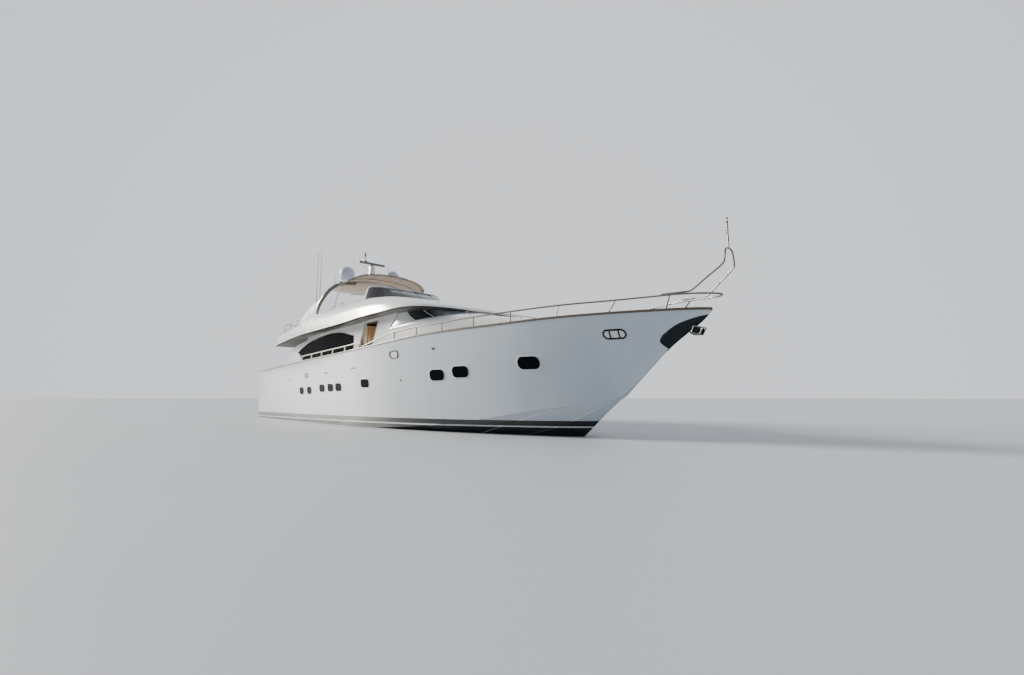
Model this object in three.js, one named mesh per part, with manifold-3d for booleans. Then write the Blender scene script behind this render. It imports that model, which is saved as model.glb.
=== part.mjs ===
// Flybridge motor yacht, about 28 m long, in millimetres.
// +X points to the bow, +Y to port and +Z up. The origin lies on the centreline at the waterline.
import * as THREE from 'three';
import { mergeVertices } from 'three/addons/utils/BufferGeometryUtils.js';
import Module from 'manifold-3d';

const wasm = await Module();
wasm.setup();

// Driving dimensions
const GAP = 0.3;
const SIDES = [{ side: 'port', sign: 1 }, { side: 'stbd', sign: -1 }];
const TRANSOM_X = -12430;
const BULWARK = { sideX: 1000, inner: 3005, thick: 60, bowX: 13190 };
const SIDE_DECK_Z = 2150;
const FOREDECK_Z = 2750;
const DECK_RAMP = [{ x: 2500, z: SIDE_DECK_Z }, { x: 6000, z: 2450 }, { x: 9000, z: FOREDECK_Z }];
const WELL_AFT_X = -12330;
const CAPRAIL = { over: 15, width: 120, height: 36 };

// Hull stations: keel height, chine breadth and height, sheer breadth and height, flare of the topsides
const STATIONS = [
  { x: TRANSOM_X, keelZ: -900, chineY: 2835, chineZ: -120, sheerY: 3065, sheerZ: 2710, flare: 0.65, flat: 60 },
  { x: -10850, keelZ: -1000, chineY: 2870, chineZ: -130, sheerY: 3250, sheerZ: 2670, flare: 0.65, flat: 60 },
  { x: -6750, keelZ: -1120, chineY: 2910, chineZ: -130, sheerY: 3300, sheerZ: 2830, flare: 0.65, flat: 60 },
  { x: -3000, keelZ: -1180, chineY: 2880, chineZ: -110, sheerY: 3300, sheerZ: 2950, flare: 0.65, flat: 60 },
  { x: 0, keelZ: -1200, chineY: 2800, chineZ: -60, sheerY: 3280, sheerZ: 3045, flare: 0.7, flat: 60 },
  { x: 2500, keelZ: -1190, chineY: 2640, chineZ: 40, sheerY: 3150, sheerZ: 3170, flare: 0.75, flat: 60 },
  { x: 5000, keelZ: -1130, chineY: 2340, chineZ: 200, sheerY: 2870, sheerZ: 3330, flare: 0.85, flat: 58 },
  { x: 7000, keelZ: -980, chineY: 1960, chineZ: 420, sheerY: 2520, sheerZ: 3400, flare: 0.95, flat: 54 },
  { x: 8600, keelZ: -740, chineY: 1560, chineZ: 680, sheerY: 2150, sheerZ: 3430, flare: 1.1, flat: 48 },
  { x: 9600, keelZ: -380, chineY: 1190, chineZ: 840, sheerY: 1880, sheerZ: 3460, flare: 1.2, flat: 40 },
  { x: 10200, keelZ: 15, chineY: 930, chineZ: 920, sheerY: 1680, sheerZ: 3480, flare: 1.25, flat: 34 },
  { x: 10900, keelZ: 600, chineY: 560, chineZ: 1020, sheerY: 1440, sheerZ: 3490, flare: 1.3, flat: 24 },
  { x: 11540, keelZ: 1110, chineY: 190, chineZ: 1165, sheerY: 1210, sheerZ: 3490, flare: 1.25, flat: 12 },
  { x: 12140, keelZ: 1590, chineY: 90, chineZ: 1620, sheerY: 975, sheerZ: 3490, flare: 1.15, flat: 6 },
  { x: 12700, keelZ: 2090, chineY: 70, chineZ: 2110, sheerY: 740, sheerZ: 3485, flare: 1.1, flat: 5 },
  { x: 13190, keelZ: 2520, chineY: 60, chineZ: 2535, sheerY: 520, sheerZ: 3480, flare: 1.05, flat: 4 },
  { x: 13700, keelZ: 2870, chineY: 50, chineZ: 2885, sheerY: 300, sheerZ: 3470, flare: 1, flat: 3 },
  { x: 14140, keelZ: 3160, chineY: 35, chineZ: 3170, sheerY: 120, sheerZ: 3450, flare: 1, flat: 2 },
  { x: 14380, keelZ: 3370, chineY: 14, chineZ: 3378, sheerY: 32, sheerZ: 3425, flare: 1, flat: 1 },
];

// Materials
const paint = (color, roughness = 0.25, metalness = 0) =>
  new THREE.MeshStandardMaterial({ color, roughness, metalness });
const GELCOAT = paint(0xeceef0);
const TEAK = paint(0x8a5a34, 0.6);
const STEEL = paint(0xc9ccd0, 0.18, 1);
const DARK_STEEL = paint(0x2a2d31, 0.2, 1);
const BRONZE = paint(0x9a7440, 0.35, 1);
const GLASS = paint(0x15181c, 0.05);
const FABRIC = paint(0x8d8278, 0.9);
const CUSHION = paint(0xd8cdb8, 0.85);
const DOME = paint(0xdcdcea, 0.35);
const JOINERY = paint(0x6b4a30, 0.45);

// Small helpers that turn three.js geometry into closed solids and back
function solid(geometry) {
  const bare = geometry.index ? geometry.toNonIndexed() : geometry.clone();
  bare.deleteAttribute('normal');
  bare.deleteAttribute('uv');
  const merged = mergeVertices(bare, 1e-4);
  return new wasm.Manifold(new wasm.Mesh({
    numProp: 3,
    vertProperties: new Float32Array(merged.attributes.position.array),
    triVerts: new Uint32Array(merged.index.array),
  }));
}

function geometryOf(body) {
  const mesh = body.getMesh();
  const geometry = new THREE.BufferGeometry();
  geometry.setAttribute('position', new THREE.BufferAttribute(new Float32Array(mesh.vertProperties), 3));
  geometry.setIndex(new THREE.BufferAttribute(new Uint32Array(mesh.triVerts), 1));
  return geometry;
}

const moved = (body, x, y, z) => solid(geometryOf(body).translate(x, y, z));
const join = (...bodies) => bodies.reduce((a, b) => a.add(b));
const cut = (body, ...tools) => tools.reduce((a, b) => a.subtract(b), body);
// Body trimmed to rest on a carrier, or to hang under one, with the gap between them
const seated = (body, carrier) => cut(body, carrier, moved(carrier, 0, 0, GAP));
const hung = (body, carrier) => cut(body, carrier, moved(carrier, 0, 0, -GAP));
const nudged = (body, axes) => [...axes].flatMap((axis) => [GAP, -GAP].map((d) =>
  moved(body, axis === 'x' ? d : 0, axis === 'y' ? d : 0, axis === 'z' ? d : 0)));
const mix = (a, b, t) => a + (b - a) * t;
const vec = (x, y, z) => new THREE.Vector3(x, y, z);

// Value of a table's column at x, on straight lines between its rows
function column(rows, name, x) {
  const last = rows.length - 1;
  if (x <= rows[0].x) return rows[0][name];
  if (x >= rows[last].x) return rows[last][name];
  const i = rows.findIndex((row) => row.x > x) - 1;
  return mix(rows[i][name], rows[i + 1][name], (x - rows[i].x) / (rows[i + 1].x - rows[i].x));
}

function box(x, y, z) {
  const geometry = new THREE.BoxGeometry(x[1] - x[0], y[1] - y[0], z[1] - z[0]);
  return solid(geometry.translate((x[0] + x[1]) / 2, (y[0] + y[1]) / 2, (z[0] + z[1]) / 2));
}

// A closed outline of [u, v] pairs, drawn as a three.js shape
function outlineShape(points) {
  return new THREE.Shape(points.map(([u, v]) => new THREE.Vector2(u, v)));
}

// Prisms: the outline lies in XZ or XY and is drawn out along the third axis
function prismY(points, y0, y1) {
  const geometry = new THREE.ExtrudeGeometry(outlineShape(points), { depth: y1 - y0, bevelEnabled: false });
  return solid(geometry.rotateX(Math.PI / 2).translate(0, y1, 0));
}

function prismZ(points, z0, z1) {
  const geometry = new THREE.ExtrudeGeometry(outlineShape(points), { depth: z1 - z0, bevelEnabled: false });
  return solid(geometry.translate(0, 0, z0));
}

// Closed skin over rings of points, with a flat cap at each end
function loft(rings) {
  const count = rings[0].length;
  const points = rings.flat();
  const at = (ring, i) => ring * count + (i % count);
  const faces = [];
  for (let ring = 0; ring < rings.length - 1; ring += 1) {
    for (let i = 0; i < count; i += 1) {
      faces.push([at(ring, i), at(ring, i + 1), at(ring + 1, i + 1)]);
      faces.push([at(ring, i), at(ring + 1, i + 1), at(ring + 1, i)]);
    }
  }
  const endCap = (ring, flip) => {
    const loop = rings[ring];
    const middle = loop.reduce((sum, p) => sum.clone().add(p)).divideScalar(count);
    const normal = vec(0, 0, 0);
    loop.forEach((p, i) => {
      const next = loop[(i + 1) % count];
      normal.add(p.clone().sub(middle).cross(next.clone().sub(middle)));
    });
    normal.normalize();
    const u = loop[1].clone().sub(loop[0]).projectOnPlane(normal).normalize();
    const v = normal.clone().cross(u);
    const flat = loop.map((p) => new THREE.Vector2(p.dot(u), p.dot(v)));
    THREE.ShapeUtils.triangulateShape(flat, []).forEach(([a, b, c]) => {
      faces.push(flip ? [at(ring, a), at(ring, c), at(ring, b)] : [at(ring, a), at(ring, b), at(ring, c)]);
    });
  };
  endCap(0, true);
  endCap(rings.length - 1, false);
  const volume = faces.reduce((sum, [a, b, c]) =>
    sum + points[a].dot(points[b].clone().cross(points[c])), 0);
  const outward = volume > 0 ? faces : faces.map(([a, b, c]) => [a, c, b]);
  const geometry = new THREE.BufferGeometry().setFromPoints(points);
  geometry.setIndex(outward.flat());
  return solid(geometry);
}

// Wall of one thickness between a low and a high line, which run the same way round the centreline
function wall(low, high, thickness) {
  const rings = low.map((point, i) => {
    const before = low[Math.max(i - 1, 0)];
    const after = low[Math.min(i + 1, low.length - 1)];
    const along = after.clone().sub(before).setZ(0).normalize();
    const inward = vec(-along.y, along.x, 0).multiplyScalar(thickness);
    return [point, high[i], high[i].clone().add(inward), point.clone().add(inward)];
  });
  return loft(rings);
}

// Rods, and tubes along a smooth line through the points given
function rod(from, to, radius, sides = 8) {
  const along = to.clone().sub(from);
  const geometry = new THREE.CylinderGeometry(radius, radius, along.length(), sides);
  const turn = new THREE.Quaternion().setFromUnitVectors(vec(0, 1, 0), along.clone().normalize());
  const middle = from.clone().add(to).multiplyScalar(0.5);
  return solid(geometry.applyQuaternion(turn).translate(middle.x, middle.y, middle.z));
}

function tube(points, radius, steps, sides = 8) {
  const circle = new THREE.Shape(Array.from({ length: sides }, (_, i) => {
    const angle = (2 * Math.PI * i) / sides;
    return new THREE.Vector2(radius * Math.cos(angle), radius * Math.sin(angle));
  }));
  const extrudePath = new THREE.CatmullRomCurve3(points, false, 'centripetal');
  return solid(new THREE.ExtrudeGeometry(circle, { steps, extrudePath, bevelEnabled: false }));
}

// Solid of revolution about a vertical axis, from [radius, height] pairs that start and end on the axis
function lathe(profile, x, y, z, sides = 20) {
  const points = profile.map(([radius, height]) => new THREE.Vector2(radius, height));
  const geometry = new THREE.LatheGeometry(points, sides);
  return solid(geometry.rotateX(Math.PI / 2).translate(x, y, z));
}

// The group that holds every piece
const yacht = new THREE.Group();

function piece(name, body, material) {
  const mesh = new THREE.Mesh(geometryOf(body), material);
  mesh.name = name;
  yacht.add(mesh);
  return body;
}

// Hull form
const TOPSIDE_STEPS = 5;

function halfSection(station, grow = 0) {
  const { keelZ, chineY, chineZ, sheerY, sheerZ, flare, flat } = station;
  const half = [
    [chineY * 0.5, mix(keelZ, chineZ, 0.46)],
    [chineY - flat, chineZ - flat * 0.15],
    [chineY, chineZ],
  ];
  for (let i = 1; i <= TOPSIDE_STEPS; i += 1) {
    const t = i / TOPSIDE_STEPS;
    half.push([mix(chineY, sheerY, t ** flare), mix(chineZ, sheerZ, t)]);
  }
  return half.map(([y, z]) => [y + grow, z]);
}

function hullRing(station, grow = 0) {
  const half = halfSection(station, grow);
  const x = station.x + (station.x > 0 ? grow : 0);
  const starboard = half.map(([y, z]) => vec(x, -y, z));
  const port = half.map(([y, z]) => vec(x, y, z)).reverse();
  return [vec(x, 0, station.keelZ - grow), ...starboard, ...port];
}

// Half breadth of the hull at a place and a height, on the same straight lines as the skin
function hullBreadth(x, z) {
  const i = Math.min(Math.max(STATIONS.findIndex((row) => row.x > x) - 1, 0), STATIONS.length - 2);
  const t = (x - STATIONS[i].x) / (STATIONS[i + 1].x - STATIONS[i].x);
  const aft = halfSection(STATIONS[i]);
  const fore = halfSection(STATIONS[i + 1]);
  const half = aft.map(([y, h], k) => [mix(y, fore[k][0], t), mix(h, fore[k][1], t)]);
  const k = Math.max(half.findIndex(([, h]) => h > z), 1);
  const u = Math.min((z - half[k - 1][1]) / (half[k][1] - half[k - 1][1]), 1);
  return mix(half[k - 1][0], half[k][0], u);
}

const sheerY = (x) => column(STATIONS, 'sheerY', x);
const sheerZ = (x) => column(STATIONS, 'sheerZ', x);
const deckZ = (x) => column(DECK_RAMP, 'z', x);

// Room between the forward bulwarks, whose wall thins from the side bulwark's to its own
const wellStations = [BULWARK.sideX, ...STATIONS.map((row) => row.x), 6000, 9000]
  .filter((x) => x >= BULWARK.sideX && x <= BULWARK.bowX).sort((a, b) => a - b);
const wallThick = (x) => mix(hullBreadth(BULWARK.sideX, SIDE_DECK_Z) - BULWARK.inner, BULWARK.thick,
  Math.min((x - BULWARK.sideX) / 1500, 1));

function deckWell() {
  return loft(wellStations.map((x) => {
    const low = hullBreadth(x, deckZ(x)) - wallThick(x);
    const high = sheerY(x) - wallThick(x);
    const top = sheerZ(x) + 200;
    return [vec(x, -low, deckZ(x)), vec(x, -high, top), vec(x, high, top), vec(x, low, deckZ(x))];
  }));
}

// Stern: stairs on each side, garage between them and the gangway's slot above it
const STAIR = { y: [1950, 2650], foot: 380, treads: 6, run: 250 };
const STAIR_RISE = (SIDE_DECK_Z - STAIR.foot) / (STAIR.treads + 1);
const GARAGE = { x: [-12600, -9600], y: 1600, z: [700, 1900] };
const GANGWAY = { x: [TRANSOM_X, -10100], y: 260, z: [1985, 2075], clear: 8 };
const LOCKER = { x: [11250, 11750], y: 250, z: 2400 };

function stairCut(sign) {
  const ys = STAIR.y.map((y) => y * sign).sort((a, b) => a - b);
  const steps = Array.from({ length: STAIR.treads }, (_, i) => {
    const start = i === 0 ? TRANSOM_X - 200 : TRANSOM_X + STAIR.run * i - 1;
    const end = TRANSOM_X + STAIR.run * (i + 1);
    return box([start, end], ys, [STAIR.foot + STAIR_RISE * (i + 1), 3000]);
  });
  return join(...steps);
}

const stairCuts = SIDES.map(({ sign }) => stairCut(sign));

// Running gear
const SHAFT = { y: 1350, propX: -10350, propZ: -1290, slope: THREE.MathUtils.degToRad(8), radius: 45 };
const SHAFT_TUBE_X = -7600;
const PROP = { radius: 480, hub: 95, hubLength: 300, blades: 4, bladeThick: 26 };
const RUDDER = { x: -11330, chord: 620, top: -760, bottom: -1780, stock: 40, bossZ: -660 };
const shaftPoint = (x, sign) =>
  vec(x, SHAFT.y * sign, SHAFT.propZ + (x - SHAFT.propX) * Math.tan(SHAFT.slope));

// Room above the deck line, over the whole breadth
function aboveDeck(lift) {
  const xs = [TRANSOM_X - 500, ...DECK_RAMP.map((row) => row.x), 15000];
  return loft(xs.map((x) => [vec(x, -4000, deckZ(x) + lift), vec(x, 4000, deckZ(x) + lift), vec(x, 4000, 5000),
    vec(x, -4000, 5000)]));
}

const hullSkin = loft(STATIONS.map((row) => hullRing(row)));

function hullBody() {
  const bosses = SIDES.flatMap(({ sign }) => [
    rod(shaftPoint(SHAFT_TUBE_X, sign), shaftPoint(-5400, sign), 85, 12),
    rod(vec(RUDDER.x, SHAFT.y * sign, RUDDER.bossZ), vec(RUDDER.x, SHAFT.y * sign, -300), 90, 12),
  ]);
  const garage = box(GARAGE.x, [-GARAGE.y, GARAGE.y], GARAGE.z);
  const slot = box([TRANSOM_X - 50, GANGWAY.x[1] + GANGWAY.clear], [-GANGWAY.y - GANGWAY.clear,
    GANGWAY.y + GANGWAY.clear], [GANGWAY.z[0] - GAP, GANGWAY.z[1] + GANGWAY.clear]);
  const locker = box(LOCKER.x, [-LOCKER.y, LOCKER.y], [LOCKER.z, FOREDECK_Z + 50]);
  return cut(join(hullSkin, ...bosses), aboveDeck(0), ...stairCuts, garage, slot, locker);
}

const hull = piece('hull', hullBody(), GELCOAT);

// Bulwarks beside the deck, the block at the stem and the wall across the transom between the stairs
const rim = hullSkin.intersect(aboveDeck(GAP));
const foreRim = cut(rim, deckWell());
SIDES.forEach(({ side, sign }) => {
  const band = (inner) => [inner * sign, 4000 * sign].sort((a, b) => a - b);
  piece(`bulwark_side_${side}`, rim.intersect(box([TRANSOM_X - 50, BULWARK.sideX], band(BULWARK.inner), [0, 5000])),
    GELCOAT);
  piece(`bulwark_fore_${side}`, foreRim.intersect(box([BULWARK.sideX + GAP, BULWARK.bowX - GAP], band(0), [0, 5000])),
    GELCOAT);
});
piece('stem_block', rim.intersect(box([BULWARK.bowX, 15000], [-4000, 4000], [0, 5000])), GELCOAT);
piece('transom_wall', rim.intersect(box([TRANSOM_X - 50, WELL_AFT_X], [-STAIR.y[0], STAIR.y[0]], [0, 5000])),
  GELCOAT);

// Caprail on the bulwarks
function caprailBody() {
  const slab = (outer, z0, z1, stations) => loft(stations.map((row) => {
    const y = Math.max(row.sheerY + outer, 4);
    return [vec(row.x, -y, row.sheerZ + z0), vec(row.x, y, row.sheerZ + z0),
      vec(row.x, y, row.sheerZ + z1), vec(row.x, -y, row.sheerZ + z1)];
  }));
  const inner = CAPRAIL.over - CAPRAIL.width;
  const whole = slab(CAPRAIL.over, GAP, CAPRAIL.height, STATIONS);
  const hole = slab(inner, -50, CAPRAIL.height + 50,
    [{ ...STATIONS[0], x: TRANSOM_X - 50 }, ...STATIONS.slice(1, -3)]);
  return cut(whole, hole, ...stairCuts);
}

const caprail = piece('caprail', caprailBody(), TEAK);
const caprailLift = moved(caprail, 0, 0, GAP);

// Swim platform and garage door
const PLATFORM = { x: [-13450, TRANSOM_X - GAP], y: 2760, z: [260, 380], corner: 350 };

function platformBody() {
  const { x, y, corner } = PLATFORM;
  const outline = [[x[1], -y], [x[1], y], [x[0] + corner, y - 60], [x[0] + corner * 0.3, y - corner * 0.5],
    [x[0], y - corner * 1.4], [x[0], -y + corner * 1.4], [x[0] + corner * 0.3, -y + corner * 0.5],
    [x[0] + corner, -y + 60]];
  return prismZ(outline, ...PLATFORM.z);
}

piece('swim_platform', platformBody(), TEAK);

const GARAGE_DOOR = { thick: 60, clear: 8 };
piece('garage_door', box([TRANSOM_X, TRANSOM_X + GARAGE_DOOR.thick],
  [-GARAGE.y + GARAGE_DOOR.clear, GARAGE.y - GARAGE_DOOR.clear],
  [GARAGE.z[0] + GARAGE_DOOR.clear, GARAGE.z[1] - GAP]), GELCOAT);

piece('passerelle', box([TRANSOM_X + 5, GANGWAY.x[1]], [-GANGWAY.y, GANGWAY.y], GANGWAY.z), STEEL);

// Foredeck: locker hatch and windlass
const HATCH = { x: [11200, 11800], y: 300, thick: 40 };
piece('foredeck_hatch', box(HATCH.x, [-HATCH.y, HATCH.y],
  [FOREDECK_Z + GAP, FOREDECK_Z + HATCH.thick]), GELCOAT);

const WINDLASS = { x: 12350 };
piece('windlass', join(
  box([WINDLASS.x - 260, WINDLASS.x + 220], [-150, 150], [FOREDECK_Z + GAP, FOREDECK_Z + 90]),
  lathe([[0, 60], [110, 60], [110, 120], [70, 160], [70, 240], [120, 290], [120, 310], [0, 330]],
    WINDLASS.x, 0, FOREDECK_Z, 16),
), STEEL);

// Polished plate round the stem and the anchor roller ahead of it
const PLATE = { thick: 9, outline: [[12990, 2690], [13120, 2560], [13250, 2440], [14350, 3200], [14310, 3300],
  [14155, 3285], [13876, 3225], [13507, 3105], [13240, 2950], [13060, 2800]] };

function plateBody() {
  const bow = STATIONS.filter((row) => row.x > 11000);
  const outer = loft(bow.map((row) => hullRing(row, PLATE.thick)));
  const inner = loft(bow.map((row) => hullRing(row, GAP)));
  return cut(outer.intersect(prismY(PLATE.outline, -1500, 1500)), inner);
}

piece('anchor_plate', plateBody(), DARK_STEEL);

const ROLLER = { x: 14020, z: 2890, cheek: [55, 67] };

function rollerBody() {
  const outline = [[13780, 2870], [13900, 2800], [14080, 2790], [14150, 2900], [14110, 3010], [13990, 3030]];
  const cheeks = SIDES.map(({ sign }) => {
    const ys = ROLLER.cheek.map((y) => y * sign).sort((a, b) => a - b);
    return prismY(outline, ...ys);
  });
  const roller = rod(vec(ROLLER.x, -60, ROLLER.z), vec(ROLLER.x, 60, ROLLER.z), 45, 12);
  const web = box([13840, 13960], [-60, 60], [2880, 2960]);
  const bow = loft(STATIONS.filter((row) => row.x > 11000).map((row) => hullRing(row, PLATE.thick + GAP)));
  return cut(join(...cheeks, roller, web), bow);
}

piece('bow_roller', rollerBody(), STEEL);

// Rails
const RAIL = { tube: 17, stanchion: 13, inset: 45, height: 340, noseX: 14660, noseZ: 3775 };
const RAIL_SINK = 12;
const railBase = (x, sign) => vec(x, sign * (sheerY(x) - RAIL.inset), sheerZ(x) + CAPRAIL.height - RAIL_SINK);
const PULPIT = [
  { x: 13000, y: 660, z: 3855 }, { x: 13800, y: 500, z: 3835 }, { x: 14300, y: 370, z: 3800 },
  { x: 14590, y: 170, z: 3780 },
];
const RAIL_RISE = [{ x: 1500, up: 60 }, { x: 2500, up: 190 }, { x: 3600, up: RAIL.height - 20 },
  { x: 6300, up: RAIL.height - 30 }, { x: 8600, up: RAIL.height }, { x: 10600, up: RAIL.height },
  { x: 12000, up: RAIL.height }];
const STANCHIONS = [
  { x: 3710, lean: 0 }, { x: 4960, lean: 0 }, { x: 6230, lean: 0 }, { x: 7600, lean: 0 }, { x: 8990, lean: 0 },
  { x: 10450, lean: 100 }, { x: 11920, lean: 210 }, { x: 13340, lean: 200 },
];

function railLine(sign) {
  const side = RAIL_RISE.map(({ x, up }) => railBase(x, sign).add(vec(0, 0, up)));
  return [...side, ...PULPIT.map(({ x, y, z }) => vec(x, sign * y, z))];
}

const railPoints = [...railLine(1), vec(RAIL.noseX, 0, RAIL.noseZ), ...railLine(-1).reverse()];
const railSamples = new THREE.CatmullRomCurve3(railPoints, false, 'centripetal').getPoints(300)
  .filter((p) => p.y > 0);

const railTop = (x, sign) => vec(x, sign * column(railSamples, 'y', x), column(railSamples, 'z', x));

function bowRailBody() {
  const top = tube(railPoints, RAIL.tube, 84, 6);
  const start = RAIL_RISE[0].x;
  const posts = SIDES.flatMap(({ sign }) => [
    rod(railBase(start, sign), railTop(start, sign).add(vec(0, 0, RAIL.tube / 2)), RAIL.tube, 6),
    ...STANCHIONS.map(({ x, lean }) => rod(railBase(x, sign), railTop(x + lean, sign), RAIL.stanchion, 6)),
  ]);
  return cut(join(top, ...posts), caprailLift);
}

piece('bow_rail', bowRailBody(), STEEL);

const AFT_RAIL = { x: [-4800, 1250], up: 210, width: 55, thick: 45, posts: 6 };
const FAIRING = { half: 45, edge: [[-7150, 2860], [-6760, 3040], [-6300, 3230], [-5900, 3345], [-5560, 3395],
  [-5250, 3345], [-4900, 3130], [-4600, 2930]] };

function aftRailBody(sign) {
  const stops = [AFT_RAIL.x[0], -3000, 0, AFT_RAIL.x[1]];
  const bar = loft(stops.map((x) => {
    const foot = railBase(x, sign);
    const half = AFT_RAIL.width / 2;
    const z = foot.z + RAIL_SINK + AFT_RAIL.up;
    return [vec(x, foot.y - half, z), vec(x, foot.y + half, z), vec(x, foot.y + half, z + AFT_RAIL.thick),
      vec(x, foot.y - half, z + AFT_RAIL.thick)];
  }));
  const posts = Array.from({ length: AFT_RAIL.posts }, (_, i) => {
    const x = mix(AFT_RAIL.x[0] + 40, AFT_RAIL.x[1] - 40, i / (AFT_RAIL.posts - 1));
    return rod(railBase(x, sign), railBase(x, sign).add(vec(0, 0, AFT_RAIL.up + 30)), 24, 8);
  });
  const middle = railBase(-5500, sign).y;
  const fairingFoot = [FAIRING.edge.at(-1)[0], -6750, FAIRING.edge[0][0]].map((x) => [x, sheerZ(x) + RAIL_SINK]);
  const fairing = prismY([...FAIRING.edge, ...fairingFoot], middle - FAIRING.half, middle + FAIRING.half);
  return cut(join(bar, ...posts, fairing), caprail, caprailLift);
}

SIDES.forEach(({ side, sign }) => piece(`bulwark_rail_${side}`, aftRailBody(sign), CUSHION));

// Staff frame that stands on the pulpit, with the masthead staff
const STAFF = { knee: vec(14090, 470, 3760), bend: vec(14800, 250, 4400), crown: vec(14830, 0, 4900), top: 5710 };

function bowStaffBody() {
  const legs = SIDES.map(({ sign }) => {
    const flip = (p) => vec(p.x, p.y * sign, p.z);
    const foot = vec(13300, sign * 560, 3880);
    return tube([foot, vec(13750, sign * 540, 3860), flip(STAFF.knee).add(vec(0, 0, 90)),
      vec(14430, sign * 350, 4060), flip(STAFF.bend), vec(14840, sign * 130, 4700), STAFF.crown], 16, 22, 6);
  });
  const staff = rod(STAFF.crown.clone().add(vec(0, 0, -20)), vec(14880, 0, STAFF.top), 14, 8);
  return join(...legs, staff);
}

piece('bow_staff', cut(bowStaffBody(), moved(bowRailBody(), 0, 0, GAP), moved(bowRailBody(), 0, 0, -GAP)), STEEL);

// Underwater gear
function bladeShape() {
  const shape = new THREE.Shape();
  shape.moveTo(-60, PROP.hub - 25);
  shape.bezierCurveTo(-190, 220, -170, PROP.radius - 40, 0, PROP.radius);
  shape.bezierCurveTo(170, PROP.radius - 40, 190, 220, 60, PROP.hub - 25);
  return shape;
}

function propellerBody(sign) {
  const blades = Array.from({ length: PROP.blades }, (_, i) => {
    const blade = new THREE.ExtrudeGeometry(bladeShape(),
      { depth: PROP.bladeThick, bevelEnabled: false, curveSegments: 5 });
    blade.translate(0, 0, -PROP.bladeThick / 2);
    blade.rotateY(sign * THREE.MathUtils.degToRad(62));
    return solid(blade.applyMatrix4(new THREE.Matrix4().makeBasis(vec(0, 1, 0), vec(0, 0, 1), vec(1, 0, 0)))
      .rotateX((2 * Math.PI * i) / PROP.blades));
  });
  const profile = [[0, -PROP.hubLength / 2 - 90], [55, -PROP.hubLength / 2 - 50], [PROP.hub - 20,
    -PROP.hubLength / 2], [PROP.hub, 0], [PROP.hub - 10, PROP.hubLength / 2], [0, PROP.hubLength / 2]];
  const hub = new THREE.LatheGeometry(profile.map(([r, h]) => new THREE.Vector2(r, h)), 16)
    .rotateZ(-Math.PI / 2);
  const whole = join(solid(hub), ...blades);
  const place = shaftPoint(SHAFT.propX, sign);
  const screw = solid(geometryOf(whole).rotateY(-SHAFT.slope).translate(place.x, place.y, place.z));
  return join(screw, rod(place, shaftPoint(SHAFT_TUBE_X - GAP, sign), SHAFT.radius, 12));
}

const BRACKET = { x: [-10080, -9830], radius: 85 };

function bracketBody(sign) {
  const barrel = rod(shaftPoint(BRACKET.x[0], sign), shaftPoint(BRACKET.x[1], sign), BRACKET.radius, 12);
  const bore = rod(shaftPoint(BRACKET.x[0] - 50, sign), shaftPoint(BRACKET.x[1] + 50, sign), SHAFT.radius + 2, 12);
  const centre = shaftPoint(-9950, sign);
  const leg = (spread) => loft([
    [vec(-10050, centre.y, centre.z), vec(-9950, centre.y - 16, centre.z), vec(-9860, centre.y, centre.z),
      vec(-9950, centre.y + 16, centre.z)],
    [vec(-10020, centre.y + spread, -300), vec(-9920, centre.y + spread - 16, -300),
      vec(-9830, centre.y + spread, -300), vec(-9920, centre.y + spread + 16, -300)],
  ]);
  return cut(join(barrel, leg(-420), leg(420)), bore, moved(hull, 0, 0, -GAP), hull);
}

function rudderBody(sign) {
  const { x, chord, top, bottom, stock, bossZ } = RUDDER;
  const foil = (scale, z) => [
    [0.3, 0], [0.18, 0.055], [-0.1, 0.07], [-0.5, 0.035], [-0.7, 0.006], [-0.7, -0.006], [-0.5, -0.035],
    [-0.1, -0.07], [0.18, -0.055],
  ].map(([u, v]) => vec(x + u * chord * scale, SHAFT.y * sign + v * chord, z));
  const blade = loft([foil(1, top), foil(0.8, bottom)]);
  const post = rod(vec(x, SHAFT.y * sign, top - 300), vec(x, SHAFT.y * sign, bossZ - GAP), stock, 12);
  return join(blade, post);
}

SIDES.forEach(({ side, sign }) => {
  piece(`propeller_${side}`, propellerBody(sign), BRONZE);
  piece(`shaft_bracket_${side}`, bracketBody(sign), BRONZE);
  piece(`rudder_${side}`, rudderBody(sign), BRONZE);
});

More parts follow.
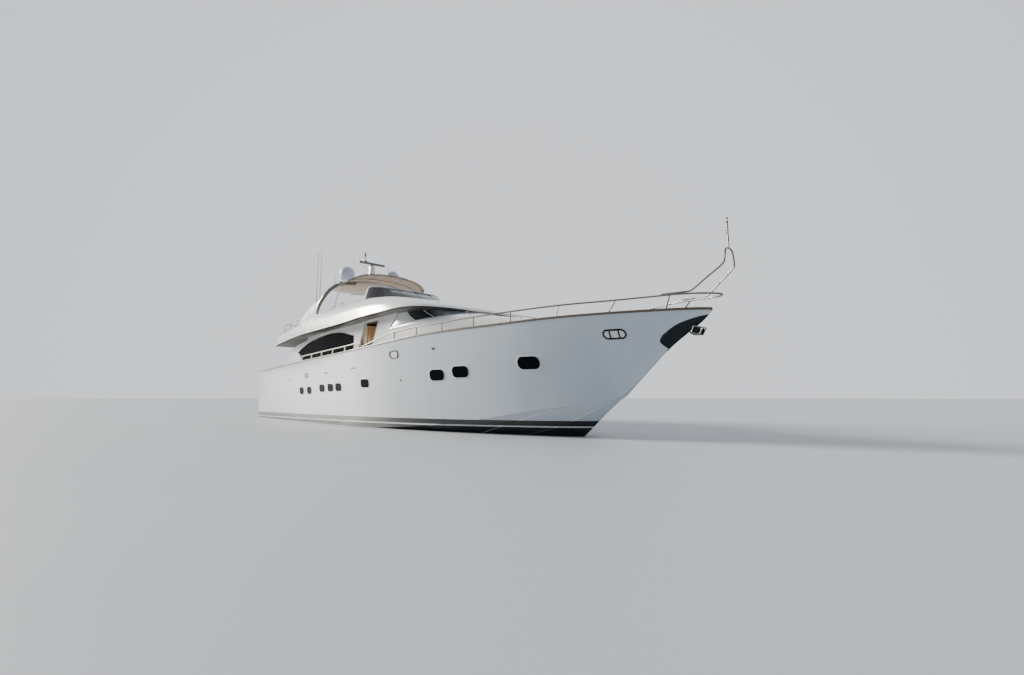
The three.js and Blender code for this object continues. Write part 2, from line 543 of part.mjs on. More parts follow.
// Flybridge shell: half breadth and height of the underside, of the coaming's top and of the crown
const FLY = [
  { x: -10350, w: 2700, zu: 4090, wt: 2620, zt: 4230, zc: 4230 },
  { x: -10100, w: 2880, zu: 4060, wt: 2780, zt: 4350, zc: 4350 },
  { x: -9400, w: 3000, zu: 4090, wt: 2900, zt: 4570, zc: 4570 },
  { x: -8300, w: 3060, zu: 4140, wt: 2930, zt: 4700, zc: 4700 },
  { x: -7300, w: 3090, zu: 4200, wt: 2930, zt: 4810, zc: 4810 },
  { x: -6300, w: 3100, zu: 4260, wt: 2900, zt: 4960, zc: 4960 },
  { x: -5500, w: 3100, zu: 4300, wt: 2850, zt: 5150, zc: 5150 },
  { x: -4700, w: 3100, zu: 4315, wt: 2800, zt: 5240, zc: 5240 },
  { x: -2200, w: 3100, zu: 4350, wt: 2760, zt: 5260, zc: 5260 },
  { x: 0, w: 3100, zu: 4400, wt: 2740, zt: 5300, zc: 5300 },
  { x: 900, w: 3100, zu: 4440, wt: 2720, zt: 5280, zc: 5330 },
  { x: 2100, w: 3100, zu: 4450, wt: 2700, zt: 5170, zc: 5340 },
  { x: 3000, w: 3100, zu: 4450, wt: 2640, zt: 5040, zc: 5180 },
  { x: 3900, w: 3080, zu: 4450, wt: 2500, zt: 4870, zc: 4960 },
  { x: 4500, w: 2920, zu: 4450, wt: 2250, zt: 4730, zc: 4800 },
  { x: 4900, w: 2650, zu: 4440, wt: 1950, zt: 4630, zc: 4680 },
  { x: 5200, w: 2120, zu: 4430, wt: 1500, zt: 4550, zc: 4580 },
  { x: 5380, w: 1560, zu: 4420, wt: 1000, zt: 4500, zc: 4520 },
  { x: 5470, w: 900, zu: 4410, wt: 500, zt: 4460, zc: 4470 },
];
const FLY_FLOOR_Z = 4520;
const FLY_WELL = { x: [-9700, -600], wall: 90, floorIn: 60, helm: { x: [-650, 300], y: 2000 } };
const FLY_LIP = { turn: 120, rise: 20 };
const flyUnder = (x) => column(FLY, 'zu', x);
const flyTop = (x) => column(FLY, 'zt', x);

function flyRing({ x, w, zu, wt, zt, zc }) {
  const half = [[w - FLY_LIP.turn, zu], [w, zu + Math.min(FLY_LIP.rise, (zt - zu) * 0.4)],
    [mix(w, wt, 0.3), mix(zu, zt, 0.62)], [wt, zt], [wt * 0.55, mix(zt, zc, 0.75)]];
  const starboard = half.map(([y, z]) => vec(x, -y, z));
  const port = half.map(([y, z]) => vec(x, y, z)).reverse();
  return [...starboard, ...port];
}

// Stair opening in the fly deck, above the cockpit ladder
const LADDER = { x: [-8430, -6820], y: [1150, 1850], side: 80, steps: 8, rail: 40 };

function flyShellBody() {
  const skin = loft(FLY.map(flyRing));
  const xs = [FLY_WELL.x[0], ...FLY.map((row) => row.x).filter((x) => x > FLY_WELL.x[0] && x < FLY_WELL.x[1]),
    FLY_WELL.x[1]];
  const well = loft(xs.map((x) => {
    const high = column(FLY, 'wt', x) - FLY_WELL.wall;
    const low = high - FLY_WELL.floorIn;
    const top = flyTop(x) + 400;
    return [vec(x, -low, FLY_FLOOR_Z), vec(x, -high, top), vec(x, high, top), vec(x, low, FLY_FLOOR_Z)];
  }));
  const { helm } = FLY_WELL;
  const helmWell = box(helm.x, [-helm.y, helm.y], [FLY_FLOOR_Z, 6000]);
  const hatch = box(LADDER.x, [LADDER.y[0] - LADDER.side, LADDER.y[1] + LADDER.side], [3900, 4800]);
  return cut(skin, well, helmWell, hatch);
}

const flyShell = piece('fly_shell', flyShellBody(), GELCOAT);

// House sides with the arched window, the raked door and the swept aft wing
const HOUSE = { y: 2500, wall: 70, bulkheadX: -6200, foreX: 2500, rakeX: 2950, sillZ: 3980 };
const WINDOW = { foreX: -740, sillZ: 3020 };
const DOOR = { footX: [-780, 400], headX: [310, 1470], footZ: 2170, headZ: 4320 };
const houseTop = (x) => flyUnder(x) - GAP;

// Sweep of the wing's upper edge and of the window's head, as smooth curves through a few places
const smooth = (points, count) => new THREE.SplineCurve(points.map(([u, v]) => new THREE.Vector2(u, v)))
  .getPoints(count).map((p) => [p.x, p.y]);
const WING_EDGE = [[-9330, 2900], [-9080, 3380], [-8560, 3760], [-7430, 3990], [-6200, 4130]];
const WINDOW_HEAD = [[-8420, WINDOW.sillZ], [-7900, 3380], [-7000, 3730], [-5680, 4020], [-3610, 4190], [-2170, 4150],
  [WINDOW.foreX, 3890]];

const LEAF = { thick: 35, off: 12, lap: 35, travel: 1150, rise: 25 };
const windowOutline = [[WINDOW.foreX, WINDOW.sillZ], ...smooth(WINDOW_HEAD, 14).reverse()];

function houseSide(sign) {
  const outline = [
    [-9400, deckZ(-9400) + GAP], [-9400, 2700], ...smooth(WING_EDGE, 8),
    [HOUSE.bulkheadX, houseTop(HOUSE.bulkheadX)],
    ...FLY.map((row) => row.x).filter((x) => x > HOUSE.bulkheadX && x < HOUSE.rakeX).map((x) => [x, houseTop(x)]),
    [HOUSE.rakeX - 5, houseTop(HOUSE.rakeX)], [HOUSE.foreX, HOUSE.sillZ], [HOUSE.foreX, deckZ(HOUSE.foreX) + GAP],
  ];
  const door = [[DOOR.footX[0], DOOR.footZ], [DOOR.footX[1], DOOR.footZ], [DOOR.headX[1], DOOR.headZ],
    [DOOR.headX[0], DOOR.headZ]];
  const ys = [HOUSE.y - HOUSE.wall, HOUSE.y].map((y) => y * sign).sort((a, b) => a - b);
  const trackY = [HOUSE.y - HOUSE.wall - LEAF.off - LEAF.thick, HOUSE.y - HOUSE.wall + 5].map((y) => y * sign)
    .sort((a, b) => a - b);
  const track = box([DOOR.footX[0] - 100, DOOR.footX[1] + LEAF.travel + LEAF.lap], trackY,
    [SIDE_DECK_Z + GAP, DOOR.footZ + LEAF.rise - 20 - GAP]);
  const through = [ys[0] - 50, ys[1] + 50];
  return cut(join(prismY(outline, ...ys), track), prismY(windowOutline, ...through), prismY(door, ...through));
}

const houseSides = Object.fromEntries(SIDES.map(({ side, sign }) =>
  [side, piece(`house_side_${side}`, houseSide(sign), GELCOAT)]));

// Aft bulkhead between the sides, with one wide opening for the glass
const BULKHEAD = { thick: 70, glassY: 2250, z: [2200, 4080] };

function bulkheadBody() {
  const z = [SIDE_DECK_Z + GAP, houseTop(HOUSE.bulkheadX)];
  const reach = HOUSE.y - HOUSE.wall - GAP;
  const bulkhead = box([HOUSE.bulkheadX, HOUSE.bulkheadX + BULKHEAD.thick], [-reach, reach], z);
  const opening = box([HOUSE.bulkheadX - 10, HOUSE.bulkheadX + BULKHEAD.thick + 10],
    [-BULKHEAD.glassY, BULKHEAD.glassY], BULKHEAD.z);
  return cut(bulkhead, opening);
}

piece('aft_bulkhead', bulkheadBody(), GELCOAT);

// Glass of the side windows, set in the wall's thickness
const PANE = { thick: 20 };

function sidePane(side, sign) {
  const middle = HOUSE.y - HOUSE.wall / 2;
  const ys = [middle - PANE.thick / 2, middle + PANE.thick / 2].map((y) => y * sign).sort((a, b) => a - b);
  return cut(prismY(windowOutline, ...ys), ...nudged(houseSides[side], 'xz'));
}

SIDES.forEach(({ side, sign }) => piece(`side_window_${side}`, sidePane(side, sign), GLASS));

// Side doors, which stand open: each leaf runs on the inside of the wall
function sideDoor(sign) {
  const { footX, headX, footZ, headZ } = DOOR;
  const outline = [[footX[0] - LEAF.lap, footZ], [footX[1] + LEAF.lap, footZ], [headX[1] + LEAF.lap, headZ + 60],
    [headX[0] - LEAF.lap, headZ + 60]].map(([x, z]) => [x + LEAF.travel, z + LEAF.rise - 20]);
  const outer = HOUSE.y - HOUSE.wall - LEAF.off;
  const ys = [outer - LEAF.thick, outer].map((y) => y * sign).sort((a, b) => a - b);
  return prismY(outline, ...ys);
}

SIDES.forEach(({ side, sign }) => piece(`side_door_${side}`, sideDoor(sign), JOINERY));

// Aft glass: a fixed pane on each side and a sliding leaf behind each
SIDES.forEach(({ side, sign }) => {
  const order = (ys) => ys.map((y) => y * sign).sort((a, b) => a - b);
  const paneX = [HOUSE.bulkheadX + 40, HOUSE.bulkheadX + 58];
  piece(`aft_window_${side}`, box(paneX, order([1080, BULKHEAD.glassY - GAP]),
    [BULKHEAD.z[0] + GAP, BULKHEAD.z[1] - GAP]), GLASS);
  const leafX = [HOUSE.bulkheadX + 4, HOUSE.bulkheadX + 26];
  piece(`saloon_door_${side}`, box(leafX, order([3, 1140]), [BULKHEAD.z[0] + GAP, BULKHEAD.z[1] - 6]), GLASS);
});

// Windscreen: an ellipse in plan, wider and further forward at the sill than at the brow
const SCREEN = { sillA: 3650, sillB: 2470, headA: 2350, headB: 2400, headZ: 4455, thick: 24, steps: 24, drop: 240,
  sillFrontZ: 4222 };
const screenAngles = Array.from({ length: SCREEN.steps + 1 }, (_, i) => -Math.PI / 2 + (Math.PI * i) / SCREEN.steps);
const screenSill = screenAngles.map((a) => vec(HOUSE.foreX + SCREEN.sillA * Math.cos(a) + 3,
  SCREEN.sillB * Math.sin(a), SCREEN.sillFrontZ - SCREEN.drop * Math.sin(a) ** 2));
const screenHead = screenAngles.map((a) => vec(HOUSE.rakeX + SCREEN.headA * Math.cos(a),
  SCREEN.headB * Math.sin(a), SCREEN.headZ));

// Coachroof: half breadth and height of its base, shoulder and crown along the foredeck
const TRUNK = [
  { x: 2500, base: 2500, top: 2500, zs: 3960, zc: 4060 },
  { x: 3600, base: 2500, top: 2450, zs: 4010, zc: 4110 },
  { x: 4500, base: 2430, top: 2300, zs: 4060, zc: 4160 },
  { x: 5200, base: 2320, top: 2110, zs: 4080, zc: 4190 },
  { x: 6000, base: 2150, top: 1850, zs: 4060, zc: 4215 },
  { x: 7000, base: 1850, top: 1570, zs: 3930, zc: 4065 },
  { x: 8000, base: 1560, top: 1330, zs: 3760, zc: 3890 },
  { x: 9000, base: 1240, top: 1040, zs: 3560, zc: 3680 },
  { x: 9900, base: 900, top: 700, zs: 3290, zc: 3380 },
  { x: 10500, base: 560, top: 380, zs: 3000, zc: 3060 },
  { x: 10700, base: 380, top: 260, zs: 2860, zc: 2890 },
];
const HELM_FLOOR_Z = 2450;

function trunkRing({ x, base, top, zs, zc }) {
  const foot = deckZ(x) + GAP;
  const half = [[base, foot], [mix(base, top, 0.35), mix(foot, zs, 0.8)], [top, zs], [top * 0.6, mix(zs, zc, 0.7)]];
  return [...half.map(([y, z]) => vec(x, -y, z)), ...half.map(([y, z]) => vec(x, y, z)).reverse()];
}

// Ring of the wheelhouse's inside, which follows the sill of the windscreen
function sillHalf(x, inset) {
  const u = Math.min(Math.max((x - HOUSE.foreX) / (SCREEN.sillA - inset), 0), 0.985);
  return (SCREEN.sillB - inset) * Math.sqrt(1 - u * u);
}

// Sunpad on the foredeck, sunk in a recess of the coachroof
const PAD = { x: [6500, 8100], y: [1230, 940], depth: 90, proud: 15, clear: 12 };
const crownZ = (x) => mix(column(TRUNK, 'zs', x), column(TRUNK, 'zc', x), 0.7);

function padBlock(halves, depth, proud, grow = 0) {
  return loft(PAD.x.map((x, i) => {
    const at = x + (i === 0 ? -grow : grow);
    const y = halves[i] + grow;
    return [vec(at, -y, crownZ(x) - depth), vec(at, y, crownZ(x) - depth), vec(at, y, crownZ(x) + proud),
      vec(at, -y, crownZ(x) + proud)];
  }));
}

function coachroofBody() {
  const skin = loft(TRUNK.map(trunkRing));
  const xs = [2400, 2900, 3400, 3900, 4400, 4900, 5300, 5600, 5800];
  const inside = loft(xs.map((x) => {
    const y = sillHalf(x, 110);
    return [vec(x, -y, HELM_FLOOR_Z), vec(x, y, HELM_FLOOR_Z), vec(x, y, 4600), vec(x, -y, 4600)];
  }));
  return cut(skin, inside, padBlock(PAD.y, PAD.depth, 300, PAD.clear));
}

const coachroof = piece('coachroof', moved(coachroofBody(), GAP, 0, 0), GELCOAT);
const sink = (points, z) => points.map((p) => p.clone().setZ(p.z - z));
const screenBody = wall(sink(screenSill, 25), screenHead, SCREEN.thick);
piece('windscreen', hung(seated(screenBody, coachroof), flyShell), GLASS);

// Raked wind screen round the upper helm
const DEFLECTOR = { x: -500, y: 2300, reach: 2100, footZ: 5060, topX: -890, topY: 1800, topReach: 1000, topZ: 6215,
  topFrontZ: 6110, thick: 14, steps: 20 };
const deflectorAngles = Array.from({ length: DEFLECTOR.steps + 1 },
  (_, i) => -Math.PI / 2 + (Math.PI * i) / DEFLECTOR.steps);

function deflectorBody() {
  const low = deflectorAngles.map((a) => vec(DEFLECTOR.x + DEFLECTOR.reach * Math.cos(a),
    DEFLECTOR.y * Math.sin(a), DEFLECTOR.footZ));
  const high = deflectorAngles.map((a) => vec(DEFLECTOR.topX + DEFLECTOR.topReach * Math.cos(a),
    DEFLECTOR.topY * Math.sin(a), mix(DEFLECTOR.topFrontZ, DEFLECTOR.topZ, Math.sin(a) ** 2)));
  return seated(wall(low, high, DEFLECTOR.thick), flyShell);
}

piece('wind_deflector', deflectorBody(), GLASS);

// Radar arch: front and aft edge of the hoop on the port side, with the half thickness there and its direction
const ARCH = [
  { fore: [-4460, 2752, 5100], aft: [-6640, 2868, 4850], out: [1, 0], thick: 42, thin: 36 },
  { fore: [-4280, 2720, 5600], aft: [-5750, 2750, 5600], out: [1, 0], thick: 85, thin: 40 },
  { fore: [-4020, 2640, 6000], aft: [-4850, 2660, 5970], out: [0.97, 0.24], thick: 95, thin: 40 },
  { fore: [-3900, 2500, 6300], aft: [-4550, 2520, 6250], out: [0.86, 0.51], thick: 95, thin: 40 },
  { fore: [-3860, 2250, 6600], aft: [-4600, 2280, 6500], out: [0.65, 0.76], thick: 95, thin: 40 },
  { fore: [-3840, 1850, 6870], aft: [-4900, 1880, 6680], out: [0.3, 0.95], thick: 95, thin: 40 },
  { fore: [-3800, 1200, 7000], aft: [-5300, 1200, 6750], out: [0.1, 0.99], thick: 95, thin: 40 },
  { fore: [-3750, 0, 7060], aft: [-5500, 0, 6800], out: [0, 1], thick: 95, thin: 40 },
];
const ARCH_NOSE = 0.05;

function archRing({ fore, aft, out, thick, thin }, sign) {
  const at = (t, half) => vec(mix(fore[0], aft[0], t), sign * (mix(fore[1], aft[1], t) + out[0] * half),
    mix(fore[2], aft[2], t) + out[1] * half);
  return [at(0, thick * 0.6), at(ARCH_NOSE, thick), at(1, thin), at(1, -thin), at(ARCH_NOSE, -thick),
    at(0, -thick * 0.6)];
}

const MAST = { x: -4250, footZ: 6950, headZ: 8150 };
const mastBody = loft([
  [[-330, -170], [230, -130], [230, 130], [-330, 170]].map(([u, v]) => vec(MAST.x + u, v, MAST.footZ)),
  [[-150, -150], [150, -130], [150, 130], [-150, 150]].map(([u, v]) => vec(MAST.x + u, v, MAST.headZ)),
]);

// The light staff stands aft of the circle that the scanner sweeps
const STACK = { foot: vec(-4900, 0, 6880), knee: vec(-5080, 0, 8100), head: vec(-5100, 0, 9000), discZ: 8880 };
const staffBody = join(
  rod(STACK.foot, STACK.knee, 30, 10),
  rod(STACK.knee.clone().add(vec(3, 0, -25)), STACK.head, 30, 10),
  lathe([[0, 0], [75, 0], [75, 60], [0, 60]], STACK.head.x, 0, STACK.discZ, 12),
  lathe([[0, 0], [45, 0], [45, 130], [0, 150]], STACK.head.x, 0, STACK.head.z - 40, 12),
);

// The arch is one moulding with its mast, and carries the light staff
function archBody() {
  const port = ARCH.map((row) => archRing(row, 1));
  const starboard = ARCH.slice(0, -1).map((row) => archRing(row, -1)).reverse();
  return seated(join(loft([...port, ...starboard]), mastBody, staffBody), flyShell);
}

const arch = piece('radar_arch', archBody(), GELCOAT);

// Domes and scanner
const DOME_RADIUS = 385;
const DOMES = [{ side: 'port', y: 1300, z: 7750 }, { side: 'stbd', y: -1300, z: 7550 }];
const DOME_X = -4400;
const DOME_FOOT_Z = 6900;
DOMES.forEach(({ side, y, z }) => {
  const r = DOME_RADIUS;
  const cap = Array.from({ length: 7 }, (_, i) => {
    const a = (Math.PI / 2) * (i / 6);
    return [r * Math.cos(a), r * Math.sin(a)];
  });
  const profile = [[0, DOME_FOOT_Z - z], [150, DOME_FOOT_Z - z], [150, -460], [r * 0.8, -400], [r * 0.97, -160], ...cap];
  piece(`dome_${side}`, seated(lathe(profile, DOME_X, y, z, 20), arch), DOME);
});

const SCANNER = { z: [8235, 8335], half: 740, chord: 75, hub: 90 };
piece('scanner', join(
  loft([-1, -0.9, 0.9, 1].map((u) => {
    const c = SCANNER.chord * (Math.abs(u) > 0.95 ? 0.6 : 1);
    return [[-c, 0], [0, -14], [c, 0], [c * 0.7, 1], [-c * 0.7, 1]].map(([x, v]) =>
      vec(MAST.x + x, SCANNER.half * u, v === 1 ? SCANNER.z[1] : SCANNER.z[0] + v));
  })),
  lathe([[0, MAST.headZ + GAP - SCANNER.z[0]], [SCANNER.hub, MAST.headZ + GAP - SCANNER.z[0]],
    [SCANNER.hub, 40], [0, 40]], MAST.x, 0, SCANNER.z[0], 16),
), GELCOAT);

// Bimini canopy forward of the arch, and the hoops that carry it
const BIMINI = [
  { x: -3700, w: 2050, z: 7120 }, { x: -2600, w: 2100, z: 7175 }, { x: -2300, w: 2060, z: 7190 },
  { x: -2100, w: 1750, z: 7200 }, { x: -1950, w: 1200, z: 7200 }, { x: -1860, w: 500, z: 7200 },
];
const CANOPY_THICK = 22;
const canopyZ = (x, y) => column(BIMINI, 'z', x) - 55 * (y / 1000) ** 2 - 2.5 * (y / 1000) ** 6;

function biminiBody() {
  const lanes = 12;
  return loft(BIMINI.map(({ x, w }) => {
    const top = Array.from({ length: lanes + 1 }, (_, i) => {
      const y = w * ((2 * i) / lanes - 1);
      return vec(x, y, canopyZ(x, y));
    });
    return [...top, ...sink(top, CANOPY_THICK).reverse()];
  }));
}

const bimini = piece('bimini', biminiBody(), FABRIC);

const HOOP = { x: -3620, y: 2020, radius: 15, drop: CANOPY_THICK + 12, bowDrop: CANOPY_THICK + 34 };
const FRONT_BOW = [[-2410, 2030], [-2230, 1740], [-2060, 1200], [-1970, 500]];
const STRUTS = [{ y: 1000, z: 7005 }, { y: 1750, z: 6885 }];
const STAY = [vec(-2400, 2045, 6740), vec(-2640, 2290, 6500), vec(-2780, 2420, 6150), vec(-2700, 2530, 5850),
  vec(-2560, 2650, 5500), vec(-2540, 2719, 5240)];

function biminiFrameBody() {
  const under = (x, y) => vec(x, y, canopyZ(x, y) - HOOP.drop);
  const flip = (p) => vec(p.x, -p.y, p.z);
  const hoop = tube([-1, -0.75, -0.4, 0, 0.4, 0.75, 1].map((u) => under(HOOP.x, u * HOOP.y)), HOOP.radius, 14, 6);
  const half = FRONT_BOW.map(([x, y]) => vec(x, y, canopyZ(x, y) - HOOP.bowDrop));
  const bow = tube([...half, ...half.map(flip).reverse()], HOOP.radius, 20, 6);
  const sides = SIDES.flatMap(({ sign }) => {
    const place = (p) => (sign > 0 ? p : flip(p));
    return [rod(under(HOOP.x, sign * HOOP.y), place(half[0]), HOOP.radius, 6),
      tube(STAY.map(place), HOOP.radius + 3, 20, 6),
      ...STRUTS.map(({ y, z }) => rod(under(HOOP.x, sign * y), vec(-3900, sign * y, z), HOOP.radius, 6))];
  });
  const frame = cut(join(hoop, bow, ...sides), moved(flyShell, 0, 0, GAP), arch, ...nudged(arch, 'x'));
  return hung(frame, bimini);
}

piece('bimini_frame', biminiFrameBody(), STEEL);

// Aft fly rail
const FLY_RAIL = {
  posts: [{ x: -6720, up: 372 }, { x: -7700, up: 455 }, { x: -8660, up: 520 }],
  wires: [{ part: 1, radius: 19, end: [-6060, 2800, 5298] }, { part: 0.5, radius: 12, end: [-6290, 2818, 5110] }],
  across: [-900, 900],
};

function flyRailBody() {
  const foot = (x, sign) => vec(x, sign * (column(FLY, 'wt', x) - 45), flyTop(x) - 10);
  const bars = FLY_RAIL.wires.flatMap(({ part, radius, end }) => {
    const side = (sign) => [vec(end[0], sign * end[1], end[2]),
      ...FLY_RAIL.posts.map(({ x, up }) => foot(x, sign).add(vec(0, 0, up * part)))];
    const points = [...side(1), ...side(-1).reverse()];
    return points.slice(1).map((p, i) => rod(points[i], p, radius, 6));
  });
  const posts = FLY_RAIL.posts.flatMap(({ x, up }) => SIDES.map(({ sign }) =>
    rod(foot(x, sign), foot(x, sign).add(vec(0, 0, up + 8)), 16, 6)));
  const last = FLY_RAIL.posts.at(-1);
  const middle = FLY_RAIL.across.map((y) => rod(vec(last.x, y, FLY_FLOOR_Z - 10),
    vec(last.x, y, foot(last.x, 1).z + last.up + 8), 16, 6));
  return cut(join(...bars, ...posts, ...middle), flyShell, moved(flyShell, 0, 0, GAP), arch, ...nudged(arch, 'x'));
}

piece('fly_rail', flyRailBody(), STEEL);

// Furniture on the flybridge
piece('fly_console', prismY([[-260, FLY_FLOOR_Z + GAP], [290, FLY_FLOOR_Z + GAP], [290, 5420], [20, 5480],
  [-180, 5300]], -1900, -600), GELCOAT);
piece('fly_helm_seat', join(
  prismY([[-1600, FLY_FLOOR_Z + 420], [-1000, FLY_FLOOR_Z + 420], [-1000, FLY_FLOOR_Z + 560],
    [-1450, FLY_FLOOR_Z + 560], [-1530, FLY_FLOOR_Z + 1000], [-1650, FLY_FLOOR_Z + 1000]], -1850, -650),
  box([-1450, -1100], [-1700, -800], [FLY_FLOOR_Z + GAP, FLY_FLOOR_Z + 430]),
), CUSHION);
piece('fly_dinette', join(
  box([-3900, -1100], [1750, 2560], [FLY_FLOOR_Z + GAP, FLY_FLOOR_Z + 430]),
  box([-3900, -3150], [400, 2560], [FLY_FLOOR_Z + GAP, FLY_FLOOR_Z + 430]),
), CUSHION);
piece('fly_table', join(
  box([-2900, -1400], [550, 1450], [FLY_FLOOR_Z + 680, FLY_FLOOR_Z + 720]),
  lathe([[0, 0], [220, 0], [220, 30], [60, 40], [60, 690], [0, 690]], -2150, 1000, FLY_FLOOR_Z + GAP, 12),
), TEAK);
piece('fly_galley', box([-3900, -2000], [-2540, -1850], [FLY_FLOOR_Z + GAP, FLY_FLOOR_Z + 850]), GELCOAT);

// Furniture of the saloon, wheelhouse, cockpit and foredeck
piece('saloon_sofa', join(
  box([-5600, -2600], [1500, 2330], [SIDE_DECK_Z + GAP, SIDE_DECK_Z + 430]),
  box([-5600, -2600], [2080, 2330], [SIDE_DECK_Z + 420, SIDE_DECK_Z + 820]),
), CUSHION);
piece('saloon_cabinet', box([-5600, -2300], [-2330, -1750], [SIDE_DECK_Z + GAP, SIDE_DECK_Z + 900]), JOINERY);
piece('helm_console', prismY([[4200, HELM_FLOOR_Z + GAP], [5050, HELM_FLOOR_Z + GAP], [5050, 3950], [4700, 4050],
  [4250, 3800]], -1150, 1150), JOINERY);
piece('helm_seats', join(
  box([3100, 3650], [-900, 900], [HELM_FLOOR_Z + GAP, HELM_FLOOR_Z + 800]),
  prismY([[3000, HELM_FLOOR_Z + 780], [3250, HELM_FLOOR_Z + 780], [3120, HELM_FLOOR_Z + 1450],
    [2980, HELM_FLOOR_Z + 1450]], -900, 900),
), CUSHION);
piece('cockpit_sofa', join(
  box([-12200, -11500], [-1700, 1700], [SIDE_DECK_Z + GAP, SIDE_DECK_Z + 420]),
  box([-12200, -12000], [-1700, 1700], [SIDE_DECK_Z + 410, SIDE_DECK_Z + 800]),
), CUSHION);
piece('cockpit_table', join(
  box([-10900, -9900], [-900, 900], [SIDE_DECK_Z + 700, SIDE_DECK_Z + 745]),
  ...[-500, 500].map((y) => lathe([[0, 0], [160, 0], [160, 25], [45, 35], [45, 710], [0, 710]], -10400, y,
    SIDE_DECK_Z + GAP, 12)),
), TEAK);
piece('foredeck_sunpad', seated(padBlock(PAD.y, PAD.depth + 5, PAD.proud), coachroof), CUSHION);

// Ladder from the cockpit to the flybridge
function ladderBody() {
  const foot = vec(-8250, 0, SIDE_DECK_Z + GAP);
  const head = vec(-6980, 0, FLY_FLOOR_Z - 5);
  const rails = LADDER.y.map((y, i) => {
    const at = y + (i === 0 ? 30 : -30);
    return prismY([[foot.x, foot.z], [foot.x + 180, foot.z], [head.x, head.z], [head.x - 180, head.z]],
      at - LADDER.rail / 2, at + LADDER.rail / 2);
  });
  const treads = Array.from({ length: LADDER.steps }, (_, i) => {
    const t = (i + 1) / (LADDER.steps + 1);
    const x = mix(foot.x, head.x - 180, t);
    const z = mix(foot.z, head.z, t);
    return box([x - 40, x + 220], [LADDER.y[0] + 20, LADDER.y[1] - 20], [z - 18, z + 18]);
  });
  return join(...rails, ...treads);
}

piece('fly_ladder', ladderBody(), TEAK);

export default yacht;
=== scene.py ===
"""Flybridge motor yacht about 28 m long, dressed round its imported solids.

Lengths are metres. +X points to the bow, +Y to port and +Z up, and the origin lies on the
centreline at the waterline, where the studio floor is.
"""

import logging
import math
from dataclasses import dataclass
from enum import Enum
from typing import Callable, Iterable, Sequence

import bmesh
import bpy
import numpy as np
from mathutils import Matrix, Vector


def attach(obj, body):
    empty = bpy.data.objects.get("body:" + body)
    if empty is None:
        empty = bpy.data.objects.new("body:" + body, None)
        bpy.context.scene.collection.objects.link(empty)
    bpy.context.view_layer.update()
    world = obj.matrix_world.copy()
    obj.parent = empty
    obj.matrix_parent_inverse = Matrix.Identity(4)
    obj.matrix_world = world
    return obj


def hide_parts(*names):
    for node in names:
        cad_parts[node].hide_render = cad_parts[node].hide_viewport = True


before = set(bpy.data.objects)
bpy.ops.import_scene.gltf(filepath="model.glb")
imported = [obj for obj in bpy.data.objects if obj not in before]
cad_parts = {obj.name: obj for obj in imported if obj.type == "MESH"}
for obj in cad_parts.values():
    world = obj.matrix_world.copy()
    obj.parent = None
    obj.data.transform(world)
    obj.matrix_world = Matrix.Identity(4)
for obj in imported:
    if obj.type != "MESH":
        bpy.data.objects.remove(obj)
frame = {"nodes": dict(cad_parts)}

LOG = logging.getLogger("yacht")
MM = 0.001
SEED = 7
Point = Sequence[float]
Rows = Sequence[Sequence[float]]
Triple = tuple[float, float, float]
Pair = tuple[float, float]
Piece = bpy.types.Object
Socket = bpy.types.NodeSocket
Ends = tuple[Point, Point]
Spots = Sequence[Ends]


class Side(Enum):
    """The two sides of the boat, with the sign of Y."""

    PORT = 1
    STBD = -1

    @property
    def tag(self) -> str:
        """Ending that the CAD nodes of this side carry."""
        return "port" if self is Side.PORT else "stbd"

    def span(self, inner: float, outer: float) -> tuple[float, ...]:
        """Two distances, or two angles, off the centreline of this side, the least first."""
        return tuple(sorted((inner * self.value, outer * self.value)))


# ---- numbers


def mix(a: float, b: float, t: float) -> float:
    """Value between a and b at t."""
    return a + (b - a) * t


def monotone_slopes(x: np.ndarray, y: np.ndarray) -> np.ndarray:
    """Slopes of the cubic through (x, y) that never overshoots its points.

    Args:
        x: rising places.
        y: values there.

    Returns:
        One slope for each place.
    """
    step, rise = np.diff(x), np.diff(y) / np.diff(x)
    slope = np.zeros_like(y)
    slope[0], slope[-1] = rise[0], rise[-1]
    for i in range(1, len(x) - 1):
        if rise[i - 1] * rise[i] > 0:
            w1, w2 = 2 * step[i] + step[i - 1], step[i] + 2 * step[i - 1]
            slope[i] = (w1 + w2) / (w1 / rise[i - 1] + w2 / rise[i])
    return slope


class Lines:
    """Lines plan of a form: named columns along X, read on smooth curves between the rows."""

    def __init__(self, names: str, rows: Rows) -> None:
        """Keeps the columns.

        Args:
            names: the columns' names, the first being x, with spaces between.
            rows: millimetres for each row.
        """
        table = np.array(rows, dtype=float).T * MM
        self.x = table[0]
        self.columns = dict(zip(names.split()[1:], table[1:]))
        self.slopes = {name: monotone_slopes(self.x, y) for name, y in self.columns.items()}

    def at(self, name: str, x: float) -> float:
        """Value of a column at x, held level beyond the ends.

        Args:
            name: the column.
            x: the place.

        Returns:
            The value.
        """
        x = min(max(x, self.x[0]), self.x[-1])
        i = min(max(int(np.searchsorted(self.x, x)) - 1, 0), len(self.x) - 2)
        step = self.x[i + 1] - self.x[i]
        t = (x - self.x[i]) / step
        y, m = self.columns[name], self.slopes[name]
        return float(y[i] * (1 + 2 * t) * (1 - t) ** 2 + m[i] * step * t * (1 - t) ** 2
                     + y[i + 1] * t * t * (3 - 2 * t) + m[i + 1] * step * t * t * (t - 1))

    def row(self, x: float) -> dict[str, float]:
        """Every column at x."""
        return {name: self.at(name, x) for name in self.columns}


def spaced(stops: Sequence[float], step: float) -> list[float]:
    """Places from the first stop to the last, through each stop and no further apart than step.

    Args:
        stops: rising places.
        step: widest gap.

    Returns:
        The places.
    """
    out = [stops[0]]
    for a, b in zip(stops, stops[1:]):
        count = max(1, math.ceil((b - a) / step))
        out += [mix(a, b, k / count) for k in range(1, count + 1)]
    return out


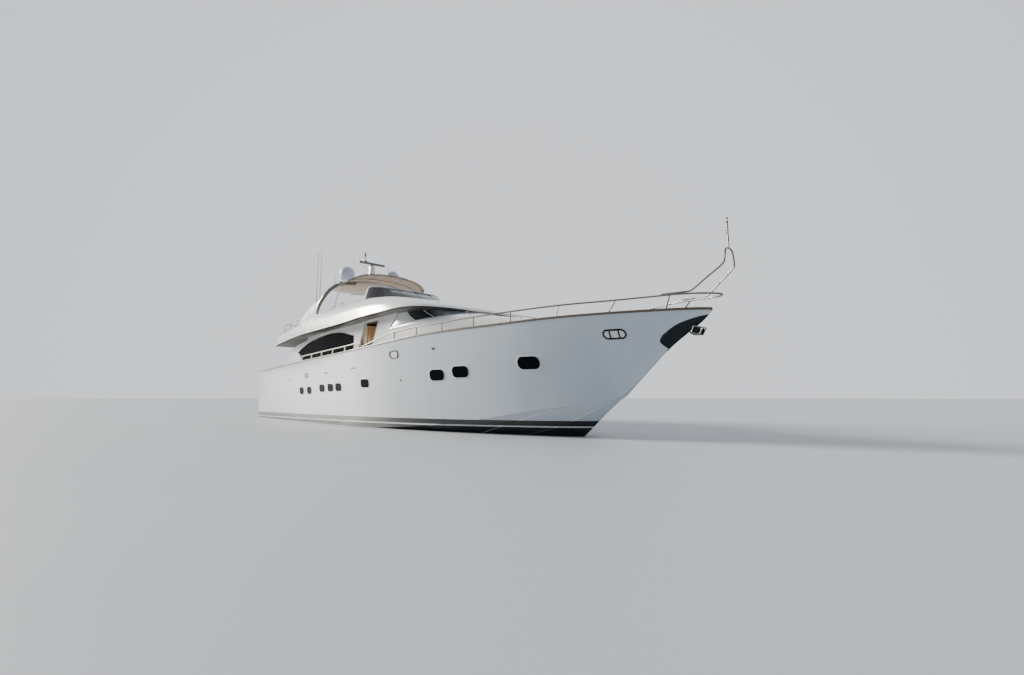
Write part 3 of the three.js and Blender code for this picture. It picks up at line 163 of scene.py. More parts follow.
def curve(points: Rows, steps: int, power: float = 0.25) -> np.ndarray:
    """Smooth curve through the points.

    Args:
        points: two or more points of any dimension.
        steps: pieces between each pair of points.
        power: half the exponent of the chord length; 0.25 is centripetal.

    Returns:
        The points of the curve.
    """
    p = np.array(points, dtype=float)
    p = np.vstack([2 * p[0] - p[1], p, 2 * p[-1] - p[-2]])
    out = [p[1]]
    for i in range(1, len(p) - 2):
        knots = [0.0]
        for a, b in zip(p[i - 1:i + 2], p[i:i + 3]):
            knots.append(knots[-1] + max(float(np.dot(b - a, b - a)) ** power, 1e-6))
        t0, t1, t2, t3 = knots
        for t in np.linspace(t1, t2, steps + 1)[1:]:
            a1 = (t1 - t) / (t1 - t0) * p[i - 1] + (t - t0) / (t1 - t0) * p[i]
            a2 = (t2 - t) / (t2 - t1) * p[i] + (t - t1) / (t2 - t1) * p[i + 1]
            a3 = (t3 - t) / (t3 - t2) * p[i + 1] + (t - t2) / (t3 - t2) * p[i + 2]
            b1 = (t2 - t) / (t2 - t0) * a1 + (t - t0) / (t2 - t0) * a2
            b2 = (t3 - t) / (t3 - t1) * a2 + (t - t1) / (t3 - t1) * a3
            out.append((t2 - t) / (t2 - t1) * b1 + (t - t1) / (t2 - t1) * b2)
    return np.array(out)


# ---- meshes


class Form:
    """Loose vertices and faces that become one mesh."""

    def __init__(self) -> None:
        """Starts empty."""
        self.verts: list[Triple] = []
        self.faces: list[tuple[int, ...]] = []
        self.paints: list[int] = []

    def add(self, verts: Iterable[Point], faces: Iterable[Sequence[int]], paint: int = 0) -> "Form":
        """Adds faces over their own vertices.

        Args:
            verts: vertices.
            faces: indices into verts.
            paint: which of the piece's finishes they carry.

        Returns:
            This form.
        """
        base = len(self.verts)
        self.verts += [tuple(float(c) for c in v) for v in verts]
        for face in faces:
            self.faces.append(tuple(base + i for i in face))
            self.paints.append(paint)
        return self

    def loft(self, rings: Sequence[Rows], paint: int = 0, caps: bool = True) -> "Form":
        """Adds a skin over closed rings of points, with a flat cap at each end.

        Args:
            rings: rings with as many points each.
            paint: which finish it carries.
            caps: False leaves the ends open.

        Returns:
            This form.
        """
        rings = np.asarray(rings, dtype=float)
        n, m = rings.shape[:2]
        faces = [(i * m + j, i * m + (j + 1) % m, (i + 1) * m + (j + 1) % m, (i + 1) * m + j)
                 for i in range(n - 1) for j in range(m)]
        if caps:
            faces += [tuple(range(m))[::-1], tuple((n - 1) * m + j for j in range(m))]
        return self.add(rings.reshape(-1, 3), faces, paint)

    def grid(self, points: np.ndarray) -> "Form":
        """Adds an open sheet over a grid of points.

        Args:
            points: rows of points.

        Returns:
            This form.
        """
        n, m = points.shape[:2]
        faces = [(i * m + j, i * m + j + 1, (i + 1) * m + j + 1, (i + 1) * m + j)
                 for i in range(n - 1) for j in range(m - 1)]
        return self.add(points.reshape(-1, 3), faces)

    def tube(self, points: Rows, radius: float, sides: int = 10, taper: float = 1.0) -> "Form":
        """Adds a round bar along points.

        Args:
            points: the centre line.
            radius: its radius.
            sides: faces round it.
            taper: radius at the far end over that at the start.

        Returns:
            This form.
        """
        line = np.array(points, dtype=float)
        tangent = np.gradient(line, axis=0)
        tangent /= np.linalg.norm(tangent, axis=1)[:, None]
        up = np.array([0.0, 0.0, 1.0]) if abs(tangent[0][2]) < 0.9 else np.array([1.0, 0.0, 0.0])
        angle = np.linspace(0, 2 * math.pi, sides, endpoint=False)[:, None]
        rings = []
        for i, (p, t) in enumerate(zip(line, tangent)):
            up = up - np.dot(up, t) * t
            up /= np.linalg.norm(up)
            r = radius * mix(1, taper, i / (len(line) - 1))
            rings.append(p + r * (np.cos(angle) * np.cross(t, up) + np.sin(angle) * up))
        return self.loft(rings)

    def rod(self, a: Point, b: Point, radius: float, sides: int = 10) -> "Form":
        """Adds a straight round bar."""
        return self.tube([a, b], radius, sides)

    def bars(self, points: Rows, y: float, radius: float, sides: int) -> "Form":
        """Adds straight bars from point to point of an XZ line that stands at y."""
        for a, b in zip(points, points[1:]):
            self.rod((a[0], y, a[1]), (b[0], y, b[1]), radius, sides)
        return self

    def lathe(self, profile: Rows, centre: Point, sides: int = 32, axis: str = "z") -> "Form":
        """Adds a turned shape.

        Args:
            profile: [radius, height] pairs that start and end on the axis.
            centre: where height 0 of the axis is.
            sides: faces round it.
            axis: z or x, the axis that it turns about.

        Returns:
            This form.
        """
        angle = np.linspace(0, 2 * math.pi, sides, endpoint=False)
        order = {"z": [0, 1, 2], "x": [1, 2, 0]}[axis]
        rings = np.zeros((len(profile), sides, 3))
        for ring, (r, h) in zip(rings, profile):
            ring[:, order[:2]] = np.stack([r * np.cos(angle), r * np.sin(angle)], axis=1)
            ring[:, order[2]] = h
        return self.loft(rings + np.array(centre, dtype=float), caps=False)

    def prism(self, outline: Rows, low: float, high: float, axis: str = "y") -> "Form":
        """Adds an outline drawn out along an axis: XZ along y, or XY along z.

        Args:
            outline: its points.
            low: where it starts.
            high: where it ends.
            axis: y or z.

        Returns:
            This form.
        """
        order = {"y": [0, 2, 1], "z": [0, 1, 2]}[axis]
        rings = np.zeros((2, len(outline), 3))
        for ring, level in zip(rings, (low, high)):
            ring[:, order[:2]] = outline
            ring[:, order[2]] = level
        return self.loft(rings)

    def block(self, low: Point, high: Point) -> "Form":
        """Adds a box between two corners."""
        (x0, y0, z0), (x1, y1, z1) = low, high
        return self.prism([(x0, y0), (x1, y0), (x1, y1), (x0, y1)], z0, z1, "z")

    def mirrored(self) -> "Form":
        """This form and its reflection over the centreline."""
        return self.add([(x, -y, z) for x, y, z in self.verts], [face[::-1] for face in self.faces])

    def piece(self, name: str, *finishes: "Finish", sharp: float = 32.0, bevel: float = 0.0,
              segments: int = 2) -> Piece:
        """Makes the object.

        Args:
            name: its name.
            finishes: finishes that the paints count into.
            sharp: degrees past which an edge shows.
            bevel: width of the rounding on its edges.
            segments: faces across it.

        Returns:
            The object, with doubles merged and faces pointing out.
        """
        mesh = bpy.data.meshes.new(name)
        mesh.from_pydata(self.verts, [], self.faces)
        mesh.polygons.foreach_set("material_index", self.paints)
        obj = bpy.data.objects.new(name, mesh)
        bpy.context.scene.collection.objects.link(obj)
        for finish in finishes:
            mesh.materials.append(finish.material())
        bm = bmesh.new()
        bm.from_mesh(mesh)
        bmesh.ops.remove_doubles(bm, verts=bm.verts, dist=2e-5)
        bmesh.ops.dissolve_degenerate(bm, edges=bm.edges, dist=1e-6)
        bmesh.ops.recalc_face_normals(bm, faces=bm.faces)
        if bevel:
            edges = [e for e in bm.edges if e.is_manifold and e.calc_face_angle(0) > math.radians(28)]
            bmesh.ops.bevel(bm, geom=edges, offset=bevel, segments=segments, profile=0.6,
                            affect="EDGES", clamp_overlap=True)
        bm.to_mesh(mesh)
        bm.free()
        smooth(obj, sharp)
        return obj

    def put(self, slot: str, name: str, *finishes: "Finish", body: str = "yacht",
            nodes: Sequence[str] = (), **edges: float) -> Piece:
        """Makes the object, as piece does, and puts it on its body, as place does."""
        return place(self.piece(name, *finishes, **edges), slot, body, *nodes)


def smooth(obj: Piece, sharp: float = 32.0) -> None:
    """Smooth shading, with edges past an angle in degrees kept sharp."""
    obj.data.polygons.foreach_set("use_smooth", [True] * len(obj.data.polygons))
    obj.data.set_sharp_from_angle(angle=math.radians(sharp))


def settle(obj: Piece) -> None:
    """Takes an object's modifiers into its mesh.

    Args:
        obj: the object.
    """
    bpy.context.view_layer.update()
    graph = bpy.context.evaluated_depsgraph_get()
    mesh = bpy.data.meshes.new_from_object(obj.evaluated_get(graph))
    obj.modifiers.clear()
    obj.data = mesh


def carve(obj: Piece, *cutters: Form) -> None:
    """Cuts closed forms out of an object.

    Args:
        obj: the object.
        cutters: what is cut away.
    """
    tools = [cutter.piece("cutter") for cutter in cutters]
    for tool in tools:
        cutting = obj.modifiers.new("cut", "BOOLEAN")
        cutting.operation, cutting.solver, cutting.object = "DIFFERENCE", "EXACT", tool
    settle(obj)
    for tool in tools:
        bpy.data.objects.remove(tool)


def paint_faces(obj: Piece, rule: Callable[[Vector, Vector], int]) -> None:
    """Gives each face the finish that a rule picks from its centre and its normal."""
    for face in obj.data.polygons:
        face.material_index = rule(face.center, face.normal)


def rounded(width: float, height: float, corner: float, steps: int = 6) -> list[Pair]:
    """Outline of a rounded rectangle about the origin, anticlockwise.

    Args:
        width: its first size.
        height: its second size.
        corner: radius of its corners.
        steps: pieces in a corner.

    Returns:
        Its points.
    """
    out = []
    corner = min(corner, width / 2, height / 2)
    for k, (sx, sy) in enumerate(((1, 1), (-1, 1), (-1, -1), (1, -1))):
        for i in range(steps + 1):
            a = math.pi / 2 * (k + i / steps)
            out.append((sx * (width / 2 - corner) + corner * math.cos(a),
                        sy * (height / 2 - corner) + corner * math.sin(a)))
    return out


def place(obj: Piece, slot: str, body: str = "yacht", *nodes: str) -> Piece:
    """Puts a finished piece on its body.

    Args:
        obj: the piece.
        slot: not used.
        body: the body that it rides on.
        nodes: CAD nodes that it stands for.

    Returns:
        The piece.
    """
    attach(obj, body)
    if nodes:
        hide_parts(*nodes)
    LOG.info("%s on %s, %d faces", obj.name, body, len(obj.data.polygons))
    return obj


# ---- finishes


class Nodes:
    """A material's node tree while it is wired."""

    def __init__(self, name: str) -> None:
        """Starts a material with one shader.

        Args:
            name: the material's name.
        """
        self.material = bpy.data.materials.new(name)
        self.material.use_nodes = True
        self.tree = self.material.node_tree
        self.tree.nodes.clear()
        output = self.tree.nodes.new("ShaderNodeOutputMaterial")
        self.shader = self.tree.nodes.new("ShaderNodeBsdfPrincipled")
        self.tree.links.new(self.shader.outputs["BSDF"], output.inputs["Surface"])
        self.object = self.tree.nodes.new("ShaderNodeTexCoord").outputs["Object"]
        split = self.tree.nodes.new("ShaderNodeSeparateXYZ")
        self.tree.links.new(self.object, split.inputs[0])
        self.x, self.y, self.z = split.outputs

    def put(self, socket: Socket, value: object) -> None:
        """Links a socket's output to another, or sets its value.

        Args:
            socket: an input.
            value: an output, or the value.
        """
        if isinstance(value, Socket):
            self.tree.links.new(value, socket)
        elif isinstance(value, tuple) and len(value) == 3 and len(socket.default_value) == 4:
            socket.default_value = (*value, 1.0)
        else:
            socket.default_value = value

    def math(self, operation: str, a: object, b: object = 0.0, c: object = 0.0) -> Socket:
        """Result of a Math node.

        Args:
            operation: what it does.
            a: first value.
            b: second value.
            c: third value.

        Returns:
            Its output.
        """
        node = self.tree.nodes.new("ShaderNodeMath")
        node.operation = operation
        for socket, value in zip(node.inputs, (a, b, c)):
            self.put(socket, value)
        return node.outputs[0]

    def times(self, a: object, b: object) -> Socket:
        """Product of two values."""
        return self.math("MULTIPLY", a, b)

    def plus(self, a: object, b: object) -> Socket:
        """Sum of two values."""
        return self.math("ADD", a, b)

    def noise(self, scale: float, detail: float = 4.0, stretch: Point = (1, 1, 1),
              rough: float = 0.5, at: Socket | None = None) -> Socket:
        """Noise over the object's place, or over at.

        Args:
            scale: features per metre.
            detail: octaves.
            stretch: how much finer it runs along each axis.
            rough: weight of the fine octaves.
            at: other coordinates.

        Returns:
            Its value, from 0 to 1.
        """
        mapping = self.tree.nodes.new("ShaderNodeMapping")
        mapping.inputs["Scale"].default_value = tuple(stretch)
        self.put(mapping.inputs["Vector"], at or self.object)
        node = self.tree.nodes.new("ShaderNodeTexNoise")
        for name, value in (("Vector", mapping.outputs[0]), ("Scale", scale), ("Detail", detail),
                            ("Roughness", rough)):
            self.put(node.inputs[name], value)
        return node.outputs["Fac"]

    def ramp(self, value: object, low: float, high: float, a: float, b: float) -> Socket:
        """Value mapped from low..high to a..b and held at the ends.

        Args:
            value: what is mapped.
            low: value that gives a.
            high: value that gives b.
            a: result at low.
            b: result at high.

        Returns:
            Its output.
        """
        node = self.tree.nodes.new("ShaderNodeMapRange")
        for name, number in (("From Min", low), ("From Max", high), ("To Min", a), ("To Max", b)):
            node.inputs[name].default_value = number
        self.put(node.inputs["Value"], value)
        return node.outputs[0]

    def blend(self, value: object, a: object, b: object) -> Socket:
        """Colour between a and b.

        Args:
            value: share of b.
            a: first colour.
            b: second colour.

        Returns:
            Its output.
        """
        node = self.tree.nodes.new("ShaderNodeMix")
        node.data_type = "RGBA"
        colours = [s for s in node.inputs if s.type == "RGBA"]
        self.put(node.inputs[0], value)
        self.put(colours[0], a)
        self.put(colours[1], b)
        return next(s for s in node.outputs if s.type == "RGBA")

    def clouded(self, value: object, a: object, b: object) -> Socket:
        """Colour that drifts from a to b with a noise."""
        return self.blend(self.ramp(value, 0.35, 0.75, 0, 1), a, b)

    def bump(self, height: object, strength: float, distance: float) -> None:
        """Bumps the surface by a height.

        Args:
            height: the height.
            strength: how much of it shows.
            distance: metres for a height of 1.
        """
        node = self.tree.nodes.new("ShaderNodeBump")
        node.inputs["Strength"].default_value = strength
        node.inputs["Distance"].default_value = distance
        self.put(node.inputs["Height"], height)
        self.put(self.shader.inputs["Normal"], node.outputs[0])

    def set(self, **sockets: object) -> None:
        """Sets the shader's sockets: colour, metallic, rough, coat and the rest by short names.

        Args:
            sockets: values by short name.
        """
        names = {"colour": "Base Color", "metallic": "Metallic", "rough": "Roughness", "coat": "Coat Weight",
                 "coat_rough": "Coat Roughness", "sheen": "Sheen Weight", "sheen_rough": "Sheen Roughness",
                 "ior": "IOR", "clear": "Transmission Weight", "specular": "Specular IOR Level",
                 "glow": "Emission Strength", "glow_colour": "Emission Color"}
        for key, value in sockets.items():
            self.put(self.shader.inputs[names[key]], value)


MATERIALS: dict[str, bpy.types.Material] = {}


@dataclass(frozen=True)
class Finish:
    """A surface finish. Each kind wires its own nodes, once for each name."""

    name: str
    colour: Triple

    def wire(self, nodes: Nodes) -> None:
        """Wires the finish."""
        nodes.set(colour=self.colour)

    def tint(self, *factors: float) -> Triple:
        """The colour times one factor, or times one for each channel."""
        each = factors if len(factors) == 3 else factors * 3
        return tuple(min(1.0, c * k) for c, k in zip(self.colour, each))

    def material(self) -> bpy.types.Material:
        """The material, made the first time that it is asked for.

        Returns:
            The material.
        """
        if self.name not in MATERIALS:
            nodes = Nodes(self.name)
            self.wire(nodes)
            MATERIALS[self.name] = nodes.material
        return MATERIALS[self.name]


@dataclass(frozen=True)
class Gelcoat(Finish):
    """Glossy moulded skin with a faint waviness, soft soiling and fine pores."""

    rough: float = 0.16
    soil: float = 0.06

    def wire(self, nodes: Nodes) -> None:
        """Wires the gloss, the clouding and the waviness.

        Args:
            nodes: the material's nodes.
        """
        dull = self.tint(*((1 - self.soil) * w for w in (1.0, 0.99, 0.965)))
        nodes.set(colour=nodes.clouded(nodes.noise(0.55, 5.0, (1, 1, 1.6)), self.colour, dull),
                  rough=nodes.ramp(nodes.noise(3.0, 6.0), 0.3, 0.8, self.rough, self.rough + 0.12),
                  coat=0.5, coat_rough=0.06, specular=0.5)
        wave = nodes.plus(nodes.noise(1.1, 2.0), nodes.times(nodes.noise(60, 2.0), 0.02))
        nodes.bump(wave, 0.12, 0.02)


@dataclass(frozen=True)
class HullPaint(Gelcoat):
    """Topsides paint over a dark bottom, with a boot band and a thin line that rise to the bow."""

    band: Pair = (0.315, 0.0152)
    line: Pair = (0.085, 0.0185)
    line_width: float = 0.045
    bottom: Triple = (0.006, 0.007, 0.009)
    # forward: tint of the painted shade that the paint takes on towards the bow
    forward: Triple = (0.68, 0.76, 0.83)
    gloss: float = 0.6

    def wire(self, nodes: Nodes) -> None:
        """Wires the paint, the band, the line, the run-off marks above the water, and painted shade that
        turns the paint cooler and darker towards the bow.

        Args:
            nodes: the material's nodes.
        """
        run = nodes.plus(nodes.x, 12.4)
        top = nodes.math("MULTIPLY_ADD", run, self.band[1] * 0.5, self.band[0])
        foot = nodes.math("MULTIPLY_ADD", run, self.line[1] * 0.5, self.line[0])
        above = nodes.math("GREATER_THAN", nodes.z, top)
        offset = nodes.math("SUBTRACT", nodes.z, foot)
        on_line = nodes.math("LESS_THAN", nodes.math("ABSOLUTE", offset), self.line_width / 2)
        streak = nodes.noise(1.0, 5.0, (3.0, 1.0, 0.25))
        cloud = nodes.noise(0.35, 4.0, (1, 1, 2))
        worn = nodes.times(nodes.ramp(streak, 0.5, 0.85, 0, 1), nodes.ramp(nodes.z, 0.3, 2.4, 0.5, 0.08))
        shade = nodes.plus(worn, nodes.ramp(cloud, 0.4, 0.8, 0, 0.22))
        white = nodes.blend(shade, self.colour, self.tint(0.86, 0.84, 0.79))
        # painted shade: the paint blends towards the forward tint from amidships to the stem, where the flare
        # faces away from the light
        white = nodes.blend(nodes.ramp(nodes.x, -2.0, 12.5, 0.0, 0.92), white, self.tint(*self.forward))
        low = nodes.blend(on_line, self.bottom, (0.74, 0.75, 0.75))
        slime = nodes.ramp(nodes.noise(2.0, 6.0, (1, 1, 3)), 0.45, 0.8, 0, 1)
        slime = nodes.times(slime, nodes.math("LESS_THAN", nodes.z, 0.04))
        low = nodes.blend(slime, low, (0.03, 0.035, 0.025))
        nodes.set(colour=nodes.blend(above, low, white),
                  rough=nodes.ramp(nodes.noise(2.2, 5.0), 0.3, 0.8, 0.13, 0.26),
                  coat=self.gloss, coat_rough=0.05)
        wave = nodes.plus(nodes.noise(0.8, 2.0, (1, 1, 1.5)), nodes.times(nodes.noise(45, 2.0), 0.012))
        nodes.bump(wave, 0.14, 0.03)


@dataclass(frozen=True)
class TeakDeck(Finish):
    """Laid deck of narrow teak planks with black caulking, weathered to a silver brown."""

    plank: float = 0.055
    caulk: float = 0.006

    def wire(self, nodes: Nodes) -> None:
        """Wires the planks, their grain, each one's own tone and the caulking.

        Args:
            nodes: the material's nodes.
        """
        lane = nodes.math("FLOOR", nodes.math("DIVIDE", nodes.y, self.plank))
        butt = nodes.math("FLOOR", nodes.math("DIVIDE", nodes.math("MULTIPLY_ADD", lane, 0.73, nodes.x), 2.1))
        own = nodes.math("FRACT", nodes.times(nodes.math("SINE", nodes.math(
            "MULTIPLY_ADD", lane, 12.9898, nodes.times(butt, 4.1414))), 43758.5))
        grain = nodes.noise(9.0, 8.0, (1, 26, 26), 0.65)
        tone = nodes.math("MULTIPLY_ADD", own, 0.45, nodes.times(grain, 0.55))
        wood = nodes.blend(nodes.ramp(tone, 0.2, 0.8, 0, 1), self.tint(0.66), self.tint(1.28))
        seam = nodes.math("LESS_THAN", nodes.math("FLOORED_MODULO", nodes.y, self.plank), self.caulk)
        nodes.set(colour=nodes.blend(seam, wood, (0.02, 0.02, 0.02)),
                  rough=nodes.ramp(grain, 0.2, 0.8, 0.55, 0.78))
        nodes.bump(nodes.math("SUBTRACT", nodes.times(grain, 0.3), seam), 0.4, 0.002)


@dataclass(frozen=True)
class Wood(Finish):
    """Varnished timber with its grain along one axis."""

    along: str = "x"
    rough: float = 0.22

    def wire(self, nodes: Nodes) -> None:
        """Wires the grain, the pores and the varnish.

        Args:
            nodes: the material's nodes.
        """
        stretch = tuple(0.7 if axis == self.along else 14.0 for axis in "xyz")
        grain = nodes.noise(3.0, 8.0, stretch, 0.62)
        figure = nodes.noise(0.8, 3.0, tuple(min(s, 4.0) for s in stretch))
        tone = nodes.math("MULTIPLY_ADD", grain, 0.7, nodes.times(figure, 0.3))
        nodes.set(colour=nodes.blend(nodes.ramp(tone, 0.3, 0.7, 0, 1), self.tint(0.55), self.tint(1.35)),
                  rough=nodes.ramp(grain, 0.3, 0.8, self.rough, self.rough + 0.14), coat=0.35, coat_rough=0.1)
        nodes.bump(grain, 0.15, 0.001)


@dataclass(frozen=True)
class Metal(Finish):
    """Polished or cast metal, with fine scratches and a little tarnish."""

    rough: float = 0.16
    tarnish: float = 0.15
    cast: float = 0.0

    def wire(self, nodes: Nodes) -> None:
        """Wires the polish, the scratches and the tarnish.

        Args:
            nodes: the material's nodes.
        """
        scratch = nodes.noise(30.0, 4.0, (1, 1, 9), 0.7)
        patch = nodes.noise(4.0, 5.0)
        colour = nodes.clouded(patch, self.colour, self.tint(1 - self.tarnish))
        worn = nodes.math("MULTIPLY_ADD", patch, 0.5, nodes.times(scratch, 0.5))
        nodes.set(colour=colour, metallic=1.0,
                  rough=nodes.ramp(worn, 0.3, 0.8, self.rough, self.rough + 0.16))
        grit = nodes.times(nodes.noise(90, 3.0), self.cast * 6)
        nodes.bump(nodes.plus(scratch, grit), 0.08 + self.cast, 0.0008)


@dataclass(frozen=True)
class Glass(Finish):
    """Tinted glass with a smooth face and faint smears."""

    clear: float = 0.35
    rough: float = 0.02
    ior: float = 1.4

    def wire(self, nodes: Nodes) -> None:
        """Wires the tint, the smears and the clearness.

        Args:
            nodes: the material's nodes.
        """
        smear = nodes.noise(1.4, 5.0, (1, 1, 2.4))
        nodes.set(colour=nodes.clouded(smear, self.colour, self.tint(0.7)),
                  rough=nodes.ramp(smear, 0.4, 0.9, self.rough, self.rough + 0.06),
                  clear=self.clear, ior=self.ior)
        nodes.bump(nodes.noise(0.9, 2.0), 0.05, 0.01)


@dataclass(frozen=True)
class SkyReflectGlass(Glass):
    """Windscreen glass with a painted pale reflection of the sky on its front panes."""

    # mesh: colour of the painted sky reflection on the front panes
    mesh: Triple = (0.88, 0.89, 0.91)
    panes: Pair = (1.55, 1.95)

    def wire(self, nodes: Nodes) -> None:
        """Wires the tint, the painted sky reflection between the outer mullions and the clearness.

        Args:
            nodes: the material's nodes.
        """
        # painted reflection: pale speckled colour on the panes ahead of x 4 and between the outer mullions,
        # named mesh and weave here
        weave = nodes.ramp(nodes.noise(60.0, 2.0), 0.35, 0.65, 0.92, 1.0)
        middle = nodes.ramp(nodes.math("ABSOLUTE", nodes.y), *self.panes, 1.0, 0.0)
        ahead = nodes.math("GREATER_THAN", nodes.x, 4.0)
        share = nodes.times(nodes.times(middle, weave), ahead)
        nodes.set(colour=nodes.blend(share, self.colour, self.mesh),
                  rough=nodes.ramp(nodes.noise(1.4, 5.0), 0.4, 0.9, self.rough, self.rough + 0.06),
                  clear=self.clear, ior=self.ior)


@dataclass(frozen=True)
class Cloth(Finish):
    """Woven outdoor fabric, with the weave on the piece's own UV map or on its place."""

    thread: float = 0.004
    on_uv: bool = False

    def wire(self, nodes: Nodes) -> None:
        """Wires the weave, the fading and the sheen.

        Args:
            nodes: the material's nodes.
        """
        at: Socket | None = None
        u, v = nodes.x, nodes.plus(nodes.y, nodes.z)
        if self.on_uv:
            uv = nodes.tree.nodes.new("ShaderNodeUVMap")
            uv.uv_map = "cut"
            split = nodes.tree.nodes.new("ShaderNodeSeparateXYZ")
            nodes.tree.links.new(uv.outputs[0], split.inputs[0])
            at, u, v = uv.outputs[0], split.outputs[0], split.outputs[1]
        turns = 2 * math.pi / self.thread
        weave = nodes.times(nodes.math("SINE", nodes.times(u, turns)),
                            nodes.math("SINE", nodes.times(v, turns)))
        fade = nodes.noise(1.3, 5.0, (1, 1, 1), 0.6, at)
        slub = nodes.noise(70.0, 3.0, (1, 6, 1), 0.6, at)
        tone = nodes.math("MULTIPLY_ADD", slub, 0.5, nodes.times(fade, 0.5))
        nodes.set(colour=nodes.blend(nodes.ramp(tone, 0.3, 0.7, 0, 1), self.tint(0.82), self.tint(1.14)),
                  rough=nodes.ramp(slub, 0.3, 0.7, 0.72, 0.9), sheen=0.25, sheen_rough=0.5)
        nodes.bump(nodes.math("MULTIPLY_ADD", weave, 0.5, slub), 0.3, 0.0012)


@dataclass(frozen=True)
class Moulding(Finish):
    """Satin plastic or rubber with a fine pebble."""

    rough: float = 0.4
    pebble: float = 0.06

    def wire(self, nodes: Nodes) -> None:
        """Wires the pebble and the uneven dulling.

        Args:
            nodes: the material's nodes.
        """
        patch = nodes.noise(2.5, 4.0)
        nodes.set(colour=nodes.clouded(patch, self.colour, self.tint(0.88)),
                  rough=nodes.ramp(patch, 0.3, 0.8, self.rough, self.rough + 0.12))
        nodes.bump(nodes.noise(140.0, 2.0), self.pebble, 0.0006)


@dataclass(frozen=True)
class Lens(Finish):
    """Lamp lens with moulded ribs."""

    def wire(self, nodes: Nodes) -> None:
        """Wires the ribs, the tint and a little glow.

        Args:
            nodes: the material's nodes.
        """
        ribs = nodes.math("SINE", nodes.times(nodes.z, 900.0))
        shade = nodes.blend(nodes.ramp(ribs, -1, 1, 0, 1), self.tint(0.75), self.colour)
        nodes.set(colour=shade, rough=0.12, coat=0.6, glow_colour=shade, glow=0.15)
        nodes.bump(ribs, 0.3, 0.001)


WHITE = Gelcoat("gelcoat_white", (0.8, 0.8, 0.785))
MOULDED = Gelcoat("gelcoat_satin", (0.74, 0.73, 0.7), rough=0.34, soil=0.1)
TOPSIDES = HullPaint("topsides_paint", (0.73, 0.75, 0.77))
# forward here gives the spray rails a light painted shade towards the bow
STRAKE_PAINT = HullPaint("strake_paint", (0.8, 0.8, 0.785), forward=(0.95, 0.97, 1.0), gloss=0.0)
CREAM = Gelcoat("rail_cream", (0.72, 0.66, 0.53), rough=0.28)
DECK = TeakDeck("teak_deck", (0.42, 0.29, 0.17))
RAIL_TEAK = Wood("teak_rail", (0.1, 0.072, 0.045), rough=0.38)
TABLE_TEAK = Wood("teak_table", (0.4, 0.24, 0.12), along="x", rough=0.3)
DARK_WOOD = Wood("joinery_dark", (0.115, 0.062, 0.03), along="z", rough=0.2)
STAINLESS = Metal("stainless", (0.25, 0.24, 0.225), rough=0.28)
PLATE_STEEL = Metal("plate_dark", (0.024, 0.03, 0.034), rough=0.16, tarnish=0.35)
BRONZE = Metal("bronze_cast", (0.36, 0.24, 0.11), rough=0.34, tarnish=0.3, cast=0.12)
DARK_GLASS = Glass("glass_dark", (0.006, 0.007, 0.008), clear=0.03, ior=1.07)
SMOKE_GLASS = Glass("glass_smoke", (0.07, 0.07, 0.085), clear=0.6)
# windscreen glass with a painted sky reflection on its front panes
SCREEN_GLASS = SkyReflectGlass("glass_screen", (0.03, 0.033, 0.04), clear=0.1, ior=1.8)
CASING_WOOD = Wood("casing_wood", (0.44, 0.29, 0.16), along="z", rough=0.35)
DOOR_WOOD = Wood("door_wood", (0.25, 0.165, 0.095), along="z", rough=0.3)
CANVAS = Cloth("canopy_canvas", (0.7, 0.655, 0.62), thread=0.012, on_uv=True)
SAND_CLOTH = Cloth("seat_cloth", (0.62, 0.55, 0.44), thread=0.008)
SUN_CLOTH = Cloth("sunpad_cloth", (0.7, 0.67, 0.6), thread=0.008)
RUBBER = Moulding("rubber_black", (0.012, 0.012, 0.013), rough=0.5)
GREY_TRIM = Moulding("trim_grey", (0.16, 0.165, 0.17), rough=0.38)
DOME_SKIN = Moulding("dome_skin", (0.6, 0.6, 0.72), rough=0.34, pebble=0.02)
# painted shade: a dark lining that stands for the shade under the flybridge overhang
SOFFIT_SHADE = Moulding("soffit_painted_shade", (0.1, 0.098, 0.082), rough=0.3)
# painted shade: darker tone for the forward faces of the arch's legs, where shade falls
ARCH_FORE_SHADE = Moulding("arch_fore_shade", (0.23, 0.205, 0.17), rough=0.35)
AERIAL = Moulding("aerial_tan", (0.34, 0.31, 0.26), rough=0.35)
SCREEN_BLACK = Moulding("screen_black", (0.01, 0.012, 0.016), rough=0.12, pebble=0.0)
CLEAR_LENS = Lens("lens_clear", (0.75, 0.76, 0.74))


# ---- things that repeat


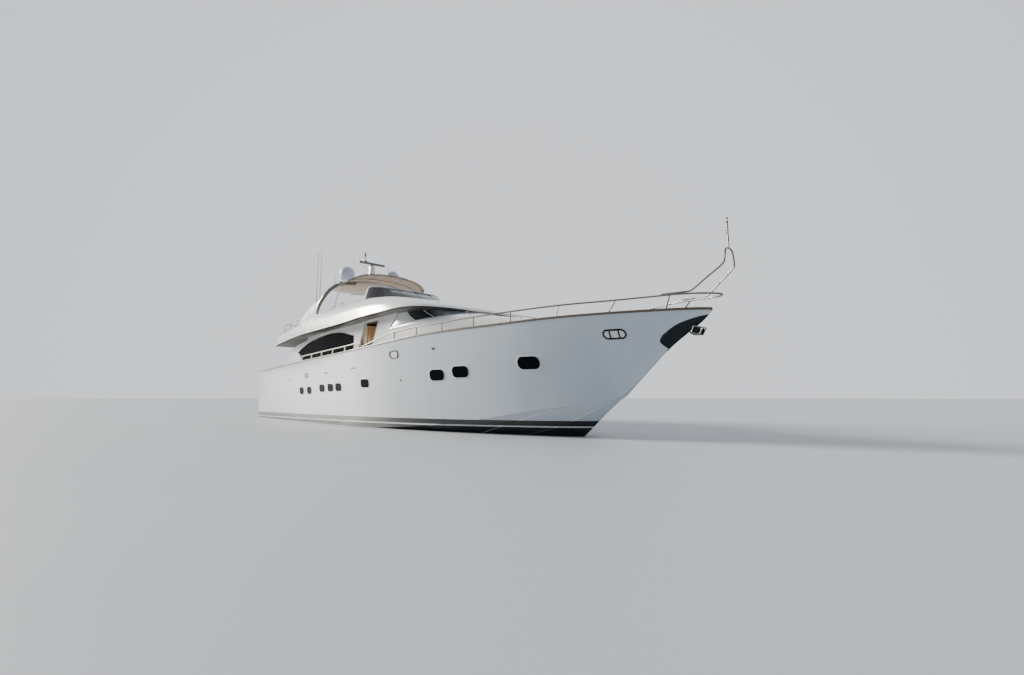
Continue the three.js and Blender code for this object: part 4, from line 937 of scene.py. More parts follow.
class Repeater:
    """Small turned heads or short bars that Geometry Nodes set out on places with directions."""

    def __init__(self, name: str, sides: int = 12) -> None:
        """Builds the tree.

        Args:
            name: the tree's name.
            sides: faces round each one.
        """
        self.tree = bpy.data.node_groups.new(name, "GeometryNodeTree")
        face = self.tree.interface
        face.new_socket("Geometry", in_out="INPUT", socket_type="NodeSocketGeometry")
        self.sockets = {}
        for label, kind, value in (("Radius", "Float", 0.01), ("Height", "Float", 0.01),
                                   ("Taper", "Float", 0.8), ("Seed", "Int", SEED),
                                   ("Finish", "Material", None)):
            socket = face.new_socket(label, in_out="INPUT", socket_type=f"NodeSocket{kind}")
            socket.default_value = value
            self.sockets[label] = socket.identifier
        face.new_socket("Geometry", in_out="OUTPUT", socket_type="NodeSocketGeometry")
        kinds = {"source": "NodeGroupInput", "sink": "NodeGroupOutput", "cone": "GeometryNodeMeshCone",
                 "spread": "GeometryNodeInstanceOnPoints", "top": "ShaderNodeMath",
                 "out": "GeometryNodeInputNamedAttribute", "align": "FunctionNodeAlignRotationToVector",
                 "turn": "FunctionNodeRandomValue", "real": "GeometryNodeRealizeInstances",
                 "coat": "GeometryNodeSetMaterial"}
        made = {key: self.tree.nodes.new(kind) for key, kind in kinds.items()}
        made["cone"].inputs["Vertices"].default_value = sides
        made["top"].operation, made["align"].axis = "MULTIPLY", "Z"
        made["out"].data_type, made["turn"].data_type = "FLOAT_VECTOR", "FLOAT"
        made["out"].inputs["Name"].default_value = "out"
        least, most = [s for s in made["turn"].inputs if s.enabled][:2]
        least.default_value, most.default_value = 0.96, 1.04
        link = self.tree.links.new
        for start, label, end, into in (
                ("source", "Radius", "top", 0), ("source", "Taper", "top", 1),
                ("top", 0, "cone", "Radius Top"), ("source", "Radius", "cone", "Radius Bottom"),
                ("source", "Height", "cone", "Depth"), ("out", "Attribute", "align", "Vector"),
                ("source", "Seed", "turn", "Seed"),
                ("source", "Geometry", "spread", "Points"), ("cone", "Mesh", "spread", "Instance"),
                ("align", "Rotation", "spread", "Rotation"), ("spread", "Instances", "real", "Geometry"),
                ("real", "Geometry", "coat", "Geometry"), ("source", "Finish", "coat", "Material"),
                ("coat", "Geometry", "sink", 0)):
            link(made[start].outputs[label], made[end].inputs[into])
        link(next(s for s in made["turn"].outputs if s.enabled), made["spread"].inputs["Scale"])

    def set_out(self, name: str, places: Spots, radius: float, height: float,
                finish: Finish, taper: float = 0.8) -> Piece:
        """Sets heads on places.

        Args:
            name: the piece's name.
            places: pairs of a foot and the direction that the head points in.
            radius: its radius at the foot.
            height: its height.
            finish: its finish.
            taper: radius at the top over that at the foot.

        Returns:
            A plain mesh object.
        """
        mesh = bpy.data.meshes.new(name)
        mesh.from_pydata([tuple(float(c) for c in p) for p, _ in places], [], [])
        out = mesh.attributes.new("out", "FLOAT_VECTOR", "POINT")
        out.data.foreach_set("vector", [float(c) for _, d in places for c in d])
        obj = bpy.data.objects.new(name, mesh)
        bpy.context.scene.collection.objects.link(obj)
        grow = obj.modifiers.new("heads", "NODES")
        grow.node_group = self.tree
        for label, value in (("Radius", radius), ("Height", height), ("Taper", taper), ("Seed", SEED)):
            grow[self.sockets[label]] = value
        grow[self.sockets["Finish"]] = finish.material()
        settle(obj)
        smooth(obj, 40)
        return obj


# ---- the hull


@dataclass
class Hull:
    """Hull with its decks and bulwarks in one skin, drawn from the lines plan."""

    transom_x: float = -12.43
    side_inner: float = 3.005
    side_x: float = 1.0
    foredeck_z: float = 2.75
    stem_head: float = 14.38
    wall: float = 0.06
    bow_x: float = 13.19
    topside_steps: int = 16
    stair_y: Pair = (1.95, 2.65)
    shaft_y: float = 1.35
    stair_foot: float = 0.38
    stair_rise: float = 1.77 / 7
    stair_run: float = 0.25
    treads: int = 6
    garage: Ends = ((-12.6, -1.6, 0.7), (-9.6, 1.6, 1.9))
    gangway: Ends = ((-12.6, -0.268, 1.9847), (-10.092, 0.268, 2.083))
    locker: Ends = ((11.25, -0.25, 2.4), (11.75, 0.25, 2.9))

    def __post_init__(self) -> None:
        """Reads the lines plan; flare is in thousandths."""
        self.lines = Lines("x keel_z chine_y chine_z sheer_y sheer_z flare flat", [
            (-12430, -900, 2835, -120, 3065, 2710, 650, 60),
            (-10850, -1000, 2870, -130, 3250, 2670, 650, 60),
            (-6750, -1120, 2910, -130, 3300, 2830, 650, 60),
            (-3000, -1180, 2880, -110, 3300, 2950, 650, 60),
            (0, -1200, 2800, -60, 3280, 3045, 700, 60),
            (2500, -1190, 2640, 40, 3150, 3170, 750, 60),
            (5000, -1130, 2340, 200, 2870, 3330, 850, 58),
            (7000, -980, 1960, 420, 2520, 3400, 950, 54),
            (8600, -740, 1560, 680, 2150, 3430, 1100, 48),
            (9600, -380, 1190, 840, 1880, 3460, 1200, 40),
            (10200, 15, 930, 920, 1680, 3480, 1250, 34),
            (10900, 600, 560, 1020, 1440, 3490, 1300, 24),
            (11540, 1110, 165, 1165, 1210, 3490, 1250, 12),
            (12140, 1590, 62, 1615, 975, 3490, 1150, 6),
            (12700, 2090, 42, 2108, 740, 3485, 1100, 5),
            (13190, 2520, 34, 2533, 520, 3480, 1050, 4),
            (13700, 2870, 28, 2883, 300, 3470, 1000, 3),
            (14140, 3160, 22, 3170, 120, 3450, 1000, 2),
            (14380, 3370, 14, 3378, 32, 3425, 1000, 1)])
        self.ramp = [(2.5, 2.15), (6.0, 2.45), (9.0, self.foredeck_z)]

    def deck(self, x: float) -> float:
        """Height of the side deck and foredeck."""
        if x > self.bow_x:
            return self.lines.at("sheer_z", x)
        return float(np.interp(x, [p[0] for p in self.ramp], [p[1] for p in self.ramp]))

    def half(self, x: float) -> list[Pair]:
        """Half section from the keel to the sheer, as breadths and heights.

        Args:
            x: place along the boat.

        Returns:
            Its points.
        """
        r = self.lines.row(x)
        keel, cy, cz = r["keel_z"], r["chine_y"], r["chine_z"]
        points = [(0.0, keel), (cy * 0.25, mix(keel, cz, 0.23)), (cy * 0.5, mix(keel, cz, 0.46)),
                  (cy * 0.75, mix(keel, cz, 0.73)), (cy - r["flat"], cz - r["flat"] * 0.15), (cy, cz)]
        for i in range(1, self.topside_steps + 1):
            t = i / self.topside_steps
            points.append((mix(cy, r["sheer_y"], t ** r["flare"]), mix(cz, r["sheer_z"], t)))
        return points

    def breadth(self, x: float, z: float) -> float:
        """Half breadth of the skin at a place and a height.

        Args:
            x: place along the boat.
            z: height.

        Returns:
            The half breadth.
        """
        r = self.lines.row(x)
        if z >= r["chine_z"]:
            t = min((z - r["chine_z"]) / (r["sheer_z"] - r["chine_z"]), 1.0)
            return mix(r["chine_y"], r["sheer_y"], t ** r["flare"])
        points = self.half(x)[:6]
        return float(np.interp(z, [p[1] for p in points], [p[0] for p in points]))

    def on_skin(self, x: float, z: float, side: Side, out: float = 0.0) -> np.ndarray:
        """Point of the skin, or one that stands off it.

        Args:
            x: place along the hull.
            z: height.
            side: which side.
            out: distance off the skin.

        Returns:
            The point.
        """
        y = self.breadth(x, z)
        return np.array([x, y * side.value, z]) + out * self.normal(x, z, side)

    def normal(self, x: float, z: float, side: Side) -> np.ndarray:
        """Direction out of the skin.

        Args:
            x: place along the boat.
            z: height.
            side: which side.

        Returns:
            A unit vector.
        """
        step = 0.02
        dx = (self.breadth(x + step, z) - self.breadth(x - step, z)) / (2 * step)
        dz = (self.breadth(x, z + step) - self.breadth(x, z - step)) / (2 * step)
        n = np.array([-dx, side.value, -dz])
        return n / np.linalg.norm(n)

    def stem_x(self, z: float) -> float:
        """Where the stem is at a height.

        Args:
            z: height.

        Returns:
            Its x.
        """
        low, high = 9.0, self.stem_head
        for _ in range(30):
            middle = (low + high) / 2
            low, high = (middle, high) if self.lines.at("keel_z", middle) < z else (low, middle)
        return low

    def inner(self, x: float) -> Pair:
        """Half breadths of the bulwark's inner face at the deck and at the sheer.

        Args:
            x: place along the boat.

        Returns:
            The two half breadths.
        """
        if x <= self.side_x:
            return self.side_inner, self.side_inner
        deck, sheer_z = min(self.deck(x), self.foredeck_z), self.lines.at("sheer_z", x)
        first = self.breadth(self.side_x, self.deck(self.side_x)) - self.side_inner
        wall = mix(first, self.wall, min((x - self.side_x) / 1.5, 1.0))
        low = max(self.breadth(x, deck) - wall, 0.01)
        high = max(self.lines.at("sheer_y", x) - wall, 0.012)
        top = mix(low, high, (sheer_z - deck) / (sheer_z + 0.2 - deck))
        return low, mix(self.side_inner, top, min(x - self.side_x, 1.0))

    def ring(self, x: float, deck: float) -> list[Point]:
        """Whole section: the skin, the bulwarks and the deck.

        Args:
            x: place along the boat.
            deck: height of the deck.

        Returns:
            Its points.
        """
        half = self.half(x)
        low, high = self.inner(x)
        half += [(high, half[-1][1]), (low, deck), (low * 0.5, deck), (0.0, deck)]
        starboard = [(x, -y, z) for y, z in half]
        port = [(x, y, z) for y, z in half[1:-1]][::-1]
        return starboard + port

    def stair_cut(self, side: Side) -> Form:
        """Room above the stern stairs of one side.

        Args:
            side: which side.

        Returns:
            A closed form.
        """
        outline = []
        for i in range(self.treads):
            z = self.stair_foot + self.stair_rise * (i + 1)
            start = self.transom_x - 0.2 if i == 0 else self.transom_x + self.stair_run * i
            outline += [(start, z), (self.transom_x + self.stair_run * (i + 1), z)]
        outline += [(outline[-1][0], 3.2), (outline[0][0], 3.2)]
        return Form().prism(outline, *side.span(*self.stair_y))

    def paint(self, at: Vector, n: Vector) -> int:
        """Finish of a face: 0 topsides paint, 1 laid teak, 2 moulded skin.

        Args:
            at: centre of the face.
            n: its normal.

        Returns:
            The finish's number.
        """
        tread = self.stair_y[0] - 0.01 < abs(at.y) < self.stair_y[1] + 0.01 and at.x < -10.8
        if n.z > 0.9 and at.x < self.bow_x and (tread or abs(at.z - self.deck(at.x)) < 0.03):
            return 1
        if n.x < -0.9 and at.x < self.transom_x + 0.01:
            return 0
        edge = self.breadth(at.x, at.z) if at.z < self.lines.at("sheer_z", at.x) - 0.001 else 99.0
        return 0 if abs(at.y) > edge - 0.02 or n.z < -0.3 else 2

    def build(self) -> None:
        """Makes the hull with its stairs, garage, gangway slot and locker cut out."""
        stops = [r for r in self.lines.x if r < 9.0]
        fore = [8.6] + [r for r in self.lines.x if r > 9.0]
        xs = spaced(stops, 0.4) + spaced(fore, 0.12)[1:]
        rings = []
        for x in sorted(set(xs) | {self.side_x, 2.0, 6.0, 9.0}):
            deck = min(self.deck(x), self.foredeck_z) if x <= self.bow_x else self.deck(x)
            rings.append(self.ring(x, deck))
            if abs(x - self.bow_x) < 1e-6:
                rings.append(self.ring(x + 0.0006, self.lines.at("sheer_z", x)))
        hull = Form().loft(rings).piece("hull_skin", TOPSIDES, DECK, MOULDED)
        boxes = [Form().block(*box) for box in (self.garage, self.gangway, self.locker)]
        carve(hull, *(self.stair_cut(side) for side in Side), *boxes)
        paint_faces(hull, self.paint)
        smooth(hull, 24)
        place(hull, "gelcoat", "yacht", "hull", "bulwark_side_port", "bulwark_side_stbd",
              "bulwark_fore_port", "bulwark_fore_stbd", "stem_block")
        bosses = Form()
        for side in Side:
            bosses.bars([(-7.6, -0.9035), (-5.4, -0.594)], self.shaft_y * side.value, 0.085, 24)
            bosses.bars([(-11.33, -0.66), (-11.33, -0.3)], self.shaft_y * side.value, 0.09, 24)
        bosses.put("gelcoat", "shaft_bosses", TOPSIDES)
        self.build_wall()
        self.build_strakes()

    def build_wall(self) -> None:
        """Makes the wall across the transom between the stairs, with its teak cap."""
        top = self.lines.at("sheer_z", self.transom_x)
        wall = Form().block((self.transom_x, -1.95, self.deck(0) + 0.0003), (-12.33, 1.95, top))
        wall.put("gelcoat", "transom_bulwark", MOULDED, nodes=["transom_wall"], bevel=0.012, segments=3)
        cap = Form().block((self.transom_x - 0.012, -1.97, top), (-12.3, 1.97, top + 0.034))
        cap.put("teak", "transom_cap", RAIL_TEAK, bevel=0.012, segments=3)

    def build_strakes(self) -> None:
        """Makes two spray rails along each side of the bottom, from amidships to the stem."""
        strakes = Form()
        for low, high, start, end in ((0.52, 0.59, 4.0, 11.3), (0.42, 0.96, 3.0, 9.9)):
            rings = []
            for x in spaced([start, end], 0.2):
                r = self.lines.row(x)
                share = mix(low, high, (x - start) / (end - start))
                rise = float(np.interp(share, (0, 0.25, 0.5, 0.75, 1), (0, 0.23, 0.46, 0.73, 1)))
                y, z = r["chine_y"] * share, mix(r["keel_z"], r["chine_z"], rise)
                fade = min(1.0, (x - start) / 0.5, (end - x) / 0.6) + 0.02
                rings.append([(x, y - 0.02, z), (x, y + 0.018 * fade, z - 0.022 * fade),
                              (x, y + 0.024 * fade, z - 0.01 * fade), (x, y + 0.012, z + 0.03)])
            strakes.loft(rings)
        strakes.mirrored().put("gelcoat", "spray_rails", STRAKE_PAINT, sharp=50)


@dataclass
class Caprail:
    """Varnished teak rail along the top of the bulwarks."""

    hull: Hull
    over: float = 0.015
    width: float = 0.12
    height: float = 0.05
    lip: float = 0.022

    def ring(self, x: float, side: Side) -> list[Point]:
        """Section of the rail: a plank with rounded edges.

        Args:
            x: place along the boat.
            side: which side.

        Returns:
            Its points.
        """
        r = self.hull.lines.row(x)
        outer = r["sheer_y"] + self.over
        inner = max(outer - self.width, 0.0)
        z, h = r["sheer_z"] + 0.0003, self.height
        e = min(0.012, (outer - inner) / 4)
        points = [(outer - 0.02, z - self.lip), (outer - 0.004, z - self.lip), (outer, z + h * 0.45),
                  (outer - e * 0.2, z + h * 0.8), (outer - e, z + h), (inner + e, z + h),
                  (inner, z + h * 0.75), (inner, z + h * 0.2), (inner + e, z)]
        return [(x, y * side.value, zz) for y, zz in points]

    def build(self) -> None:
        """Makes both sides and the pointed end over the stem."""
        xs = spaced(list(self.hull.lines.x), 0.2)
        rail = Form()
        for side in Side:
            rail.loft([self.ring(x, side) for x in xs])
        nose = self.hull.lines.row(self.hull.stem_head)
        edge = nose["sheer_y"] + self.over
        tip = [(14.37, -edge), (14.395, -edge * 0.6), (14.402, 0), (14.395, edge * 0.6), (14.37, edge)]
        z = nose["sheer_z"]
        rail.prism(tip, z - self.lip, z + self.height, "z")
        rail.put("teak", "teak_caprail", RAIL_TEAK, nodes=["caprail"], sharp=48)


class Light(Enum):
    """What shows inside a fitting of the topsides."""

    GLASS = "glass"
    CHROME = "chrome"
    SLOT = "slot"


@dataclass(frozen=True)
class Opening:
    """One fitting of the topsides: its middle, its size and its corner radius."""

    x: float
    z: float
    width: float
    height: float
    corner: float


OPENINGS: dict[Light, Rows] = {
    Light.GLASS: (
        (-4.84, 1.49, 0.5, 0.33, 0.15), (-3.89, 1.5, 0.5, 0.33, 0.15), (-2.39, 1.588, 0.54, 0.32, 0.11),
        (-1.5, 1.6, 0.54, 0.32, 0.11), (-0.71, 1.61, 0.54, 0.32, 0.11), (1.561, 1.735, 0.57, 0.32, 0.11),
        (5.824, 1.944, 0.66, 0.36, 0.15), (6.869, 2.026, 0.67, 0.36, 0.15), (9.371, 2.232, 0.68, 0.37, 0.16)),
    Light.CHROME: (
        (-4.187, 2.205, 0.29, 0.14, 0.06), (3.672, 2.757, 0.43, 0.21, 0.095),
        (11.93, 2.943, 0.535, 0.18, 0.089)),
    Light.SLOT: (
        (-1.86, 2.25, 0.36, 0.045, 0.022), (0.75, 2.36, 0.36, 0.045, 0.022), (-6.4, 2.09, 0.22, 0.05, 0.022),
        (-8.4, 2.025, 0.22, 0.05, 0.022), (5.8, 2.84, 0.16, 0.07, 0.03), (3.93, 1.8, 0.07, 0.07, 0.034),
        (-9.78, 2.135, 0.16, 0.05, 0.022)),
}


@dataclass
class Topsides:
    """Port lights, fairleads, hawse and scuppers of the topsides."""

    hull: Hull
    studs: Repeater
    rim: float = 0.022

    def loop(self, o: Opening, side: Side, grow: float, out: float, scale: float = 1.0) -> list[np.ndarray]:
        """The outline of an opening on the skin, grown, scaled about its middle and stood off.

        Args:
            o: the opening.
            side: which side.
            grow: how much wider it is on every side.
            out: distance off the skin.
            scale: size over the opening's own.

        Returns:
            Its points.
        """
        corner = max(o.corner + grow, 0.004)
        outline = rounded(o.width + 2 * grow, o.height + 2 * grow, corner)
        if side is Side.PORT:
            outline = outline[::-1]
        return [self.hull.on_skin(o.x + u * scale, o.z + v * scale, side, out) for u, v in outline]

    def rim_of(self, form: Form, o: Opening, side: Side, wide: float, high: float, paint: int = 0) -> None:
        """Adds a raised rounded rim round an opening.

        Args:
            form: the form that it is added to.
            o: the opening.
            side: which side.
            wide: its width.
            high: its height.
            paint: which finish it carries.
        """
        section = ((wide, -0.01), (wide, high * 0.5), (wide * 0.75, high), (wide * 0.3, high * 0.9),
                   (0.0, high * 0.4), (0.0, -0.01))
        rings = np.array([self.loop(o, side, grow, out) for grow, out in section]).transpose(1, 0, 2)
        form.loft(np.concatenate([rings, rings[:1]]), paint, caps=False)

    def plug(self, form: Form, o: Opening, side: Side, out: float, paint: int = 0) -> None:
        """Adds a closed pane that fills an opening."""
        steps = ((0.001, -0.012), (1.0, -0.012), (1.0, out), (0.7, out), (0.35, out), (0.001, out))
        form.loft([self.loop(o, side, 0.002, at, scale) for scale, at in steps], paint, caps=False)

    def build(self) -> None:
        """Makes every fitting of both sides."""
        for side in Side:
            rims, panes, slots, leads = Form(), Form(), Form(), Form()
            bolts: list[Ends] = []
            for o in (Opening(*row) for row in OPENINGS[Light.GLASS]):
                self.rim_of(rims, o, side, 0.03, 0.012)
                self.rim_of(rims, o, side, 0.01, 0.016, 1)
                self.plug(panes, o, side, 0.004)
            for o in (Opening(*row) for row in OPENINGS[Light.CHROME]):
                self.rim_of(leads, o, side, self.rim * 2.1, 0.026)
                # the plug inside each polished fitting is white gelcoat, a painted bright reflection of the
                # steel
                self.plug(leads, o, side, 0.003, 1)
                bolts += self.bolts(o, side)
                if o.x > 10:
                    self.rollers(leads, o, side)
            for o in (Opening(*row) for row in OPENINGS[Light.SLOT]):
                self.rim_of(slots, o, side, 0.008, 0.006)
                self.plug(slots, o, side, 0.002, 1)
            rims.put("gelcoat", f"port_light_rims_{side.tag}", WHITE, RUBBER, sharp=60)
            panes.put("tinted_glass", f"port_light_glass_{side.tag}", DARK_GLASS, sharp=60)
            slots.put("steel", f"scuppers_{side.tag}", STAINLESS, RUBBER, sharp=60)
            # second finish: white plugs that paint the fittings' bright reflection
            leads.put("steel", f"fairleads_{side.tag}", PLATE_STEEL, WHITE, sharp=60)
            heads = self.studs.set_out(f"fairlead_bolts_{side.tag}", bolts, 0.007, 0.008, STAINLESS)
            place(heads, "steel")

    def bolts(self, o: Opening, side: Side) -> list[Ends]:
        """Bolts round the rim of a fairlead."""
        loop = self.loop(o, side, self.rim * 0.65, 0.021)
        return [(point, self.hull.normal(o.x, o.z, side)) for point in loop[::3]]

    def rollers(self, form: Form, o: Opening, side: Side) -> None:
        """Adds the two upright rollers of a fairlead.

        Args:
            form: the form that they are added to.
            o: the fairlead's opening.
            side: which side.
        """
        for u in (-0.22, 0.22):
            x = o.x + u * o.width
            ends = [self.hull.on_skin(x, o.z + v * o.height, side, 0.006) for v in (-0.46, 0.46)]
            form.rod(*ends, 0.022, 14)


@dataclass
class AnchorPlate:
    """Dark polished plate wrapped round the stem, with the anchor roller's frame ahead of it."""

    hull: Hull
    thick: float = 0.009
    low: float = 2.44
    high: float = 3.3
    rows: int = 30
    columns: int = 20
    frame: tuple[Pair, ...] = ((13.93, 3.04), (14.17, 2.97), (14.07, 2.8), (13.86, 2.87))

    def aft_x(self, z: float) -> float:
        """Where the plate's swept aft edge is at a height."""
        edge = curve([(13.25, 2.44), (13.12, 2.53), (13.0, 2.68), (13.05, 2.8), (13.24, 2.95),
                      (13.507, 3.105), (13.876, 3.225), (14.155, 3.285), (14.33, 3.305)], 8)
        return float(np.interp(z, edge[:, 1], edge[:, 0]))

    def build(self) -> None:
        """Makes the plate and the frame."""
        sheets = []
        for out in (self.thick, -0.004):
            grid = []
            for i in range(self.rows + 1):
                z = mix(self.low, self.high, i / self.rows)
                aft, stem = self.aft_x(z), self.hull.stem_x(z)
                row = []
                for j in range(self.columns + 1):
                    x = mix(min(aft, stem - 0.01), stem, (j / self.columns) ** 0.8)
                    p = np.array([x, self.hull.breadth(x, z), z])
                    n = self.hull.normal(min(x, stem - 0.05), z, Side.PORT)
                    n = n if j < self.columns else np.array([0.8, 0.0, -0.6])
                    row.append(p * (1, 0 if j == self.columns else 1, 1) + out * n)
                grid.append(row)
            sheets.append(np.array(grid))
        outer, inner = [np.concatenate([s, (s * (1, -1, 1))[:, ::-1][:, 1:]], axis=1) for s in sheets]
        plate = Form().loft(np.concatenate([outer, inner[:, ::-1]], axis=1))
        plate.put("dark_steel", "stem_plate", PLATE_STEEL, nodes=["anchor_plate"], sharp=40)
        frame_bars = Form()
        for side in Side:
            frame_bars.bars(self.frame + self.frame[:1], 0.061 * 1.5 * side.value, 0.016, 12)
        for x, z in self.frame[1:]:
            frame_bars.rod((x, -0.095, z), (x, 0.095, z), 0.014, 12)
        frame_bars.put("steel", "roller_frame", STAINLESS, sharp=50)


# ---- the upper works


@dataclass
class FlyShell:
    """Flybridge moulding: the swept band over the side decks, its floor and the brow."""

    floor_z: float = 4.52
    wall: float = 0.09
    floor_in: float = 0.06
    well_x: Pair = (-9.7, -0.6)
    lip_turn: float = 0.12
    lip_rise: float = 0.02
    steps: int = 7

    def __post_init__(self) -> None:
        """Reads the lines of the underside, the coaming's top and the crown."""
        self.lines = Lines("x w zu wt zt zc", [
            (-10350, 2700, 4090, 2620, 4230, 4230), (-10100, 2880, 4060, 2780, 4350, 4350),
            (-9400, 3000, 4090, 2900, 4570, 4570), (-8300, 3060, 4140, 2930, 4700, 4700),
            (-7300, 3090, 4200, 2930, 4810, 4810), (-6300, 3100, 4260, 2900, 4960, 4960),
            (-5500, 3100, 4300, 2850, 5150, 5150), (-4700, 3100, 4315, 2800, 5240, 5240),
            (-2200, 3100, 4350, 2760, 5260, 5260), (0, 3100, 4400, 2740, 5300, 5300),
            (900, 3100, 4440, 2720, 5280, 5330), (2100, 3100, 4450, 2700, 5170, 5340),
            (3000, 3100, 4450, 2640, 5040, 5180), (3900, 3080, 4450, 2500, 4870, 4960),
            (4500, 2920, 4450, 2250, 4730, 4800), (4900, 2650, 4440, 1950, 4630, 4680),
            (5200, 2120, 4430, 1500, 4550, 4580), (5380, 1560, 4420, 1000, 4500, 4520),
            (5470, 900, 4410, 500, 4460, 4470)])

    def section(self, x: float, shrink: float = 0.0) -> list[Point]:
        """Closed section: flat underside, turned lip, rounded side and crowned top.

        Args:
            x: place along the boat.
            shrink: how much smaller it is all round.

        Returns:
            Its points.
        """
        r = self.lines.row(x)
        zu, zt, zc = r["zu"] + shrink, r["zt"] - shrink, r["zc"] - shrink
        w, wt = r["w"] - shrink, r["wt"] - shrink
        lip = (w, zu + min(self.lip_rise, (zt - zu) * 0.4))
        guide = [lip, (mix(w, wt, 0.12), mix(zu, zt, 0.33)), (mix(w, wt, 0.3), mix(zu, zt, 0.62)),
                 (wt, zt), (wt * 0.55, mix(zt, zc, 0.75)), (0.0, zc), (-wt * 0.55, mix(zt, zc, 0.75))]
        half = [(w - self.lip_turn, zu)] + [tuple(p) for p in curve(guide, self.steps)[:self.steps * 5 + 1]]
        starboard = [(x, -y, z) for y, z in half]
        port = [(x, y, z) for y, z in half[:-1]][::-1]
        return starboard + port

    def top(self, x: float) -> float:
        """Height of the coaming's top."""
        return self.lines.at("zt", x)

    def half_top(self, x: float) -> float:
        """Half breadth of the coaming's top."""
        return self.lines.at("wt", x)

    def build(self) -> None:
        """Makes the moulding with its well, its helm recess and its hatch."""
        xs = spaced(list(self.lines.x[:13]), 0.3) + spaced(list(self.lines.x[12:]), 0.09)[1:]
        rings = [self.section(x) for x in xs]
        first, last = np.array(self.section(xs[0], 0.035)), np.array(self.section(xs[-1], 0.012))
        rings = [first - (0.03, 0, 0)] + rings + [last + (0.008, 0, 0)]
        shell = Form().loft(rings).piece("fly_moulding", WHITE, DECK, SOFFIT_SHADE)
        well = []
        for x in spaced([self.well_x[0], -8.3, -5.5, -2.2, self.well_x[1]], 0.3):
            high = self.half_top(x) - self.wall
            low, top = high - self.floor_in, self.top(x) + 0.4
            well.append([(x, -low, self.floor_z), (x, -high, top), (x, high, top), (x, low, self.floor_z)])
        helm = Form().block((-0.65, -2.0, self.floor_z), (0.3, 2.0, 6.0))
        hatch = Form().block((-8.43, 1.07, 3.9), (-6.82, 1.93, 4.8))
        carve(shell, Form().loft(well), helm, hatch)
        # faces that look down (n.z < -0.5) get the painted shade of the underside
        paint_faces(shell, lambda at, n: 1 if n.z > 0.9 and abs(at.z - self.floor_z) < 0.02
                    else 2 if n.z < -0.5 else 0)
        smooth(shell, 30)
        place(shell, "gelcoat", "yacht", "fly_shell")
        self.build_trim()

    def build_trim(self) -> None:
        """Makes the coaming handrails and a black bead under the brow's lip that stands for the shadow line
        there.
        """
        rail, edges = Form(), Form()
        for side in Side:
            s = side.value
            line = [(-2.75, s * (self.half_top(-2.75) - 0.05), self.top(-2.75) + 0.02),
                    (-2.62, s * (self.half_top(-2.6) - 0.05), self.top(-2.6) + 0.15),
                    (-1.6, s * (self.half_top(-1.6) - 0.05), self.top(-1.6) + 0.3),
                    (-0.75, s * (self.half_top(-0.75) - 0.06), self.top(-0.75) + 0.42),
                    (-0.62, s * 2.22, self.top(-0.6) + 0.44)]
            rail.tube(curve(line, 8), 0.014, 12)
            x, y, z = line[2]
            rail.rod((x, y, self.top(x) - 0.02), (x, y, z), 0.011, 12)
            # painted shadow: black bead along the underside of the lip, a dark line where the brow's shadow
            # falls
            edges.tube([(x, s * (self.lines.at("w", x) - 0.1), self.lines.at("zu", x) - 0.004)
                        for x in spaced([-9.8, 5.2], 0.35)], 0.008, 6)
        rail.put("steel", "coaming_rails", STAINLESS, sharp=60)
        edges.put("dark_steel", "brow_shadow_bead", RUBBER, sharp=60)


